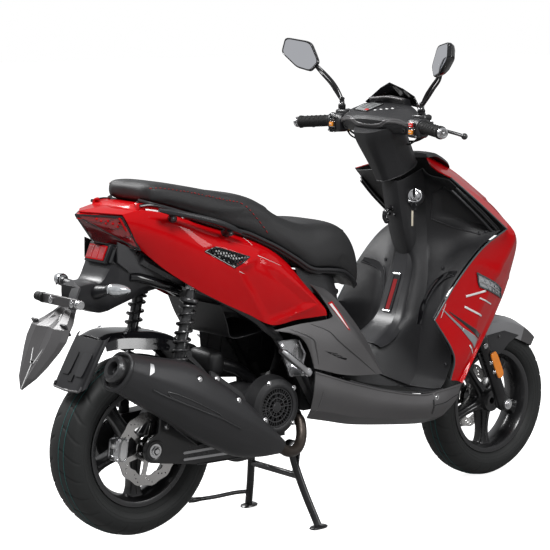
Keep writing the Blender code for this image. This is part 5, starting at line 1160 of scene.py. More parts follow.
def build_tail_light():
    """A pointed lamp of four faces: two side lenses over two deep red lower faces."""
    lamp = Shape()
    for _, side in SIDES:
        top = Vector((-0.0915, 0.0960 * side, 0.9190))
        low = Vector((-0.0360, 0.0965 * side, 0.8290))
        steps = 14

        def facet(a, b, c, bulge, mat):
            normal = (b - a).cross(c - a).normalized()
            if normal.x > 0.0:
                normal = -normal
            rows = []
            for i in range(steps + 1):
                u = i / steps
                left, right = a.lerp(b, u), a.lerp(c, u)
                row = []
                for k in range(steps + 1):
                    v = k / steps
                    swell = bulge * (math.sin(math.pi * u) * math.sin(math.pi * v)) ** 0.6 if 0 < u < 1 else 0.0
                    row.append(left.lerp(right, v) + normal * (swell if 0 < v < 1 else 0.0))
                rows.append(row)
            lamp.grid(rows[1:], mat=mat)

        facet(TAIL_APEX, top, low, 0.0035, lambda i, j: 0 if (i + j) % 5 else 1)
        facet(TAIL_APEX, low, TAIL_LOW, 0.0020, 1)
        for a, b, size in ((TAIL_APEX, low, 0.0022), (TAIL_APEX, top, 0.0022), (top, low, 0.0020),
                           (TAIL_LOW, low, 0.0020)):
            lamp.tube([a.lerp(b, t / 6.0) for t in range(7)], size, 8, mat=2)
        for k in range(7):
            spot = TAIL_APEX.lerp(top.lerp(low, 0.22 + 0.08 * (k % 3)), 0.42 + 0.075 * k)
            lamp.ball(spot + Vector((-0.0030, 0.0030 * side, 0.0)), 0.0026, mat=3)
        rim = [TAIL_APEX.lerp(top, 0.93), top.lerp(low, 0.06).lerp(TAIL_APEX, 0.06),
               top.lerp(low, 0.40).lerp(TAIL_APEX, 0.06)]
        lamp.tube([p + Vector((-0.003, 0.003 * side, -0.003)) for p in catmull(rim, 5)], 0.0022, 8, mat=3)
    lamp.tube([TAIL_APEX, TAIL_LOW], 0.0024, 8, mat=2)
    lamp.done("tail_lamp", "chassis", [LENS, LENS_DARK, GLOSS_BLACK, RED], "tail_light", solid=0.0014)


def build_tail_deck():
    deck = Shape()
    loops = []
    for x, half, top in ((-0.1660, 0.004, 0.9240), (-0.1200, 0.052, 0.9260), (-0.0920, 0.088, 0.9245),
                         (-0.0600, 0.0965, 0.9300), (-0.0350, 0.0975, 0.9440), (0.0000, 0.0985, 0.9450),
                         (0.0600, 0.1040, 0.9280), (0.1200, 0.1060, 0.9060)):
        loops.append([(x, half, top - 0.012), (x, half, top - 0.004), (x, half * 0.94, top), (x, half * 0.4, top + 0.001),
                      (x, -half * 0.4, top + 0.001), (x, -half * 0.94, top), (x, -half, top - 0.004),
                      (x, -half, top - 0.012)])
    deck.loft(loops, smooth=6)
    deck.done("tail_deck", "chassis", RED, angle=40.0)
    trim = Shape()
    for _, side in SIDES:
        strip = catmull([(-0.040, 0.0975 * side, 0.9440), (0.000, 0.1000 * side, 0.9440),
                         (0.060, 0.1080 * side, 0.9270), (0.120, 0.1120 * side, 0.9080)], 8)
        trim.tube(strip, 0.0042, 10, mat=0)
        # A flat white strip on the side of the deck, under the black strip: a painted highlight along the deck's red
        # shoulder.
        patch = [Vector((x, 0.1015 * side, z)) for x, z in ((-0.022, 0.9365), (0.040, 0.9255), (0.040, 0.9185),
                                                            (-0.022, 0.9295))]
        trim.grid([[patch[0], patch[1]], [patch[3], patch[2]]], mat=1)
        trim.bolt((0.082, 0.1165 * side, 0.9095), (0.0, side, 0.2), 0.0050, mat=0, socket=2)
        trim.tube(catmull([(-0.052, 0.092 * side, 0.914), (-0.047, 0.0975 * side, 0.928),
                           (-0.043, 0.0965 * side, 0.944), (-0.041, 0.084 * side, 0.948)], 6), 0.0042, 10, mat=3)
    trim.done("tail_deck_trim", "chassis", [GLOSS_BLACK, WHITE, STEEL, RED], solid=0.0006)


def build_undertray():
    tray = Shape()
    loops = []
    for x, half, top, low in ((0.155, 0.060, 0.722, 0.700), (0.100, 0.066, 0.760, 0.716),
                              (0.020, 0.068, 0.800, 0.708), (-0.040, 0.070, 0.832, 0.690),
                              (-0.082, 0.066, 0.838, 0.676), (-0.104, 0.060, 0.790, 0.668),
                              (-0.130, 0.052, 0.752, 0.666), (-0.165, 0.042, 0.748, 0.678),
                              (-0.196, 0.032, 0.742, 0.694)):
        tall = top - low
        loops.append([(x, half * a, low + tall * b) for a, b in (
            (1.0, 0.96), (1.03, 0.60), (0.96, 0.22), (0.72, 0.02), (0.0, 0.0), (-0.72, 0.02), (-0.96, 0.22),
            (-1.03, 0.60), (-1.0, 0.96), (-0.80, 1.0), (0.80, 1.0))])
    tray.loft(loops, smooth=6, cuts=(4, 5))
    for _, side in SIDES:
        stalk = catmull([(-0.138, 0.030 * side, 0.720), (-0.140, 0.066 * side, 0.728),
                         (-0.140, 0.098 * side, 0.735)], 6)
        tray.tube(stalk, [0.021 - 0.0009 * i for i in range(len(stalk))], 20)
        tray.rod((-0.140, 0.096 * side, 0.7345), (-0.140, 0.106 * side, 0.7365), 0.0125, chamfer=0.0015)
    box_turn = turn_y(24.0)
    tray.box((-0.0935, 0.0, 0.8150), (0.0255, 0.092, 0.052), turn=box_turn, bevel=0.003)
    tray.box((-0.0890, -0.055, 0.8150), (0.018, 0.020, 0.044), turn=box_turn, bevel=0.002, mat=1)
    tray.done("tail_tray", "chassis", [SATIN, GLOSS_BLACK], "undertray", bevel=0.0008, angle=30.0)
    wall = Shape()
    for _, side in SIDES:
        outline = [(-0.093, 0.853), (-0.094, 0.800), (-0.056, 0.770), (-0.022, 0.767), (0.124, 0.724),
                   (0.150, 0.722), (0.075, 0.762), (-0.010, 0.815)]
        wall.plate([(u, v) for u, v in outline], (0.0, 0.0735 * side, 0.0), AHEAD, UP, -0.0022, 0.0022,
                   bevel=0.0010)
        curve = catmull([(-0.052, 0.064 * side, 0.757), (-0.020, 0.070 * side, 0.752),
                         (0.040, 0.071 * side, 0.732), (0.120, 0.066 * side, 0.704)], 8)
        wall.tube(curve, [0.004] + [0.012] * (len(curve) - 2) + [0.004], 18, mat=1)
        wall.bolt((-0.030, 0.0760 * side, 0.818), (0.0, side, 0.0), 0.0042, mat=1, socket=1)
    wall.done("tail_walls", "chassis", [SATIN, GLOSS_BLACK])
    lamps = Shape()
    for _, side in SIDES:
        loops = []
        for y, a, b, x in ((0.106, 0.0125, 0.0120, -0.140), (0.114, 0.0170, 0.0150, -0.138),
                           (0.128, 0.0190, 0.0155, -0.134), (0.144, 0.0170, 0.0130, -0.128),
                           (0.157, 0.0100, 0.0075, -0.122), (0.1625, 0.0030, 0.0025, -0.118)):
            loops.append(oval((x, y * side, 0.7385), a, b, AHEAD, UP, 24, 0.85))
        lamps.loft(loops, smooth=3)
        for y, size in ((0.1085, 0.0150), (0.1105, 0.0158)):
            lamps.tube(oval((-0.139, y * side, 0.7383), size, size * 0.93, AHEAD, UP, 24), 0.0016, 6, mat=1)
        lamps.tube(catmull([(-0.156, 0.114 * side, 0.7300), (-0.140, 0.140 * side, 0.7240),
                            (-0.122, 0.160 * side, 0.7340)], 6), 0.0022, 8, mat=1)
        lamps.ball((-0.141, 0.126 * side, 0.7420), 0.0062, mat=2)
        for k in range(4):
            lamps.tube([(-0.1545 + 0.004 * k, (0.116 + 0.008 * k) * side, 0.7290),
                        (-0.1555 + 0.004 * k, (0.117 + 0.008 * k) * side, 0.7480)], 0.0011, 6, mat=0)
    lamps.done("rear_indicator_lamps", "chassis", [CLEAR, GLOSS_BLACK, ORANGE])
    plate = Shape()
    normal = turn_y(24.0) @ Vector((-1.0, 0.0, 0.0))
    centre = Vector((-0.0935, 0.0, 0.8150)) + normal * 0.0128
    plate.box(centre + normal * 0.0015, (0.0035, 0.078, 0.040), turn=turn_y(24.0), bevel=0.0010)
    for y in (-0.026, 0.0, 0.026):
        plate.box(centre + normal * 0.0034 + ACROSS * y, (0.0012, 0.0225, 0.0335), turn=turn_y(24.0),
                  bevel=0.0005, mat=1)
    plate.done("rear_reflector", "chassis", [RED, REFLECTOR])


def build_flap():
    """The long pointed flap with its raised folds, light inlay line and the plate bar."""
    flap = Shape()
    rows = ((-0.196, 0.030, 0.692), (-0.216, 0.044, 0.674), (-0.240, 0.068, 0.654), (-0.262, 0.086, 0.640),
            (-0.276, 0.088, 0.612), (-0.290, 0.078, 0.586), (-0.312, 0.056, 0.548), (-0.330, 0.036, 0.518),
            (-0.3435, 0.003, 0.488))
    shares = ((-1.0, 0.013), (-0.86, 0.002), (-0.46, -0.006), (-0.10, 0.003), (0.0, 0.005), (0.10, 0.003),
              (0.46, -0.006), (0.86, 0.002), (1.0, 0.013))
    grid = [[Vector((x + ahead * min(1.0, half / 0.05), half * share, z)) for share, ahead in shares]
            for x, half, z in rows]
    flap.grid(grid)
    flap.done("flap_leaf", "chassis", GUNMETAL, "plate_flap", solid=0.0040, bevel=0.0012,
              angle=14.0)
    trim = Shape()
    for _, side in SIDES:
        trim.tube(catmull([(-0.2290, 0.016 * side, 0.672), (-0.2560, 0.034 * side, 0.640),
                           (-0.2840, 0.026 * side, 0.600), (-0.3110, 0.006 * side, 0.552)], 7, (1,)),
                  0.0015, 8, mat=1)
        trim.box((-0.2505, 0.066 * side, 0.640), (0.006, 0.026, 0.034), turn=turn_y(-28.0), bevel=0.002, mat=0)
    trim.tube([(-0.3120, 0.0, 0.551), (-0.3440, 0.0, 0.4895)], 0.0015, 8, mat=1)
    trim.box((-0.3045, 0.0, 0.556), (0.008, 0.017, 0.010), turn=turn_y(-28.0), bevel=0.002, mat=2)
    trim.loft([[(-0.196, -0.050, 0.741), (-0.186, -0.012, 0.751), (-0.180, -0.012, 0.749), (-0.190, -0.050, 0.739)],
               [(-0.218, -0.062, 0.712), (-0.207, -0.020, 0.722), (-0.201, -0.020, 0.720), (-0.212, -0.062, 0.710)],
               [(-0.232, -0.068, 0.684), (-0.222, -0.030, 0.694), (-0.216, -0.030, 0.692),
                (-0.226, -0.068, 0.682)]], mat=0)
    trim.box((-0.2250, 0.0, 0.7050), (0.0085, 0.172, 0.026), bevel=0.003, mat=3)
    trim.box((-0.2210, 0.0, 0.7050), (0.0120, 0.120, 0.018), bevel=0.003, mat=3)
    for y in (-0.066, 0.030):
        trim.lathe([(0.0100, 0.0), (0.0100, 0.0030), (0.0062, 0.0036), (0.0062, 0.0)], (-0.2292, y, 0.7050),
                   (-1.0, 0.0, 0.0), 24, mat=4)
        trim.bolt((-0.2300, y, 0.7050), (-1.0, 0.0, 0.0), 0.0055, mat=4, height=0.0055)
    trim.rod((-0.2250, 0.080, 0.7055), (-0.2250, 0.1040, 0.7065), 0.0125, 0.0115, chamfer=0.002, mat=2)
    trim.rod((-0.2250, 0.068, 0.7050), (-0.2250, 0.076, 0.7053), 0.0138, 0.0138, chamfer=0.001, mat=2)
    for y in (-0.085, -0.094):
        trim.rod((-0.2250, y, 0.7050), (-0.2250, y - 0.006, 0.7050), 0.0120, chamfer=0.001, mat=4)
    trim.done("plate_bar", "chassis", [CHARCOAL, WHITE, RUBBER, GUNMETAL, BRIGHT],
              bevel=0.0006, angle=30.0)


def build_grab_rails():
    for label, side in SIDES:
        rail = Shape()
        route = catmull(flip([(-0.014, 0.150, 0.936), (0.060, 0.166, 0.920), (0.160, 0.172, 0.893),
                              (0.245, 0.160, 0.858)], side), 8)
        loops = []
        for i, point in enumerate(route):
            run = (route[min(i + 1, len(route) - 1)] - route[max(i - 1, 0)]).normalized()
            out = Vector((run.y, -run.x, 0.0)).normalized() * (-side if run.x * side < 0 else side)
            high = run.cross(out).normalized()
            grow = min(1.0, 0.55 + 0.15 * min(i, len(route) - 1 - i))
            loops.append(oval(point, 0.0125 * grow, 0.0078 * grow, out, high, 24, 0.6))
        rail.loft(loops)
        for share, foot_x in ((0.18, 0.040), (0.84, 0.205)):
            seat_point = route[int(share * (len(route) - 1))]
            foot = Vector((foot_x + 0.012, 0.118 * side, seat_point.z - 0.026))
            rail.tube(catmull([seat_point - UP * 0.004, seat_point.lerp(foot, 0.45) - UP * 0.004, foot], 5),
                      [0.0095] * 6 + [0.0120] * 5, 16)
            rail.bolt(seat_point - UP * 0.016 + ACROSS * 0.004 * side, (0.0, side, -0.4), 0.0052, mat=1, socket=2)
        ribs = route[3:-3:2]
        for point in ribs:
            rail.tube([point + ACROSS * 0.0105 * side + UP * 0.0050, point + ACROSS * 0.0128 * side,
                       point + ACROSS * 0.0105 * side - UP * 0.0050], 0.0008, 6, mat=0)
        rail.done("grab_bar_" + label, "chassis", [SATIN, STEEL, GLOSS_BLACK],
                  "grab_rail_" + label, angle=40.0)


build_tail_light()
build_tail_deck()
build_undertray()
build_flap()
build_grab_rails()


# ---- seat -------------------------------------------------------------------------
SEAT_ROWS = ((-0.016, 0.066, 0.984, 0.957), (0.005, 0.099, 0.997, 0.949), (0.060, 0.115, 0.993, 0.932),
             (0.150, 0.125, 0.976, 0.902), (0.250, 0.131, 0.955, 0.868), (0.300, 0.134, 0.948, 0.852),
             (0.345, 0.137, 0.930, 0.832), (0.400, 0.140, 0.894, 0.806), (0.460, 0.142, 0.870, 0.772),
             (0.520, 0.142, 0.858, 0.738), (0.590, 0.138, 0.855, 0.728), (0.650, 0.123, 0.840, 0.716),
             (0.700, 0.103, 0.799, 0.690), (0.735, 0.080, 0.744, 0.665), (0.754, 0.048, 0.690, 0.652))
SEAT_RING = ((0.94, -0.98), (1.0, -0.55), (1.0, 0.00), (0.975, 0.45), (0.885, 0.78), (0.70, 0.93), (0.36, 1.0),
             (0.0, 1.005))


def seat_point(x, share, height):
    """A point on the seat's plain form at station x."""
    line = catmull([(row[0], row[1], row[2]) for row in SEAT_ROWS], 6)
    low = catmull([(row[0], row[3], 0.0) for row in SEAT_ROWS], 6)
    best = min(range(len(line)), key=lambda i: abs(line[i].x - x))
    half, top, bottom = line[best].y, line[best].z, low[best].y
    return Vector((x, half * share, (top + bottom) / 2.0 + (top - bottom) / 2.0 * height))


def build_seat():
    cushion = Shape()
    loops = []
    for x, half, top, low in SEAT_ROWS:
        mid, tall = (top + low) / 2.0, (top - low) / 2.0
        right = [Vector((x, -half * a, mid + tall * b)) for a, b in SEAT_RING]
        left = [Vector((x, half * a, mid + tall * b)) for a, b in SEAT_RING[-2::-1]]
        loops.append(right + left)
    lines = [catmull(line, 7) for line in zip(*loops)]
    rings = [catmull(list(ring), 3) for ring in zip(*lines)]
    cushion.grid([[*ring, Vector((ring[0].x, 0.0, ring[0].z))] for ring in rings], closed=True, caps=True)
    obj = cushion.done("seat_cushion_skin", "seat", VINYL, angle=80.0)
    plain = obj.data.copy()
    puff_up(obj)
    keep_near(obj, plain, 0.0035)
    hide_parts("seat_cushion")
    tree = tree_of(obj)
    build_stitches(tree)
    base = Shape()
    for grow, drop, mat in ((0.0, 0.0, 0), (-0.008, -0.007, 1)):
        edge = []
        for x, half, top, low in SEAT_ROWS[:-1]:
            edge.append(Vector((x, -(half * 0.955 + grow), low - 0.003 + drop)))
        for _, side in SIDES:
            base.tube(catmull(flip(edge, -side), 6), 0.0042, 10, mat=mat)
    rows = []
    for x, half, top, low in SEAT_ROWS[1:-1]:
        inset = half - 0.014
        rows.append([Vector((x, inset * k / 4.0, low - 0.0075 - 0.002 * (k % 2))) for k in range(-4, 5)])
    base.skin(rows, 5, 4, mat=1)
    base.rod((0.702, -0.030, 0.640), (0.702, 0.030, 0.640), 0.0080, chamfer=0.001, mat=2)
    base.plate([(0.684, 0.692), (0.700, 0.694), (0.712, 0.640), (0.696, 0.632)], (0.0, 0.0, 0.0), AHEAD, UP,
               -0.016, 0.016, mat=2, bevel=0.002)
    base.done("seat_pan", "seat", [SATIN, BLACK, STEEL], "seat_base", solid=0.0012)


def puff_up(obj):
    """Fills the cushion: a voxel skin under slight pressure, held by its cover."""
    bpy.context.view_layer.objects.active = obj
    remesh = obj.modifiers.new("Cells", "REMESH")
    remesh.mode = "VOXEL"
    remesh.voxel_size = 0.0055
    apply_modifier(obj, remesh)
    cloth = obj.modifiers.new("Filling", "CLOTH")
    settings = cloth.settings
    settings.quality = 5
    settings.mass = 0.3
    settings.tension_stiffness = 60.0
    settings.compression_stiffness = 60.0
    settings.shear_stiffness = 30.0
    settings.bending_stiffness = 4.0
    settings.use_pressure = True
    settings.uniform_pressure_force = 3.0
    settings.effector_weights.gravity = 0.0
    cloth.collision_settings.use_collision = False
    cloth.point_cache.frame_start = 1
    cloth.point_cache.frame_end = 16
    scene = bpy.context.scene
    for number in range(1, 17):
        scene.frame_set(number)
    apply_modifier(obj, cloth)
    scene.frame_set(1)


def apply_modifier(obj, modifier):
    depsgraph = bpy.context.evaluated_depsgraph_get()
    mesh = bpy.data.meshes.new_from_object(obj.evaluated_get(depsgraph), depsgraph=depsgraph)
    obj.modifiers.remove(modifier)
    obj.data = mesh


def keep_near(obj, plain, reach):
    """Caps how far the filling has moved the skin, then smooths it once."""
    bm = bmesh.new()
    bm.from_mesh(plain)
    tree = BVHTree.FromBMesh(bm)
    bm.free()
    for vert in obj.data.vertices:
        spot = tree.find_nearest(vert.co)[0]
        away = vert.co - spot
        if away.length > reach:
            vert.co = spot + away.normalized() * reach
    obj.data.shade_smooth()
    smooth = obj.modifiers.new("Smooth", "SUBSURF")
    smooth.levels = 1
    smooth.render_levels = 1


def build_stitches(tree):
    """Two seams along the upper side edges and one across the step, with raised piping."""
    seam = Shape()
    for _, side in SIDES:
        route = []
        for i in range(64):
            t = i / 63.0
            x = 0.000 + 0.36 * t
            share = 0.94 - 0.03 * math.sin(math.pi * t)
            height = 0.66 if x < 0.27 else 0.66 - 1.20 * (x - 0.27) / 0.09
            target = seat_point(x, share * side * 1.3, height)
            middle = Vector((x, 0.0, target.z - 0.01))
            route.append(on_tree(tree, target, (middle - target).normalized(), 0.0004))
        seam.tube([p - ACROSS * 0.0006 * side for p in route], 0.0010, 6, mat=1)
        for a, b in zip(route[0::2], route[1::2]):
            lift = ACROSS * 0.0007 * side + UP * 0.0006
            seam.tube([a + lift, a.lerp(b, 0.5) + lift * 1.3, b.lerp(a, 0.25) + lift], 0.0009, 6, mat=0)
    across = []
    for i in range(49):
        y = -0.128 + 0.256 * i / 48.0
        start = Vector((0.372 - 0.030 * (1.0 - (y / 0.128) ** 2), y, 1.05))
        across.append(on_tree(tree, start, -UP, 0.0003))
    seam.tube(across, 0.0012, 8, mat=1)
    nose = []
    for i in range(37):
        y = -0.112 + 0.224 * i / 36.0
        start = Vector((0.655 + 0.030 * (1.0 - (y / 0.112) ** 2), y, 1.0))
        nose.append(on_tree(tree, start, -UP, 0.0003))
    seam.tube(nose, 0.0011, 8, mat=1)
    seam.done("seat_stitching", "seat", [THREAD, VINYL])


build_seat()


# ---- handlebar, dash and controls -------------------------------------------------
def rounded(points, share=0.22, steps=4):
    """A closed outline whose corners are eased with short curves."""
    points = [Vector(point) for point in points]
    line = []
    for i, corner in enumerate(points):
        before = corner.lerp(points[i - 1], share)
        after = corner.lerp(points[(i + 1) % len(points)], share)
        for k in range(steps + 1):
            t = k / steps
            line.append(before * (1 - t) ** 2 + corner * 2 * t * (1 - t) + after * t * t)
    return line


def build_bar_cover():
    neck = Shape()
    outline = ((-1.0, 0.50), (-1.0, -0.10), (-0.86, -0.46), (-0.30, -0.96), (0.45, -1.0), (0.90, -0.62), (1.0, 0.0),
               (0.90, 0.62), (0.45, 1.0), (-0.30, 0.96), (-0.86, 0.46 + 0.12))
    loops = []
    for height, back, front, half in ((0.964, -0.053, 0.079, 0.047), (1.000, -0.056, 0.077, 0.052),
                                      (1.040, -0.061, 0.072, 0.060), (1.075, -0.065, 0.067, 0.069),
                                      (1.096, -0.064, 0.062, 0.078), (1.112, -0.060, 0.058, 0.082)):
        centre = steer((back + front) / 2.0, 0.0, height + (back + front) / 2.0 * STEER_AHEAD.z)
        reach = (front - back) / 2.0
        loops.append(rounded([centre + STEER_AHEAD * reach * a + ACROSS * half * b for a, b in outline], 0.20, 3))
    lines = [catmull(line, 5) for line in zip(*loops)]
    neck.grid(list(zip(*lines)), closed=True, caps=True)
    neck.tube([p + UP * 0.0005 for p in loops[0]] + [loops[0][0]], 0.0020, 8)
    neck.done("bar_cover_neck", "steering", BLACK, "handlebar_cover", angle=22.0, bevel=0.0008)
    wing = Shape()
    loops = []
    for y, back, front, low, top in ((-0.152, 0.874, 0.916, 1.096, 1.134), (-0.128, 0.866, 0.934, 1.088, 1.146),
                                     (-0.092, 0.856, 0.958, 1.083, 1.156), (-0.046, 0.846, 0.986, 1.084, 1.162),
                                     (0.0, 0.842, 0.997, 1.086, 1.164), (0.046, 0.846, 0.986, 1.084, 1.162),
                                     (0.092, 0.856, 0.958, 1.083, 1.156), (0.128, 0.866, 0.934, 1.088, 1.146),
                                     (0.152, 0.874, 0.916, 1.096, 1.134)):
        middle, tall = (low + top) / 2.0, (top - low) / 2.0
        loops.append([(back + (front - back) * a, y, middle + tall * b) for a, b in (
            (0.00, 0.02), (0.05, -0.45), (0.22, -0.92), (0.50, -1.0), (0.85, -0.80), (1.0, -0.15), (0.98, 0.45),
            (0.84, 1.04), (0.64, 1.16), (0.34, 0.72), (0.06, 0.26))])
    lines = [catmull(line, 6) for line in zip(*loops)]
    rings = []
    for ring in zip(*lines):
        ring = list(ring)
        rings.append(catmull([*ring, ring[0]], 4, (0, 10))[:-1])
    wing.grid(rings, closed=True, caps=True)
    piece = wing.done("bar_cover_wing", "steering", BLACK, angle=34.0)
    tree = tree_of(piece)
    band = Shape()
    route = catmull([(0.80, y, z) for y, z in ((0.140, 1.1165), (0.106, 1.1265), (0.073, 1.1245), (0.046, 1.1120),
                                               (0.000, 1.1080), (-0.046, 1.1120), (-0.073, 1.1245),
                                               (-0.106, 1.1265), (-0.140, 1.1165))], 6)
    for thick, drop, mat in ((0.0046, 0.0, 0), (0.0046, 0.0055, 0), (0.0022, 0.0105, 1)):
        band.tube([on_tree(tree, p - UP * drop, AHEAD, -0.0018) for p in route], thick, 10, mat=mat)
    for y in (0.122, -0.122):
        spot = on_tree(tree, Vector((0.80, y, 1.0975)), AHEAD, 0.0)
        band.lathe([(0.0072, 0.0016), (0.0080, 0.0), (0.0080, -0.004), (0.0052, -0.004), (0.0052, 0.0010)], spot,
                   (-1.0, 0.0, -0.3), 24, mat=2)
        band.rod(spot + AHEAD * 0.004, spot - AHEAD * 0.0002, 0.0052, sides=20, mat=1)
    band.done("bar_cover_band", "steering", [GUNMETAL, GLOSS_BLACK, BLACK])
    return tree


def build_dash(tree):
    dash = Shape()
    corners = [Vector(p) for p in ((0.8942, 0.1106, 1.25), (0.9353, 0.0889, 1.25),
                                   (0.9198, 0.0137, 1.25), (0.8747, 0.0363, 1.25))]
    decal(dash, tree, corners, -UP, 0.0014, mat=0, steps=(12, 12))
    rim = []
    for a, b in zip(corners, corners[1:] + corners[:1]):
        rim += [on_tree(tree, a.lerp(b, t / 6.0), -UP, 0.0016) for t in range(6)]
    dash.tube(rim + rim[:1], 0.0015, 8, mat=1)
    small = [corners[0].lerp(corners[3], t).lerp(corners[1].lerp(corners[2], t), u)
             for t, u in ((0.68, 0.10), (0.68, 0.26), (0.92, 0.26), (0.92, 0.10))]
    decal(dash, tree, small, -UP, 0.0022, mat=2, steps=(4, 4))
    for k in range(5):
        u = 0.30 + 0.12 * k
        a = corners[0].lerp(corners[3], 0.16).lerp(corners[1].lerp(corners[2], 0.16), u)
        b = corners[0].lerp(corners[3], 0.80).lerp(corners[1].lerp(corners[2], 0.80), u)
        dash.tube([on_tree(tree, a.lerp(b, t / 6.0), -UP, 0.0020) for t in range(7)], 0.0006, 6, mat=1)
    for k in range(4):
        spot = Vector((0.882 + 0.006 * k, 0.014 - 0.0180 * k, 1.25))
        decal(dash, tree, [spot, spot + Vector((0.0055, 0.0015, 0.0)), spot + Vector((0.0040, -0.0105, 0.0)),
                           spot + Vector((-0.0012, -0.0105, 0.0))], -UP, 0.0012, mat=3, steps=(3, 3))
    dash.done("dash_display", "steering", [DISPLAY, GLOSS_BLACK, RED_SWITCH, WHITE])
    visor = Shape()
    columns = []
    for _, side in SIDES:
        half = [
            [(0.955, 0.100, 1.150), (0.948, 0.108, 1.162), (0.939, 0.112, 1.168)],
            [(0.972, 0.074, 1.158), (0.962, 0.080, 1.176), (0.948, 0.087, 1.190)],
            [(0.982, 0.040, 1.160), (0.966, 0.045, 1.186), (0.940, 0.047, 1.211)],
        ]
        part = [flip(column, side) for column in half]
        columns = columns + [[(0.988, 0.0, 1.162), (0.968, 0.0, 1.194), (0.930, 0.0, 1.228)]] + part[::-1] \
            if columns else part
    visor.skin(columns, 7, 7, cuts_u=(1, 2, 3, 4, 5))
    visor.done("fly_screen", "steering", GLOSS_BLACK, "dash_visor", solid=0.0030, bevel=0.0008,
               angle=20.0)
    hood = Shape()
    loops = []
    for y in (-0.066, -0.050, -0.020, 0.0, 0.030, 0.062, 0.080):
        edge = 0.006 * abs(y) / 0.066
        loops.append([(0.946 - edge, y, 1.150), (0.935 - edge, y, 1.176 - edge), (0.930 - edge, y, 1.187 - edge),
                      (0.936 - edge, y, 1.191 - edge), (0.958 - edge, y, 1.186 - edge), (0.962 - edge, y, 1.150)])
    hood.loft(loops, smooth=4, mat=lambda i, j: 1 if j == 2 else 0)
    hood.tube([(0.9285 - 0.006 * abs(y) / 0.066, y, 1.1865 - 0.006 * abs(y) / 0.066)
               for y in (-0.064, -0.040, -0.016, 0.010, 0.040, 0.076)], 0.0036, 10, mat=1)
    hood.done("dash_hood", "steering", [SATIN, GUNMETAL], bevel=0.0008, angle=30.0)


def grip_frame(side):
    inner = Vector((0.890, 0.170 * side, 1.112)) * 0.80 + Vector((0.846, 0.302 * side, 1.102)) * 0.20
    outer = Vector((0.846, 0.302 * side, 1.102))
    return inner, outer, (outer - inner).normalized()


def build_grips():
    for label, side in SIDES:
        inner, outer, run = grip_frame(side)
        length = (outer - inner).length
        body = "throttle" if side < 0 else "steering"
        node = "throttle_grip" if side < 0 else "grip_left"
        grip = Shape()
        profile = [(0.0112, 0.0), (0.0185, 0.0), (0.0195, 0.0020), (0.0195, 0.0050), (0.0172, 0.0075)]
        count = 15
        for k in range(count):
            along = 0.010 + (length - 0.024) * k / count
            pitch = (length - 0.024) / count
            profile += [(0.0165, along), (0.0172, along + pitch * 0.20), (0.0172, along + pitch * 0.62),
                        (0.0161, along + pitch * 0.76)]
        profile += [(0.0178, length - 0.012), (0.0190, length - 0.009), (0.0190, length - 0.004),
                    (0.0165, length - 0.001), (0.0112, length)]
        grip.lathe(profile, inner, run, 40)
        side_axis = run.cross(UP).normalized()
        for k in range(6):
            spot = inner + run * (0.024 + 0.015 * k)
            for angle in (0.6, 1.5, 2.4, 3.3):
                out = (side_axis * math.cos(angle) + UP * math.sin(angle)).normalized()
                grip.box(spot + out * 0.0172, (0.0030, 0.0085, 0.0022), turn=facing(out, 12.0), bevel=0.0006)
        grip.done(node + "_skin", body, RUBBER, node, angle=38.0)
        end = Shape()
        end.lathe([(0.0002, 0.0155), (0.0030, 0.0158), (0.0036, 0.0140), (0.0060, 0.0140), (0.0120, 0.0135),
                   (0.0152, 0.0100), (0.0160, 0.0050), (0.0135, 0.0030), (0.0135, 0.0004), (0.0002, 0.0004)],
                  outer + run * 0.0002, run, 40, closed=False)
        end.lathe([(0.0085, 0.0138), (0.0092, 0.0146), (0.0102, 0.0146), (0.0108, 0.0136)], outer, run, 40,
                  closed=False)
        end.done("bar_end_" + label, "steering", BRIGHT)


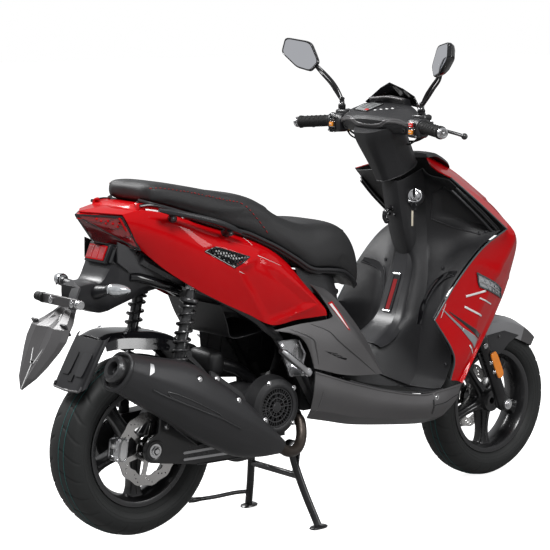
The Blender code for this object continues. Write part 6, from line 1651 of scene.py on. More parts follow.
def build_controls():
    """Switch boxes, their rocker keys, the lever perches, levers and the cables under them."""
    for label, side in SIDES:
        box = Shape()
        centre = Vector((0.886, 0.169 * side, 1.106))
        loops = []
        for y, grow in ((0.1425, 0.80), (0.1470, 0.97), (0.1560, 1.0), (0.1800, 1.0), (0.1900, 0.97), (0.1955, 0.80)):
            loops.append(rounded([Vector((centre.x + 0.0243 * a * grow, y * side, centre.z + 0.0275 * b * grow))
                                  for a, b in ((-1.0, 0.50), (-0.55, 1.0), (0.45, 1.0), (1.0, 0.55),
                                               (1.0, -0.60), (0.50, -1.0), (-0.70, -1.0), (-1.0, -0.62))], 0.3, 4))
        box.loft(loops, mat=0)
        box.tube([p - ACROSS * 0.0 for p in rounded([Vector((centre.x + 0.0245 * a, 0.1690 * side,
                 centre.z + 0.0277 * b)) for a, b in ((-1.0, 0.50), (-0.55, 1.0), (0.45, 1.0), (1.0, 0.55),
                 (1.0, -0.60), (0.50, -1.0), (-0.70, -1.0), (-1.0, -0.62))], 0.3, 4)], 0.0007, 6, mat=1)
        heights = (1.116, 1.096) if side < 0 else (1.102, 1.124, 1.086)
        for z in heights:
            for y, tall in ((-0.0112, 0.0165), (0.0112, 0.0165)):
                box.box((0.8605, 0.1690 * side + y, z), (0.0030, 0.0022, tall), bevel=0.0008, mat=1)
            for rise in (-0.0075, 0.0075):
                box.box((0.8605, 0.1690 * side, z + rise), (0.0030, 0.0220, 0.0014), bevel=0.0004, mat=3)
        if side > 0:
            box.box((0.8565, 0.169, 1.124), (0.0050, 0.0120, 0.0100), bevel=0.0014, mat=1)
            box.rod((0.8610, 0.169, 1.084), (0.8550, 0.169, 1.084), 0.0060, chamfer=0.0010, mat=1)
        box.bolt((0.8595, 0.1560 * side, 1.1265), (-1.0, 0.0, 0.0), 0.0026, mat=3, height=0.0020)
        box.bolt((0.8595, 0.1850 * side, 1.0840), (-1.0, 0.0, 0.0), 0.0026, mat=3, height=0.0020)
        inner, outer, run = grip_frame(side)
        box.lathe([(0.0120, -0.0005), (0.0230, -0.0015), (0.0245, -0.0050), (0.0235, -0.0110), (0.0180, -0.0140),
                   (0.0120, -0.0140)], inner, run, 36, mat=0)
        box.done("switch_case_" + label, "steering", [SATIN, GLOSS_BLACK, STEEL, BRIGHT],
                 "switch_box_" + label, angle=36.0, bevel=0.0005)
        perch = Shape()
        perch.loft([oval((0.912, y * side, 1.108), a, b, AHEAD, UP, 20, 0.7)
                    for y, a, b in ((0.146, 0.010, 0.012), (0.156, 0.0145, 0.0155), (0.176, 0.0145, 0.0150),
                                    (0.186, 0.0100, 0.0110))], smooth=3)
        perch.rod((0.925, 0.178 * side, 1.0930), (0.925, 0.178 * side, 1.1235), 0.0085, chamfer=0.0012)
        perch.bolt((0.925, 0.178 * side, 1.1235), UP, 0.0052, mat=1)
        perch.loft([oval((0.905, y * side, 1.136), a, b, AHEAD, UP, 20, 0.6)
                    for y, a, b in ((0.140, 0.014, 0.006), (0.146, 0.018, 0.0095), (0.182, 0.018, 0.0095),
                                    (0.188, 0.014, 0.006))], smooth=2)
        for y in (0.148, 0.180):
            perch.bolt((0.905, y * side, 1.1450), UP, 0.0034, mat=1, height=0.0028)
        route = catmull(flip([(0.925, 0.180, 1.096), (0.922, 0.150, 1.076), (0.930, 0.110, 1.064),
                              (0.948, 0.070, 1.060)], side), 7)
        perch.tube(route, 0.0032, 10, mat=2)
        route = catmull(flip([(0.915, 0.165, 1.094), (0.905, 0.140, 1.070), (0.915, 0.105, 1.056),
                              (0.940, 0.068, 1.052)], side), 7)
        perch.tube(route, 0.0026, 10, mat=2)
        perch.tube(route[:5], 0.0044, 12, mat=3)
        perch.done("lever_perch_" + label, "steering", [STEEL, BRIGHT, RUBBER, BRASS], angle=38.0)
        lever = Shape()
        points = catmull(flip([(0.928, 0.168, 1.106), (0.934, 0.184, 1.105), (0.937, 0.212, 1.102),
                               (0.931, 0.250, 1.098), (0.924, 0.290, 1.094), (0.918, 0.320, 1.090)], side), 6)
        loops = []
        for i, point in enumerate(points):
            run = (points[min(i + 1, len(points) - 1)] - points[max(i - 1, 0)]).normalized()
            out = run.cross(UP).normalized()
            wide = 0.0062 if i > 8 else 0.0100 - 0.0004 * i
            loops.append(oval(point, wide, 0.0046, out, UP, 20, 0.8))
        lever.loft(loops)
        lever.ball(points[-1], 0.0093)
        lever.rod((0.925, 0.178 * side, 1.1005), (0.925, 0.178 * side, 1.1135), 0.0105, chamfer=0.0015)
        lever.done("lever_blade_" + label, "brake_lever_" + label, STEEL, "brake_lever_" + label)
    for node, side, z, mats in (("kill_switch", -1.0, 1.116, RED_SWITCH), ("starter_button", -1.0, 1.096, AMBER),
                                ("indicator_switch", 1.0, 1.102, AMBER)):
        key = Shape()
        key.box((0.8555, 0.1690 * side, z), (0.0050, 0.0145, 0.0122), bevel=0.0012)
        key.tube([(0.8526, 0.1640 * side, z), (0.8520, 0.1690 * side, z), (0.8526, 0.1740 * side, z)], 0.0009, 6,
                 mat=1)
        key.done(node + "_key", node, [mats, WHITE], node, angle=40.0)


def build_mirrors():
    hexagon = ((1.02, 0.34), (-0.13, 1.10), (-0.97, 0.30), (-0.86, -0.56), (-0.20, -0.88), (0.80, -0.66))
    for label, side in SIDES:
        centre = Vector((0.850, 0.300 * side, 1.304))
        look = Vector((-0.890, -0.430 * side, 0.120)).normalized()
        along = (UP.cross(look).normalized() * -side).normalized()
        rise = (UP - look * UP.dot(look)).normalized()
        along = (along + rise * 0.62).normalized()
        rise = (rise - along * rise.dot(along)).normalized()

        def ring(depth, scale, shrink=0.0):
            points = [centre + look * depth + along * (0.066 * scale - shrink) * a
                      + rise * (0.043 * scale - shrink) * b for a, b in hexagon]
            return rounded(points, 0.22, 5)

        head = Shape()
        head.loft([ring(0.0085, 1.0, 0.0022), ring(0.0095, 1.0), ring(0.0060, 1.045), ring(-0.0020, 1.045),
                   ring(-0.0120, 0.93), ring(-0.0190, 0.72), ring(-0.0215, 0.40)], mat=0)
        stalk = catmull(flip([(0.899, 0.170, 1.170), (0.898, 0.190, 1.196), (0.896, 0.214, 1.222),
                              (0.889, 0.246, 1.250), (0.872, 0.274, 1.282)], side), 6)
        for shift, size in ((0.0035, 0.0044), (-0.0045, 0.0036)):
            bar = [p + (UP * shift + ACROSS * side * -shift) * min(1.0, 0.15 + 4.0 * (i / len(stalk))
                   * (1.0 - i / len(stalk))) for i, p in enumerate(stalk)]
            head.tube(bar, [size * (1.35 - 0.5 * i / len(bar)) for i in range(len(bar))], 14, mat=0)
        head.lathe([(0.0105, 0.0), (0.0112, 0.003), (0.0112, 0.012), (0.0080, 0.016), (0.0070, 0.026),
                    (0.0085, 0.030), (0.0060, 0.034), (0.0001, 0.035), (0.0001, 0.0)],
                   (0.897, 0.168 * side, 1.146), (0.05, 0.05 * side, 1.0), 28, mat=0)
        head.bolt((0.8985, 0.1685 * side, 1.158), (-1.0, 0.0, 0.2), 0.0050, mat=1, height=0.012)
        head.done("mirror_case_" + label, "mirror_" + label, [GLOSS_BLACK, BRIGHT],
                  "mirror_" + label, angle=34.0, bevel=0.0006)
        glass = Shape()
        loop = ring(0.0092, 1.0, 0.0034)
        middle = [centre + look * 0.0100 + (p - centre - look * 0.0092) * 0.5 for p in loop]
        glass.loft([loop, middle], mat=0)
        glass.done("mirror_glass_" + label, "mirror_" + label, MIRROR, angle=60.0)


COVER_TREE = build_bar_cover()
build_dash(COVER_TREE)
build_grips()
build_controls()
build_mirrors()


# ---- fork, front fender and brake -------------------------------------------------
def build_fork():
    crown = Shape()
    middle = (steer(0.0, 0.0, 0.545) + fork_line(0.0, 0.559)) / 2.0
    crown.box(middle, (0.052, 0.150, 0.022), turn=turn_y(-25.5), bevel=0.004)
    for _, side in SIDES:
        crown.rod(fork_line(0.090 * side, 0.535), fork_line(0.090 * side, 0.572), 0.0250, 0.0240, 32, chamfer=0.002)
        crown.rod(fork_line(0.090 * side, 0.330), fork_line(0.090 * side, 0.575), 0.0128, sides=32, mat=1)
        crown.bolt(fork_line(0.090 * side, 0.572), STEER_UP, 0.0095, mat=1, height=0.007)
        crown.bolt(fork_line(0.1155 * side, 0.552), (0.0, side, 0.0), 0.0050, mat=1)
    crown.rod(steer(0.0, 0.0, 0.545), steer(0.0, 0.0, 1.064), 0.0128, sides=28)
    crown.rod(steer(0.0, 0.0, 0.565), steer(0.0, 0.0, 0.582), 0.0230, 0.0210, 32, chamfer=0.002, mat=1)
    crown.done("fork_yoke", "steering", [STEEL, BRIGHT], "fork_crown", angle=36.0)
    for label, side in SIDES:
        leg = Shape()
        foot = fork_line(0.090 * side, 0.222)
        length = 0.233 / STEER_UP.z
        leg.lathe([(0.0132, length + 0.006), (0.0170, length + 0.008), (0.0200, length + 0.002),
                   (0.0205, length - 0.012), (0.0188, length - 0.016), (0.0188, length * 0.45),
                   (0.0195, length * 0.43), (0.0195, length * 0.22), (0.0210, length * 0.18), (0.0215, 0.006),
                   (0.0170, 0.0), (0.0001, 0.0), (0.0001, 0.004), (0.0132, length)], foot, STEER_UP, 40)
        leg.rod(FRONT_AXLE + ACROSS * 0.072 * side, FRONT_AXLE + ACROSS * 0.1125 * side, 0.0200, 0.0185, 36,
                chamfer=0.002)
        leg.bolt(FRONT_AXLE + ACROSS * 0.1120 * side, ACROSS * side, 0.0115, mat=1, height=0.0070)
        leg.rod(FRONT_AXLE + ACROSS * 0.118 * side, FRONT_AXLE + ACROSS * 0.1215 * side, 0.0062, sides=20, mat=1,
                chamfer=0.001)
        for height in (0.348, 0.378, 0.432):
            spot = fork_line(0.1080 * side, height) - STEER_AHEAD * 0.006
            leg.bolt(spot, (0.0, side, 0.0), 0.0060, mat=1, height=0.006)
        leg.box(fork_line(0.083 * side, 0.375) - STEER_AHEAD * 0.012, (0.030, 0.010, 0.090), turn=turn_y(-25.5),
                bevel=0.003)
        rubber = [(0.0145, length + 0.010 + 0.0065 * k + (0.0032 if j else 0.0)) if j == 0 else
                  (0.0190 - 0.0002 * k, length + 0.0132 + 0.0065 * k) for k in range(4) for j in (0, 1)]
        leg.lathe(rubber + [(0.0132, length + 0.034), (0.0132, length + 0.008)], foot, STEER_UP, 36, mat=2)
        leg.done("fork_slider_" + label, "fork_lower", [STEEL, BRIGHT, RUBBER],
                 "fork_leg_" + label, angle=38.0)
        lamp = Shape()
        high, low = fork_line(0.1095 * side, 0.408), fork_line(0.1095 * side, 0.318)
        lean = STEER_UP
        for thick, half, wide, mat in ((0.0030, 0.047, 0.0165, 0), (0.0065, 0.044, 0.0135, 1)):
            spot = (high + low) / 2.0 + STEER_AHEAD * 0.008
            outline = rounded([(-wide, -half), (wide, -half), (wide, half), (-wide, half)] and
                              [Vector((a * wide, b * half, 0.0)) for a, b in ((-1, -0.86), (-0.6, -1), (0.6, -1),
                               (1, -0.86), (1, 0.86), (0.6, 1), (-0.6, 1), (-1, 0.86))], 0.3, 3)
            lamp.plate([(p.x, p.y) for p in outline], spot, STEER_AHEAD, lean,
                       -thick if side > 0 else -0.002, 0.002 if side > 0 else thick, mat=mat, bevel=0.0012)
        lamp.done("fork_reflector_" + label, "fork_lower", [GLOSS_BLACK, ORANGE])


def build_fender():
    top = []
    for degrees in range(48, 139, 9):
        angle = math.radians(degrees)
        out = Vector((math.cos(angle), 0.0, math.sin(angle)))
        reach = 0.2365 + 0.0165
        grow = min(1.0, (degrees - 30) / 30.0)
        half = [(0.0, 0.0105), (0.022, 0.0090), (0.040, 0.0040), (0.054, -0.0010)]
        row = [FRONT_AXLE + out * (reach + lift) + ACROSS * y for y, lift in half]
        drop = 0.018 + 0.030 * grow
        row += [FRONT_AXLE + out * (reach - 0.006) + ACROSS * 0.0625,
                FRONT_AXLE + out * (reach - drop) + ACROSS * 0.0675]
        top.append(row)
    tip = FRONT_AXLE + Vector((0.176, 0.0, 0.198))
    top.insert(0, [tip + Vector(v) for v in ((0.0, 0.0, 0.0), (-0.003, 0.012, -0.002), (-0.008, 0.026, -0.008),
                                             (-0.014, 0.038, -0.015), (-0.022, 0.047, -0.024),
                                             (-0.034, 0.056, -0.040))])
    columns = [[Vector((p.x, -p.y, p.z)) for p in row[:0:-1]] + list(row) for row in top]
    fender = Shape()
    fender.skin(columns, 4, 5, cuts_u=(1,), cuts_v=(1, 2, 8, 9), mat=lambda i, j: 1 if j < 10 or j >= 40 else 0)
    fender.done("front_mudguard", "fork_lower", [SILVER_PAINT, GUNMETAL], "front_fender", solid=0.0026,
                bevel=0.0008, angle=24.0)
    trim = Shape()
    for _, side in SIDES:
        sheet = [FRONT_AXLE + Vector((math.cos(math.radians(d)), 0.0, math.sin(math.radians(d)))) * r
                 + ACROSS * 0.0680 * side for d, r in ((66, 0.218), (84, 0.222), (104, 0.220), (118, 0.206),
                                                       (112, 0.178), (98, 0.150), (86, 0.152), (76, 0.188))]
        trim.plate([((p - FRONT_AXLE).x, (p - FRONT_AXLE).z) for p in sheet], FRONT_AXLE + ACROSS * 0.0685 * side,
                   AHEAD, UP, -0.0015, 0.0015, mat=0, bevel=0.0008)
        for angle, reach in ((90, 0.205), (104, 0.170)):
            spot = FRONT_AXLE + Vector((math.cos(math.radians(angle)), 0.0, math.sin(math.radians(angle)))) * reach
            trim.bolt(spot + ACROSS * 0.0695 * side, ACROSS * side, 0.0052, mat=1, height=0.0045)
        ridge = [FRONT_AXLE + Vector((math.cos(math.radians(d)), 0.0, math.sin(math.radians(d)))) * 0.2625
                 + ACROSS * 0.022 * side for d in range(56, 134, 6)]
        trim.tube(ridge, [0.0010] + [0.0022] * (len(ridge) - 2) + [0.0010], 8, mat=2)
    trim.done("mudguard_trim", "fork_lower", [SATIN, STEEL, GUNMETAL])


def build_caliper(name, node, body, axle, degrees, disc_y, side, inner_depth, bright):
    """A two-piston caliper: cast halves, ribs, piston cover, hose banjo, pads pin and bolts."""
    angle = math.radians(degrees)
    out = Vector((math.cos(angle), 0.0, math.sin(angle)))
    tangent = Vector((-math.sin(angle), 0.0, math.cos(angle)))
    spot = axle + out * 0.100
    metal = ALLOY if bright else CAST
    low = disc_y - inner_depth * side
    high = disc_y + 0.022 * side
    block = Shape()

    def at(u, v, y):
        return Vector((spot.x, y, spot.z)) + tangent * u + out * v

    for start, end in ((low, disc_y - 0.0034 * side), (disc_y + 0.0034 * side, high - 0.004 * side)):
        loops = []
        for share, grow in ((0.0, 0.92), (0.2, 1.0), (0.8, 1.0), (1.0, 0.90)):
            y = start + (end - start) * share
            loops.append(rounded([at(u * grow, v * grow, y) for u, v in (
                (-0.031, -0.016), (-0.020, -0.023), (0.020, -0.023), (0.031, -0.016), (0.031, 0.012),
                (0.022, 0.023), (-0.022, 0.023), (-0.031, 0.012))], 0.25, 3))
        block.loft(loops)
    for u in (-0.021, 0.0, 0.021):
        block.box(at(u, 0.0165, (low + high) / 2.0), (0.010, abs(high - low) * 0.94, 0.010),
                  turn=Matrix((tangent, ACROSS, out)).transposed(), bevel=0.0018)
    face = high - 0.004 * side
    cover = []
    for k in range(40):
        t = 2.0 * math.pi * k / 40
        radius = 0.0125 + 0.0035 * math.cos(2.0 * t)
        cover.append((radius * math.cos(t) * 1.75, radius * math.sin(t) * 1.0))
    depth = 0.0052
    block.plate(cover, at(0.0, -0.004, face), tangent, out, -depth if side < 0 else 0.0,
                0.0 if side < 0 else depth, mat=1, bevel=0.0016)
    for u, v in ((-0.025, 0.010), (0.025, 0.010), (-0.026, -0.014), (0.026, -0.014)):
        block.bolt(at(u, v, face), ACROSS * side, 0.0046, mat=2, height=0.0055)
    block.rod(at(-0.010, 0.021, face - 0.004 * side), at(-0.010, 0.030, face - 0.004 * side), 0.0060, mat=1,
              chamfer=0.001)
    block.rod(at(0.016, 0.019, face - 0.006 * side), at(0.016, 0.027, face - 0.006 * side), 0.0040, mat=2,
              chamfer=0.0008)
    for share in (-0.6, 0.0, 0.6):
        block.box(at(0.024 * share, -0.0185, (low + high) / 2.0), (0.004, abs(high - low) * 0.70, 0.006),
                  turn=Matrix((tangent, ACROSS, out)).transposed(), bevel=0.0010, mat=0)
    block.done(name, body, [metal, WHITE_METAL if bright else metal, BRIGHT], node, angle=34.0,
               bevel=0.0005)


WHITE_METAL = surface("pale_casting", (0.66, 0.66, 0.66), 0.42, metal=0.4, grain=0.3, grain_scale=500.0)
build_fork()
build_fender()
build_caliper("front_brake_caliper", "front_caliper", "fork_lower", FRONT_AXLE, 152.0, 0.0600, 1.0, 0.0115, False)


# ---- rear unit: exhaust, covers, hugger, springs -----------------------------------
RUN = Vector((0.892, 0.0, -0.453))
RISE = Vector((0.453, 0.0, 0.892))
MUFFLER_START = Vector((-0.160, -0.190, 0.534))


def build_exhaust():
    rows = ((-0.015, 0.048, 0.048, -0.190, 0.046), (0.000, 0.055, 0.050, -0.191, 0.047),
            (0.060, 0.070, 0.056, -0.194, 0.050), (0.170, 0.096, 0.066, -0.198, 0.053),
            (0.260, 0.088, 0.078, -0.198, 0.053), (0.380, 0.072, 0.080, -0.192, 0.050),
            (0.450, 0.056, 0.076, -0.186, 0.046), (0.530, 0.036, 0.052, -0.178, 0.034),
            (0.600, 0.020, 0.022, -0.168, 0.020))
    can = Shape()
    loops = []
    for t, up, down, y, wide in rows:
        centre = Vector((MUFFLER_START.x, y, MUFFLER_START.z)) + RUN * t
        loops.append([centre + ACROSS * wide * a + RISE * (up * b if b > 0 else down * b) for a, b in (
            (0.0, 1.0), (-0.42, 0.95), (-0.80, 0.70), (-1.0, 0.30), (-0.96, -0.12), (-0.80, -0.55), (-0.46, -0.90),
            (0.0, -1.0), (0.55, -0.92), (0.92, -0.55), (1.0, 0.0), (0.92, 0.55), (0.55, 0.92))])
    lines = [catmull(line, 5) for line in zip(*loops)]
    rings = []
    for ring in zip(*lines):
        ring = list(ring)
        rings.append(catmull([*ring, ring[0]], 4, (3, 5))[:-1])
    can.grid(rings, closed=True, caps=True)
    piece = can.done("muffler_shell", "engine", CHARCOAL, "exhaust", angle=26.0)
    tree = tree_of(piece)
    trim = Shape()
    ring = [p - RUN * 0.001 for p in rings[0]]
    trim.tube([*ring, ring[0]], 0.0058, 14, mat=0)
    centre = sum(ring, Vector()) / len(ring)
    trim.lathe([(0.030, 0.006), (0.0345, 0.004), (0.0365, -0.006), (0.0355, -0.016), (0.0290, -0.022),
                (0.0190, -0.020), (0.0165, -0.010), (0.0165, 0.040), (0.0200, 0.040), (0.0200, 0.002)],
               centre - RUN * 0.004, -RUN * -1.0, 40, mat=1)
    trim.rod(centre + RUN * 0.020, centre + RUN * 0.024, 0.030, sides=36, mat=2)
    trim.lathe([(0.0100, 0.0), (0.0118, -0.002), (0.0118, -0.014), (0.0100, -0.016), (0.0088, -0.014),
                (0.0088, 0.010)], centre + RUN * 0.004 - RISE * 0.002, RUN, 30, mat=3)
    for spot in ((0.042, -0.242, 0.501), (0.179, -0.229, 0.426), (0.290, -0.225, 0.352)):
        at = on_tree(tree, Vector((spot[0], -0.30, spot[2])), ACROSS, 0.0)
        trim.lathe([(0.0105, -0.001), (0.0118, 0.0008), (0.0128, -0.0015), (0.0128, -0.006)], at, (0.0, -1.0, 0.12),
                   32, mat=0, closed=False)
        trim.bolt(at + ACROSS * 0.0015, (0.0, -1.0, 0.0), 0.0066, mat=4, height=0.0045)
    lip = [on_tree(tree, Vector((x, -0.30, z)), ACROSS, 0.0004) for x, z in (
        (-0.106, 0.494), (-0.078, 0.478), (-0.050, 0.464), (-0.010, 0.445), (0.030, 0.427), (0.070, 0.408),
        (0.110, 0.390), (0.150, 0.368), (0.180, 0.352))]
    trim.tube(catmull(lip, 4), 0.0022, 8, mat=0)
    groove = [on_tree(tree, Vector((x, -0.30, z)), ACROSS, 0.0008) for x, z in (
        (-0.063, 0.484), (-0.049, 0.466), (0.011, 0.436), (0.091, 0.401), (0.104, 0.402), (0.031, 0.442),
        (-0.030, 0.472))]
    trim.tube(catmull([*groove, groove[0]], 3), 0.0016, 8, mat=1)
    patch = [Vector((x, -0.30, z)) for x, z in ((-0.1060, 0.5600), (-0.0960, 0.5560), (-0.1000, 0.5380),
                                                (-0.1170, 0.5320))]
    decal(trim, tree, patch, ACROSS, 0.0010, mat=5, steps=(6, 4))
    seam = [on_tree(tree, MUFFLER_START + RUN * t + ACROSS * 0.02 + RISE * 0.30, -RISE, 0.0004)
            for t in (0.02, 0.08, 0.16, 0.24, 0.32, 0.40, 0.47)]
    trim.tube(catmull(seam, 4), 0.0015, 8, mat=0)
    trim.done("muffler_trim", "engine", [CHARCOAL, STEEL, GLOSS_BLACK, CAST, BRIGHT, ALLOY],
              angle=40.0)
    pipe = Shape()
    route = catmull([(0.340, -0.168, 0.283), (0.365, -0.168, 0.268), (0.410, -0.160, 0.240),
                     (0.456, -0.146, 0.240), (0.488, -0.126, 0.268), (0.500, -0.104, 0.306),
                     (0.496, -0.080, 0.314)], 8)
    pipe.tube(route, 0.0152, 24, mat=0)
    run = (route[3] - route[1]).normalized()
    pipe.lathe([(0.0152, -0.004), (0.0205, -0.002), (0.0205, 0.008), (0.0152, 0.010)], route[3], run, 32, mat=1)
    pipe.lathe([(0.0152, -0.003), (0.0190, -0.001), (0.0190, 0.004), (0.0152, 0.006)], route[9], (route[11]
               - route[9]).normalized(), 32, mat=1)
    pipe.bolt(route[3] + Vector((0.004, -0.020, 0.0)), (0.0, -1.0, 0.0), 0.0050, mat=2)
    pipe.lathe([(0.0120, 0.0), (0.0230, 0.0), (0.0240, 0.004), (0.0230, 0.008), (0.0152, 0.008)],
               route[-1] - ACROSS * 0.004, (0.0, -1.0, 0.0), 32, mat=1)
    pipe.done("header_pipe", "engine", [HEAT, STEEL, BRIGHT])
    hanger = Shape()
    outline = rounded([Vector((x, z, 0.0)) for x, z in ((0.150, 0.500), (0.150, 0.420), (0.270, 0.300),
                       (0.292, 0.240), (0.318, 0.240), (0.320, 0.290), (0.262, 0.420))], 0.12, 4)
    hanger.plate([(p.x, p.y) for p in outline], (0.0, -0.145, 0.0), AHEAD, UP, -0.004, 0.004, mat=0, bevel=0.0015)
    hanger.rod((0.306, -0.108, 0.262), (0.306, -0.149, 0.262), 0.0125, mat=0, chamfer=0.001)
    for x, z in ((0.170, 0.470), (0.300, 0.300), (0.306, 0.262)):
        hanger.bolt((x, -0.149, z), (0.0, -1.0, 0.0), 0.0075, mat=1)
    hanger.done("muffler_hanger", "engine", [STEEL, BRIGHT], angle=40.0)


def build_hugger():
    columns = []
    for x, z, half, fold in ((0.152, 0.550, 0.070, 0.040), (0.104, 0.582, 0.072, 0.044), (0.050, 0.599, 0.073, 0.045),
                             (0.0, 0.606, 0.074, 0.046), (-0.045, 0.611, 0.074, 0.043),
                             (-0.090, 0.612, 0.074, 0.040), (-0.128, 0.600, 0.071, 0.030)):
        half_row = [(x, 0.0, z), (x, half * 0.45, z - 0.001), (x, half * 0.70, z - 0.005),
                    (x, half * 0.92, z - fold * 0.35), (x, half, z - fold)]
        columns.append([(px, -py, pz) for px, py, pz in half_row[:0:-1]] + half_row)
    guard = Shape()
    guard.skin(columns, 5, 4, cuts_v=(1, 7))
    guard.done("hugger_shell", "engine", GLOSS_BLACK, "hugger", solid=0.0028, bevel=0.0008,
               angle=26.0)
    flap = Shape()
    columns = []
    for x, z, lift in ((-0.132, 0.597, 0.0), (-0.160, 0.552, 0.0), (-0.206, 0.471, 0.0)):
        half_row = [(x, 0.0, z), (x, 0.030, z), (x, 0.044, z), (x + 0.004, 0.062, z + 0.002),
                    (x + 0.018, 0.068, z + 0.010)]
        columns.append([(px, -py, pz) for px, py, pz in half_row[:0:-1]] + half_row)
    flap.skin(columns, 4, 4, cuts_v=(2, 6))
    flap.done("hugger_flap", "engine", SATIN, solid=0.0026, bevel=0.0008, angle=26.0)
    edge = Shape()
    rim = [(-0.134, 0.060, 0.5950), (-0.207, 0.060, 0.4720), (-0.209, 0.0, 0.4680), (-0.207, -0.060, 0.4720),
           (-0.134, -0.060, 0.5950)]
    edge.tube(rounded(rim, 0.10, 4)[5:-5], 0.0030, 10, mat=0)
    slope = Vector((-0.074, 0.0, -0.126)).normalized()
    out = Vector((-0.863, 0.0, 0.505))
    for y in (-0.030, 0.030):
        edge.plate([(p.x, p.y) for p in rounded([Vector((-0.020, -0.034, 0.0)), Vector((0.020, -0.034, 0.0)),
                    Vector((0.016, 0.034, 0.0)), Vector((-0.016, 0.034, 0.0))], 0.15, 3)],
                   Vector((-0.172, y, 0.5340)) + out * 0.0010, ACROSS, slope, -0.001, 0.0016, mat=1, bevel=0.0008)
    edge.plate([(-0.010, -0.010), (0.010, -0.010), (0.010, 0.010), (-0.010, 0.010)],
               Vector((-0.192, 0.0, 0.4990)) + out * 0.0012, ACROSS, slope, -0.001, 0.0014, mat=2, bevel=0.0006)
    for x, z, y in ((0.110, 0.5815, 0.056), (-0.060, 0.6125, 0.058), (0.110, 0.5815, -0.056), (-0.060, 0.6125, -0.058)):
        edge.bolt((x, y, z - 0.003), (0.0, 0.25 if y > 0 else -0.25, 1.0), 0.0050, mat=3)
    edge.done("hugger_trim", "engine", [GUNMETAL, SATIN, GLOSS_BLACK, BRIGHT])


def build_springs():
    for label, side in SIDES:
        top = Vector((SHOCK_TOP[0], 0.112 * side, SHOCK_TOP[2]))
        foot = Vector((SHOCK_FOOT[0], 0.112 * side, SHOCK_FOOT[2]))
        run = (foot - top).normalized()
        length = (foot - top).length
        body = Shape()
        body.lathe([(0.0070, -0.010), (0.0150, -0.010), (0.0160, -0.008), (0.0160, 0.008), (0.0150, 0.010),
                    (0.0070, 0.010)], top, ACROSS, 32, mat=1)
        body.lathe([(0.0066, -0.0115), (0.0105, -0.0115), (0.0105, 0.0115), (0.0066, 0.0115)], top, ACROSS, 28, mat=2)
        body.bolt(top + ACROSS * 0.0115 * side, ACROSS * side, 0.0085, mat=3, height=0.006)
        body.rod(top + run * 0.012, top + run * 0.038, 0.0120, 0.0135, 28, mat=0, chamfer=0.001)
        body.lathe([(0.0120, 0.034), (0.0240, 0.036), (0.0255, 0.0385), (0.0255, 0.0440), (0.0232, 0.0460),
                    (0.0170, 0.0480), (0.0150, 0.0520)], top, run, 40, mat=0)
        body.lathe([(0.0150, 0.044), (0.0150, 0.150), (0.0158, 0.152), (0.0158, 0.196), (0.0145, 0.203),
                    (0.0125, 0.205), (0.0062, 0.205)], top, run, 36, mat=0)
        body.done("damper_" + label, "shock_upper", [STEEL, ALLOY, RUBBER, BRIGHT],
                  "shock_body_" + label, angle=38.0)
        coil = Shape()
        start, end, turns = 0.0485, length - 0.0405, 11.6
        side_axis = run.cross(ACROSS).normalized()
        points = []
        count = int(turns * 26)
        for i in range(count + 1):
            t = i / count
            turn = t * turns
            ease = min(turn, 1.0) * 0.5 + min(max(turn - 1.0, 0.0), turns - 2.0) + 0.5 * max(turn - turns + 1.0, 0.0)
            along = start + (end - start) * ease / (turns - 1.0)
            angle = 2.0 * math.pi * turn
            points.append(top + run * along + (ACROSS * math.cos(angle) + side_axis * math.sin(angle)) * 0.0208)
        coil.tube(points, 0.0038, 10)
        spring = coil.done("coil_" + label, "shock_upper", STEEL, "spring_" + label)
        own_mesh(spring)
        rod = Shape()
        rod.lathe([(0.0066, -0.010), (0.0140, -0.010), (0.0150, -0.008), (0.0150, 0.008), (0.0140, 0.010),
                   (0.0066, 0.010)], foot, ACROSS, 32, mat=0)
        rod.lathe([(0.0062, -0.0115), (0.0098, -0.0115), (0.0098, 0.0115), (0.0062, 0.0115)], foot, ACROSS, 28, mat=2)
        rod.bolt(foot + ACROSS * 0.0115 * side, ACROSS * side, 0.0080, mat=1, height=0.006)
        rod.rod(foot - run * 0.010, foot - run * 0.030, 0.0110, 0.0125, 28, mat=0, chamfer=0.001)
        rod.lathe([(0.0062, -0.044), (0.0150, -0.042), (0.0232, -0.0385), (0.0255, -0.036), (0.0255, -0.0300),
                   (0.0235, -0.028), (0.0110, -0.026)], foot, run, 40, mat=0)
        rod.rod(foot - run * 0.036, foot - run * (length - 0.160), 0.0062, sides=24, mat=1)
        rod.lathe([(0.0062, -0.078), (0.0105, -0.076), (0.0118, -0.064), (0.0105, -0.058), (0.0118, -0.052),
                   (0.0110, -0.044), (0.0062, -0.042)], foot, run, 28, mat=2)
        rod.done("damper_rod_" + label, "shock_lower", [STEEL, BRIGHT, RUBBER], "shock_rod_" + label,
                 angle=38.0)


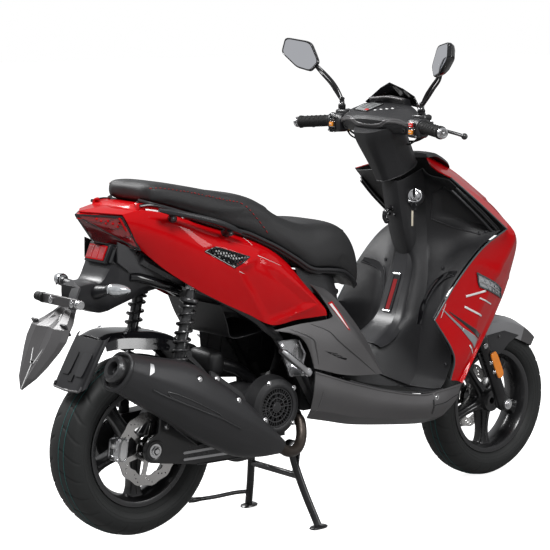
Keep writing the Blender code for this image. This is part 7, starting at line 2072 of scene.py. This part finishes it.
def build_fan_cover():
    cover = Shape()
    middle = Vector((0.390, -0.094, 0.362))
    cover.lathe([(0.0560, 0.046), (0.0600, 0.048), (0.0680, 0.0465), (0.0790, 0.0400), (0.0865, 0.0150),
                 (0.0865, 0.0), (0.0560, 0.0), (0.0530, 0.034)], middle, (0.0, -1.0, 0.0), 64, mat=0)
    face = middle - ACROSS * 0.0385
    for radius in (0.0535, 0.0400, 0.0265, 0.0130):
        cover.lathe([(radius - 0.0013, 0.0), (radius - 0.0013, 0.0045), (radius + 0.0013, 0.0045),
                     (radius + 0.0013, 0.0)], face, (0.0, -1.0, 0.0), 56, mat=0)
    for k in range(36):
        angle = 2.0 * math.pi * k / 36
        out = Vector((math.cos(angle), 0.0, math.sin(angle)))
        inner = 0.0130 if k % 3 == 0 else (0.0265 if k % 3 == 1 else 0.0400)
        cover.box(face + out * (inner + 0.0535) / 2.0 - ACROSS * 0.0022, (0.0535 - inner, 0.0042, 0.0022),
                  turn=Matrix((out, ACROSS, out.cross(ACROSS))).transposed(), bevel=0.0005, mat=0)
    cover.rod(face + ACROSS * 0.002, face - ACROSS * 0.0055, 0.0135, 0.0120, 32, mat=0, chamfer=0.001)
    cover.rod(face + ACROSS * 0.014, face + ACROSS * 0.012, 0.0535, sides=48, mat=1)
    for k in range(14):
        angle = 2.0 * math.pi * k / 14
        out = Vector((math.cos(angle), 0.0, math.sin(angle)))
        cover.box(face + out * 0.036 + ACROSS * 0.010, (0.026, 0.010, 0.0016),
                  turn=Matrix((out, ACROSS, out.cross(ACROSS))).transposed() @ Matrix.Rotation(0.5, 3, "X"), mat=2)
    for degrees in (38, 112, 205, 318):
        angle = math.radians(degrees)
        spot = middle + Vector((math.cos(angle), 0.0, math.sin(angle))) * 0.0760
        cover.rod(spot, spot - ACROSS * 0.0430, 0.0085, 0.0078, 24, mat=0, chamfer=0.001)
        cover.bolt(spot - ACROSS * 0.0425, (0.0, -1.0, 0.0), 0.0055, mat=3)
    cover.done("fan_cover", "engine", [CAST, GLOSS_BLACK, SATIN, BRIGHT], "fan_shroud", angle=38.0)


def build_cvt():
    case = Shape()

    def belt(shrink):
        ring = []
        for k in range(16):
            angle = math.radians(100.0 + 162.0 * k / 15)
            ring.append((math.cos(angle) * (0.064 - shrink), 0.2945 + math.sin(angle) * (0.064 - shrink)))
        for k in range(16):
            angle = math.radians(-80.0 + 162.0 * k / 15)
            ring.append((0.375 + math.cos(angle) * (0.078 - shrink), 0.300 + math.sin(angle) * (0.078 - shrink)))
        return ring

    case.plate(belt(0.0), (0.0, 0.0, 0.0), AHEAD, UP, -0.128, -0.0735, mat=0, bevel=0.003)
    case.plate(belt(0.006), (0.0, 0.0, 0.0), AHEAD, UP, -0.140, -0.120, mat=0, bevel=0.006)
    case.plate(belt(0.022), (0.0, 0.0, 0.0), AHEAD, UP, -0.1455, -0.130, mat=1, bevel=0.003)
    for k, (x, z) in enumerate(belt(0.0040)):
        if k % 4 == 1:
            case.rod((x, 0.118, z), (x, 0.1395, z), 0.0080, 0.0075, 20, mat=0, chamfer=0.001)
            case.bolt((x, 0.1392, z), (0.0, 1.0, 0.0), 0.0050, mat=2)
    for k in range(7):
        x = 0.120 + 0.022 * k
        case.box((x, 0.1460, 0.2975), (0.0070, 0.0030, 0.060), turn=turn_y(14.0), bevel=0.001, mat=1)
    case.lathe([(0.0001, 0.0), (0.030, 0.0), (0.033, -0.003), (0.033, -0.010)], (0.375, 0.149, 0.300),
               (0.0, 1.0, 0.0), 40, mat=1, closed=False)
    lug = Vector((SHOCK_FOOT[0], 0.096, SHOCK_FOOT[2]))
    case.rod(lug - ACROSS * 0.010, lug + ACROSS * 0.004, 0.0150, mat=0, chamfer=0.001)
    case.loft([oval((lug.x, y, lug.z - d), 0.016, 0.008, AHEAD, ACROSS, 20, 0.7)
               for y, d in ((0.092, 0.006), (0.092, 0.030), (0.094, 0.055))], mat=0)
    case.done("belt_case", "engine", [CAST, STEEL, BRIGHT], "cvt_case", angle=36.0)


def build_engine():
    core = Shape()
    loops = []
    for x, low, top, wide in ((0.272, 0.225, 0.340, 0.066), (0.292, 0.212, 0.378, 0.074), (0.330, 0.205, 0.400, 0.075),
                              (0.400, 0.215, 0.410, 0.073), (0.430, 0.250, 0.390, 0.062)):
        loops.append([Vector((x, -0.0075 + wide * 0.9 * a, (low + top) / 2.0 + (top - low) / 2.0 * b)) for a, b in (
            (-1.0, 0.6), (-0.7, 1.0), (0.7, 1.0), (1.0, 0.6), (1.0, -0.6), (0.7, -1.0), (-0.7, -1.0), (-1.0, -0.6))])
    core.loft(loops, smooth=4)
    for k in range(8):
        y = -0.046 + 0.0105 * k
        core.box((0.458, y, 0.300), (0.074, 0.0026, 0.094), bevel=0.0010, mat=0)
    core.box((0.462, -0.010, 0.300), (0.062, 0.080, 0.072), bevel=0.006, mat=0)
    core.box((0.494, -0.010, 0.300), (0.018, 0.062, 0.066), bevel=0.005, mat=1)
    for y, z in ((-0.034, 0.327), (0.014, 0.327), (-0.034, 0.273), (0.014, 0.273)):
        core.bolt((0.5025, y, z), (1.0, 0.0, 0.0), 0.0052, mat=2)
    core.tube(catmull([(0.440, 0.0, 0.345), (0.425, 0.002, 0.400), (0.370, 0.006, 0.450), (0.290, 0.010, 0.480)], 7),
              0.0165, 20, mat=3)
    core.loft([oval((0.275, y, 0.480), a, b, AHEAD, UP, 28, 0.7) for y, a, b in (
        (-0.022, 0.018, 0.022), (-0.012, 0.026, 0.034), (0.030, 0.028, 0.037), (0.075, 0.026, 0.035),
        (0.092, 0.018, 0.020))], smooth=3, mat=0)
    core.bolt((0.2755, 0.0915, 0.480), ACROSS, 0.006, mat=2)
    core.loft([oval((0.235, y, 0.470), a, b, AHEAD, UP, 28, 0.55) for y, a, b in (
        (0.088, 0.056, 0.046), (0.094, 0.064, 0.054), (0.128, 0.064, 0.054), (0.136, 0.056, 0.046))],
        smooth=2, mat=3)
    for k in range(6):
        core.box((0.195 + 0.016 * k, 0.1365, 0.470), (0.004, 0.003, 0.076), bevel=0.001, mat=3)
    for x, z in ((0.185, 0.510), (0.285, 0.510), (0.185, 0.430), (0.285, 0.430)):
        core.bolt((x, 0.1345, z), ACROSS, 0.0042, mat=2)
    core.rod((0.330, -0.060, 0.240), (0.330, -0.088, 0.240), 0.0180, 0.0170, 28, mat=0, chamfer=0.002)
    core.bolt((0.330, -0.088, 0.240), (0.0, -1.0, 0.0), 0.0085, mat=2)
    core.done("engine_core", "engine", [CAST, ALLOY, BRIGHT, SATIN], "engine_case", angle=36.0)


def build_swing_arm():
    arm = Shape()
    hub = REAR_AXLE
    outline = [(math.cos(math.radians(a)) * 0.034, 0.2945 + math.sin(math.radians(a)) * 0.034)
               for a in range(110, 251, 10)]
    outline += [(0.140, 0.236), (0.300, 0.232), (0.322, 0.250), (0.322, 0.276), (0.300, 0.292), (0.140, 0.288),
                (0.066, 0.345), (0.058, 0.398), (0.022, 0.398), (0.012, 0.340)]
    arm.plate(outline, (0.0, -0.099, 0.0), AHEAD, UP, -0.005, 0.005, mat=0, bevel=0.0020)
    spot = Vector((hub.x, -0.104, hub.z))
    arm.lathe([(0.0150, 0.0), (0.0235, 0.0035), (0.0265, 0.0035), (0.0285, 0.0), (0.0285, -0.004)], spot,
              (0.0, -1.0, 0.0), 44, mat=0, closed=False)
    arm.bolt(spot - ACROSS * 0.0005, (0.0, -1.0, 0.0), 0.0140, mat=1, height=0.0075)
    arm.rod(spot - ACROSS * 0.007, spot - ACROSS * 0.0115, 0.0072, sides=24, mat=1, chamfer=0.001)
    for low, high in (((0.095, 0.2560), (0.275, 0.2500)), ((0.095, 0.2740), (0.275, 0.2720))):
        ring = [(low[0], low[1] - 0.0035), (high[0], high[1] - 0.0035), (high[0] + 0.004, high[1]),
                (high[0], high[1] + 0.0035), (low[0], low[1] + 0.0035), (low[0] - 0.004, low[1])]
        arm.plate(ring, (0.0, -0.1045, 0.0), AHEAD, UP, -0.0002, 0.0012, mat=2, bevel=0.0004)
    edge = [(x, -0.1045, z) for x, z in outline[15:]]
    arm.tube(edge, 0.0022, 8, mat=0)
    for x, z in ((0.040, 0.355), (0.300, 0.262)):
        arm.bolt((x, -0.104, z), (0.0, -1.0, 0.0), 0.0070, mat=1)
    arm.rod((0.300, -0.094, 0.262), (0.300, -0.072, 0.262), 0.0130, mat=0, chamfer=0.001)
    lug = Vector((SHOCK_FOOT[0], -0.104, SHOCK_FOOT[2]))
    arm.rod(lug, lug + ACROSS * 0.012, 0.0140, mat=0, chamfer=0.001)
    arm.done("swing_plate", "engine", [STEEL, BRIGHT, ALLOY], "swing_arm", angle=38.0)


def build_stand():
    stand = Shape()
    for _, side in SIDES:
        leg = catmull(flip([(0.482, 0.088, 0.232), (0.490, 0.096, 0.180), (0.506, 0.120, 0.100),
                            (0.526, 0.154, 0.010)], side), 7)
        stand.tube(leg, 0.0108, 18, mat=0)
        pad = [oval((0.522 + 0.004 * k, (0.153 + 0.001 * k) * side, z), a, b, AHEAD, ACROSS, 24, 0.6)
               for k, (z, a, b) in enumerate(((0.0, 0.021, 0.013), (0.002, 0.025, 0.017), (0.006, 0.025, 0.017),
                                              (0.009, 0.018, 0.012)))]
        stand.loft(pad, mat=0)
        stand.lathe([(0.0075, -0.011), (0.0170, -0.011), (0.0180, -0.008), (0.0180, 0.008), (0.0170, 0.011),
                     (0.0075, 0.011)], (0.482, 0.088 * side, 0.232), ACROSS, 32, mat=0)
        stand.bolt((0.482, 0.0990 * side, 0.232), (0.0, side, 0.0), 0.0095, mat=1)
        stand.box((0.494, 0.098 * side, 0.190), (0.006, 0.020, 0.070), turn=turn_y(8.0), bevel=0.001, mat=0)
    stand.tube([(0.498, -0.106, 0.145), (0.498, 0.106, 0.145)], 0.0092, 18, mat=0)
    tang = catmull([(0.516, 0.140, 0.050), (0.470, 0.150, 0.051), (0.400, 0.160, 0.048), (0.318, 0.168, 0.050)], 6)
    stand.tube(tang, [0.0060] * (len(tang) - 3) + [0.0072, 0.0080, 0.0070], 14, mat=0)
    stand.box((0.322, 0.1655, 0.054), (0.026, 0.016, 0.004), turn=turn_y(-6.0), bevel=0.0012, mat=0)
    for k in range(4):
        stand.box((0.314 + 0.005 * k, 0.1655, 0.0565), (0.0016, 0.014, 0.0016), mat=0)
    stand.tube(catmull([(0.488, 0.094, 0.196), (0.470, 0.100, 0.205), (0.452, 0.104, 0.222)], 5), 0.0042, 12, mat=1)
    stand.done("main_stand", "centre_stand", [STEEL, BRIGHT], "centre_stand", angle=38.0)


def build_pegs():
    frame = Shape()
    run = Vector((-0.80, 0.0, 0.60)).normalized()
    up = run.cross(ACROSS).normalized() * -1.0
    for label, side in SIDES:
        pivot = Vector((0.462, 0.182 * side, 0.458))
        peg = Shape()
        loops = []
        for t, wide, tall in ((-0.010, 0.007, 0.006), (-0.006, 0.011, 0.009), (0.004, 0.012, 0.010),
                              (0.016, 0.009, 0.008), (0.026, 0.012, 0.008), (0.100, 0.013, 0.008),
                              (0.114, 0.012, 0.007), (0.120, 0.008, 0.005)):
            loops.append(oval(pivot + run * t, wide, tall, ACROSS, up, 24, 0.55))
        peg.loft(loops, mat=0)
        for k in range(9):
            peg.box(pivot + run * (0.032 + 0.0095 * k) + up * 0.0070, (0.0042, 0.0225, 0.0045),
                    turn=Matrix((run, ACROSS, up)).transposed(), bevel=0.0008, mat=1)
        peg.rod(pivot - up * 0.012 + ACROSS * 0.0, pivot + up * 0.012, 0.0062, mat=2, chamfer=0.0008)
        peg.ball(pivot + run * 0.016 - up * 0.008, 0.0042, mat=2)
        peg.done("peg_" + label, "footpeg_" + label, [ALLOY, CAST, BRIGHT], "footpeg_" + label, angle=36.0)
        outline = rounded([Vector((x, z, 0.0)) for x, z in ((0.395, 0.545), (0.470, 0.545), (0.500, 0.500),
                           (0.478, 0.440), (0.440, 0.440), (0.425, 0.480))], 0.14, 4)
        frame.plate([(p.x, p.y) for p in outline], (0.0, 0.1300 * side, 0.0), AHEAD, UP, -0.004, 0.004, mat=0,
                    bevel=0.0014)
        frame.loft([oval((0.462, y * side, 0.458), a, b, AHEAD, UP, 20, 0.6)
                    for y, a, b in ((0.132, 0.018, 0.018), (0.140, 0.013, 0.012), (0.156, 0.011, 0.010),
                                    (0.168, 0.013, 0.012))], mat=0)
        for x, z in ((0.412, 0.530), (0.466, 0.528), (0.448, 0.470)):
            frame.bolt((x, 0.1345 * side, z), (0.0, side, 0.0), 0.0062, mat=1)
        for start, end in (((0.400, 0.540), (0.430, 0.480)), ((0.470, 0.540), (0.494, 0.500)),
                           ((0.494, 0.500), (0.476, 0.445))):
            frame.tube([(start[0], 0.1345 * side, start[1]), (end[0], 0.1345 * side, end[1])], 0.0028, 8, mat=0)
    frame.done("peg_brackets", "chassis", [ALLOY, BRIGHT], angle=36.0)


HEAT = surface("heat_darkened_steel", (0.062, 0.050, 0.042), 0.40, metal=0.7, grain=0.4, grain_scale=500.0,
               vary=0.35, vary_scale=30.0)
build_exhaust()
build_hugger()
build_springs()
build_fan_cover()
build_cvt()
build_engine()
build_swing_arm()
build_stand()
build_pegs()
build_caliper("rear_brake_caliper", "rear_caliper", "engine", REAR_AXLE, 172.0, -0.0720, -1.0, 0.0115, True)


# ---- dark inner panels that close the bays -------------------------------------------
def build_inner_panels():
    front = Shape()
    low = [(0.470, 0.126, 0.680), (0.540, 0.120, 0.662), (0.610, 0.110, 0.640), (0.664, 0.075, 0.616),
           (0.690, 0.0, 0.602)]
    high = [(0.470, 0.118, 0.742), (0.540, 0.110, 0.718), (0.605, 0.098, 0.706), (0.654, 0.060, 0.692),
            (0.671, 0.0, 0.680)]
    rows = []
    for share in (0.0, 0.5, 1.0):
        half = [Vector(a).lerp(Vector(b), share) + AHEAD * 0.006 * math.sin(math.pi * share)
                for a, b in zip(low, high)]
        rows.append(flip(half, -1.0) + half[-2::-1])
    front.skin(rows, 8, 7)
    front.done("bucket_front", "chassis", BLACK, solid=0.0024, bevel=0.0006)
    rear = Shape()
    rows = []
    for x, z, half in ((0.566, 0.600, 0.138), (0.592, 0.520, 0.140), (0.598, 0.450, 0.140), (0.575, 0.395, 0.130),
                       (0.520, 0.372, 0.120)):
        rows.append([(x + 0.010 * (1.0 - abs(k) / 4.0), half * k / 4.0, z) for k in range(-4, 5)])
    rear.skin(rows, 6, 3)
    for k in (-2, -1, 0, 1, 2):
        rear.tube([(0.5945 + 0.004, 0.045 * k, 0.540), (0.600, 0.045 * k, 0.455)], 0.0030, 8)
    rear.done("rear_bulkhead", "chassis", BLACK, solid=0.0024, bevel=0.0006)
    guard = Shape()
    outline = rounded([Vector((x, z, 0.0)) for x, z in ((0.318, 0.604), (0.328, 0.470), (0.352, 0.412),
                       (0.470, 0.398), (0.575, 0.400), (0.596, 0.450), (0.598, 0.585), (0.450, 0.612))], 0.12, 4)
    guard.plate([(p.x, p.y) for p in outline], (0.0, 0.1200, 0.0), AHEAD, UP, -0.0013, 0.0013, mat=0, bevel=0.0006)
    for k in range(5):
        guard.box((0.352 + 0.050 * k, 0.1180, 0.520), (0.0035, 0.0040, 0.110), turn=turn_y(10.0), bevel=0.001)
        guard.box((0.352 + 0.050 * k, 0.1220, 0.520), (0.0035, 0.0040, 0.110), turn=turn_y(10.0), bevel=0.001)
    for x, z in ((0.340, 0.580), (0.370, 0.430), (0.560, 0.430), (0.575, 0.570)):
        guard.bolt((x, 0.1215, z), (0.0, 1.0, 0.0), 0.0055, mat=1)
    guard.done("bay_guard", "chassis", [BLACK, BRIGHT])
    inner = Shape()
    rows = []
    for degrees in (22, 34, 46, 58, 70):
        angle = math.radians(degrees)
        out = Vector((math.cos(angle), 0.0, math.sin(angle)))
        reach = 0.2680 + 0.012 * max(0.0, (degrees - 46) / 24.0)
        row = [(-0.078, -0.014), (-0.074, -0.002), (-0.050, 0.0), (0.0, 0.001), (0.050, 0.0), (0.076, -0.002),
               (0.080, -0.014)]
        rows.append([REAR_AXLE + out * (reach + lift) + ACROSS * y for y, lift in row])
    inner.skin(rows, 5, 4, cuts_v=(1, 5))
    inner.done("hugger_front", "engine", BLACK, solid=0.0024, bevel=0.0006)
    shelf = Shape()
    rows = []
    for x, z, half in ((0.212, 0.662, 0.118), (0.236, 0.606, 0.114), (0.262, 0.566, 0.100), (0.330, 0.566, 0.096),
                       (0.420, 0.580, 0.096)):
        rows.append([(x, half * k / 3.0, z) for k in range(-3, 4)])
    shelf.skin(rows, 6, 4)
    shelf.done("bay_shelf", "chassis", BLACK, solid=0.0024, bevel=0.0006)


build_inner_panels()
# The tubes, the bar and the bucket keep their CAD shape and take a worked surface.
for node, mat in (("main_frame", STEEL), ("handlebar", STEEL), ("storage_bucket", BLACK)):
    for place in frame["nodes"][node].material_slots:
        place.material = mat


# ---- stage, light and camera ------------------------------------------------------
def build_stage():
    floor = Shape()
    floor.grid([[(-30, -30, 0), (-30, 30, 0)], [(30, -30, 0), (30, 30, 0)]])
    mesh = bpy.data.meshes.new("floor")
    floor.bm.to_mesh(mesh)
    floor.bm.free()
    obj = bpy.data.objects.new("floor", mesh)
    bpy.context.scene.collection.objects.link(obj)
    pale = bpy.data.materials.new("floor")
    pale.use_nodes = True
    nodes, links = pale.node_tree.nodes, pale.node_tree.links
    shader = nodes["Principled BSDF"]
    shader.inputs["Base Color"].default_value = (0.80, 0.80, 0.80, 1.0)
    shader.inputs["Roughness"].default_value = 0.9
    glow = nodes.new("ShaderNodeEmission")
    glow.inputs["Strength"].default_value = 0.92
    both = nodes.new("ShaderNodeAddShader")
    links.new(shader.outputs["BSDF"], both.inputs[0])
    links.new(glow.outputs["Emission"], both.inputs[1])
    dim = nodes.new("ShaderNodeBsdfDiffuse")
    dim.inputs["Color"].default_value = (0.34, 0.34, 0.34, 1.0)
    path = nodes.new("ShaderNodeLightPath")
    choose = nodes.new("ShaderNodeMixShader")
    links.new(path.outputs["Is Camera Ray"], choose.inputs["Fac"])
    links.new(dim.outputs["BSDF"], choose.inputs[1])
    links.new(both.outputs["Shader"], choose.inputs[2])
    links.new(choose.outputs["Shader"], nodes["Material Output"].inputs["Surface"])
    mesh.materials.append(pale)


def add_light(name, at, aim, power, size):
    data = bpy.data.lights.new(name, "AREA")
    data.energy = power
    data.shape = "RECTANGLE"
    data.size, data.size_y = size
    obj = bpy.data.objects.new(name, data)
    obj.location = at
    obj.rotation_euler = (Vector(aim) - Vector(at)).to_track_quat("-Z", "Y").to_euler()
    bpy.context.scene.collection.objects.link(obj)


def build_light_and_camera():
    bpy.context.scene.view_settings.view_transform = "Standard"
    world = bpy.data.worlds.new("studio")
    world.use_nodes = True
    nodes, links = world.node_tree.nodes, world.node_tree.links
    fill = nodes["Background"]
    fill.inputs["Color"].default_value = (1.0, 1.0, 1.0, 1.0)
    fill.inputs["Strength"].default_value = 0.20
    plain = nodes.new("ShaderNodeBackground")
    plain.inputs["Color"].default_value = (1.0, 1.0, 1.0, 1.0)
    shine = nodes.new("ShaderNodeBackground")
    shine.inputs["Color"].default_value = (0.97, 0.98, 1.0, 1.0)
    shine.inputs["Strength"].default_value = 0.42
    path = nodes.new("ShaderNodeLightPath")
    surfaces = nodes.new("ShaderNodeMixShader")
    links.new(path.outputs["Is Glossy Ray"], surfaces.inputs["Fac"])
    links.new(fill.outputs["Background"], surfaces.inputs[1])
    links.new(shine.outputs["Background"], surfaces.inputs[2])
    choose = nodes.new("ShaderNodeMixShader")
    links.new(path.outputs["Is Camera Ray"], choose.inputs["Fac"])
    links.new(surfaces.outputs["Shader"], choose.inputs[1])
    links.new(plain.outputs["Background"], choose.inputs[2])
    links.new(choose.outputs["Shader"], nodes["World Output"].inputs["Surface"])
    bpy.context.scene.world = world
    add_light("key", (-1.9, -2.3, 4.2), (0.0, 0.0, 0.6), 170.0, (1.8, 1.2))
    add_light("side", (1.8, -3.6, 2.0), (0.1, 0.0, 0.6), 50.0, (1.0, 2.4))
    add_light("back", (-1.2, 2.8, 3.4), (0.0, 0.0, 0.6), 150.0, (2.0, 1.2))
    camera = bpy.data.cameras.new("camera")
    camera.sensor_width = 36.0
    camera.lens = 127.1
    view = bpy.data.objects.new("camera", camera)
    view.location = (-3.56915, -4.1296, 1.4937)
    view.rotation_euler = (math.radians(90.0 - 8.35), 0.0, math.radians(50.09 - 90.0))
    bpy.context.scene.collection.objects.link(view)
    bpy.context.scene.camera = view


build_stage()
build_light_and_camera()
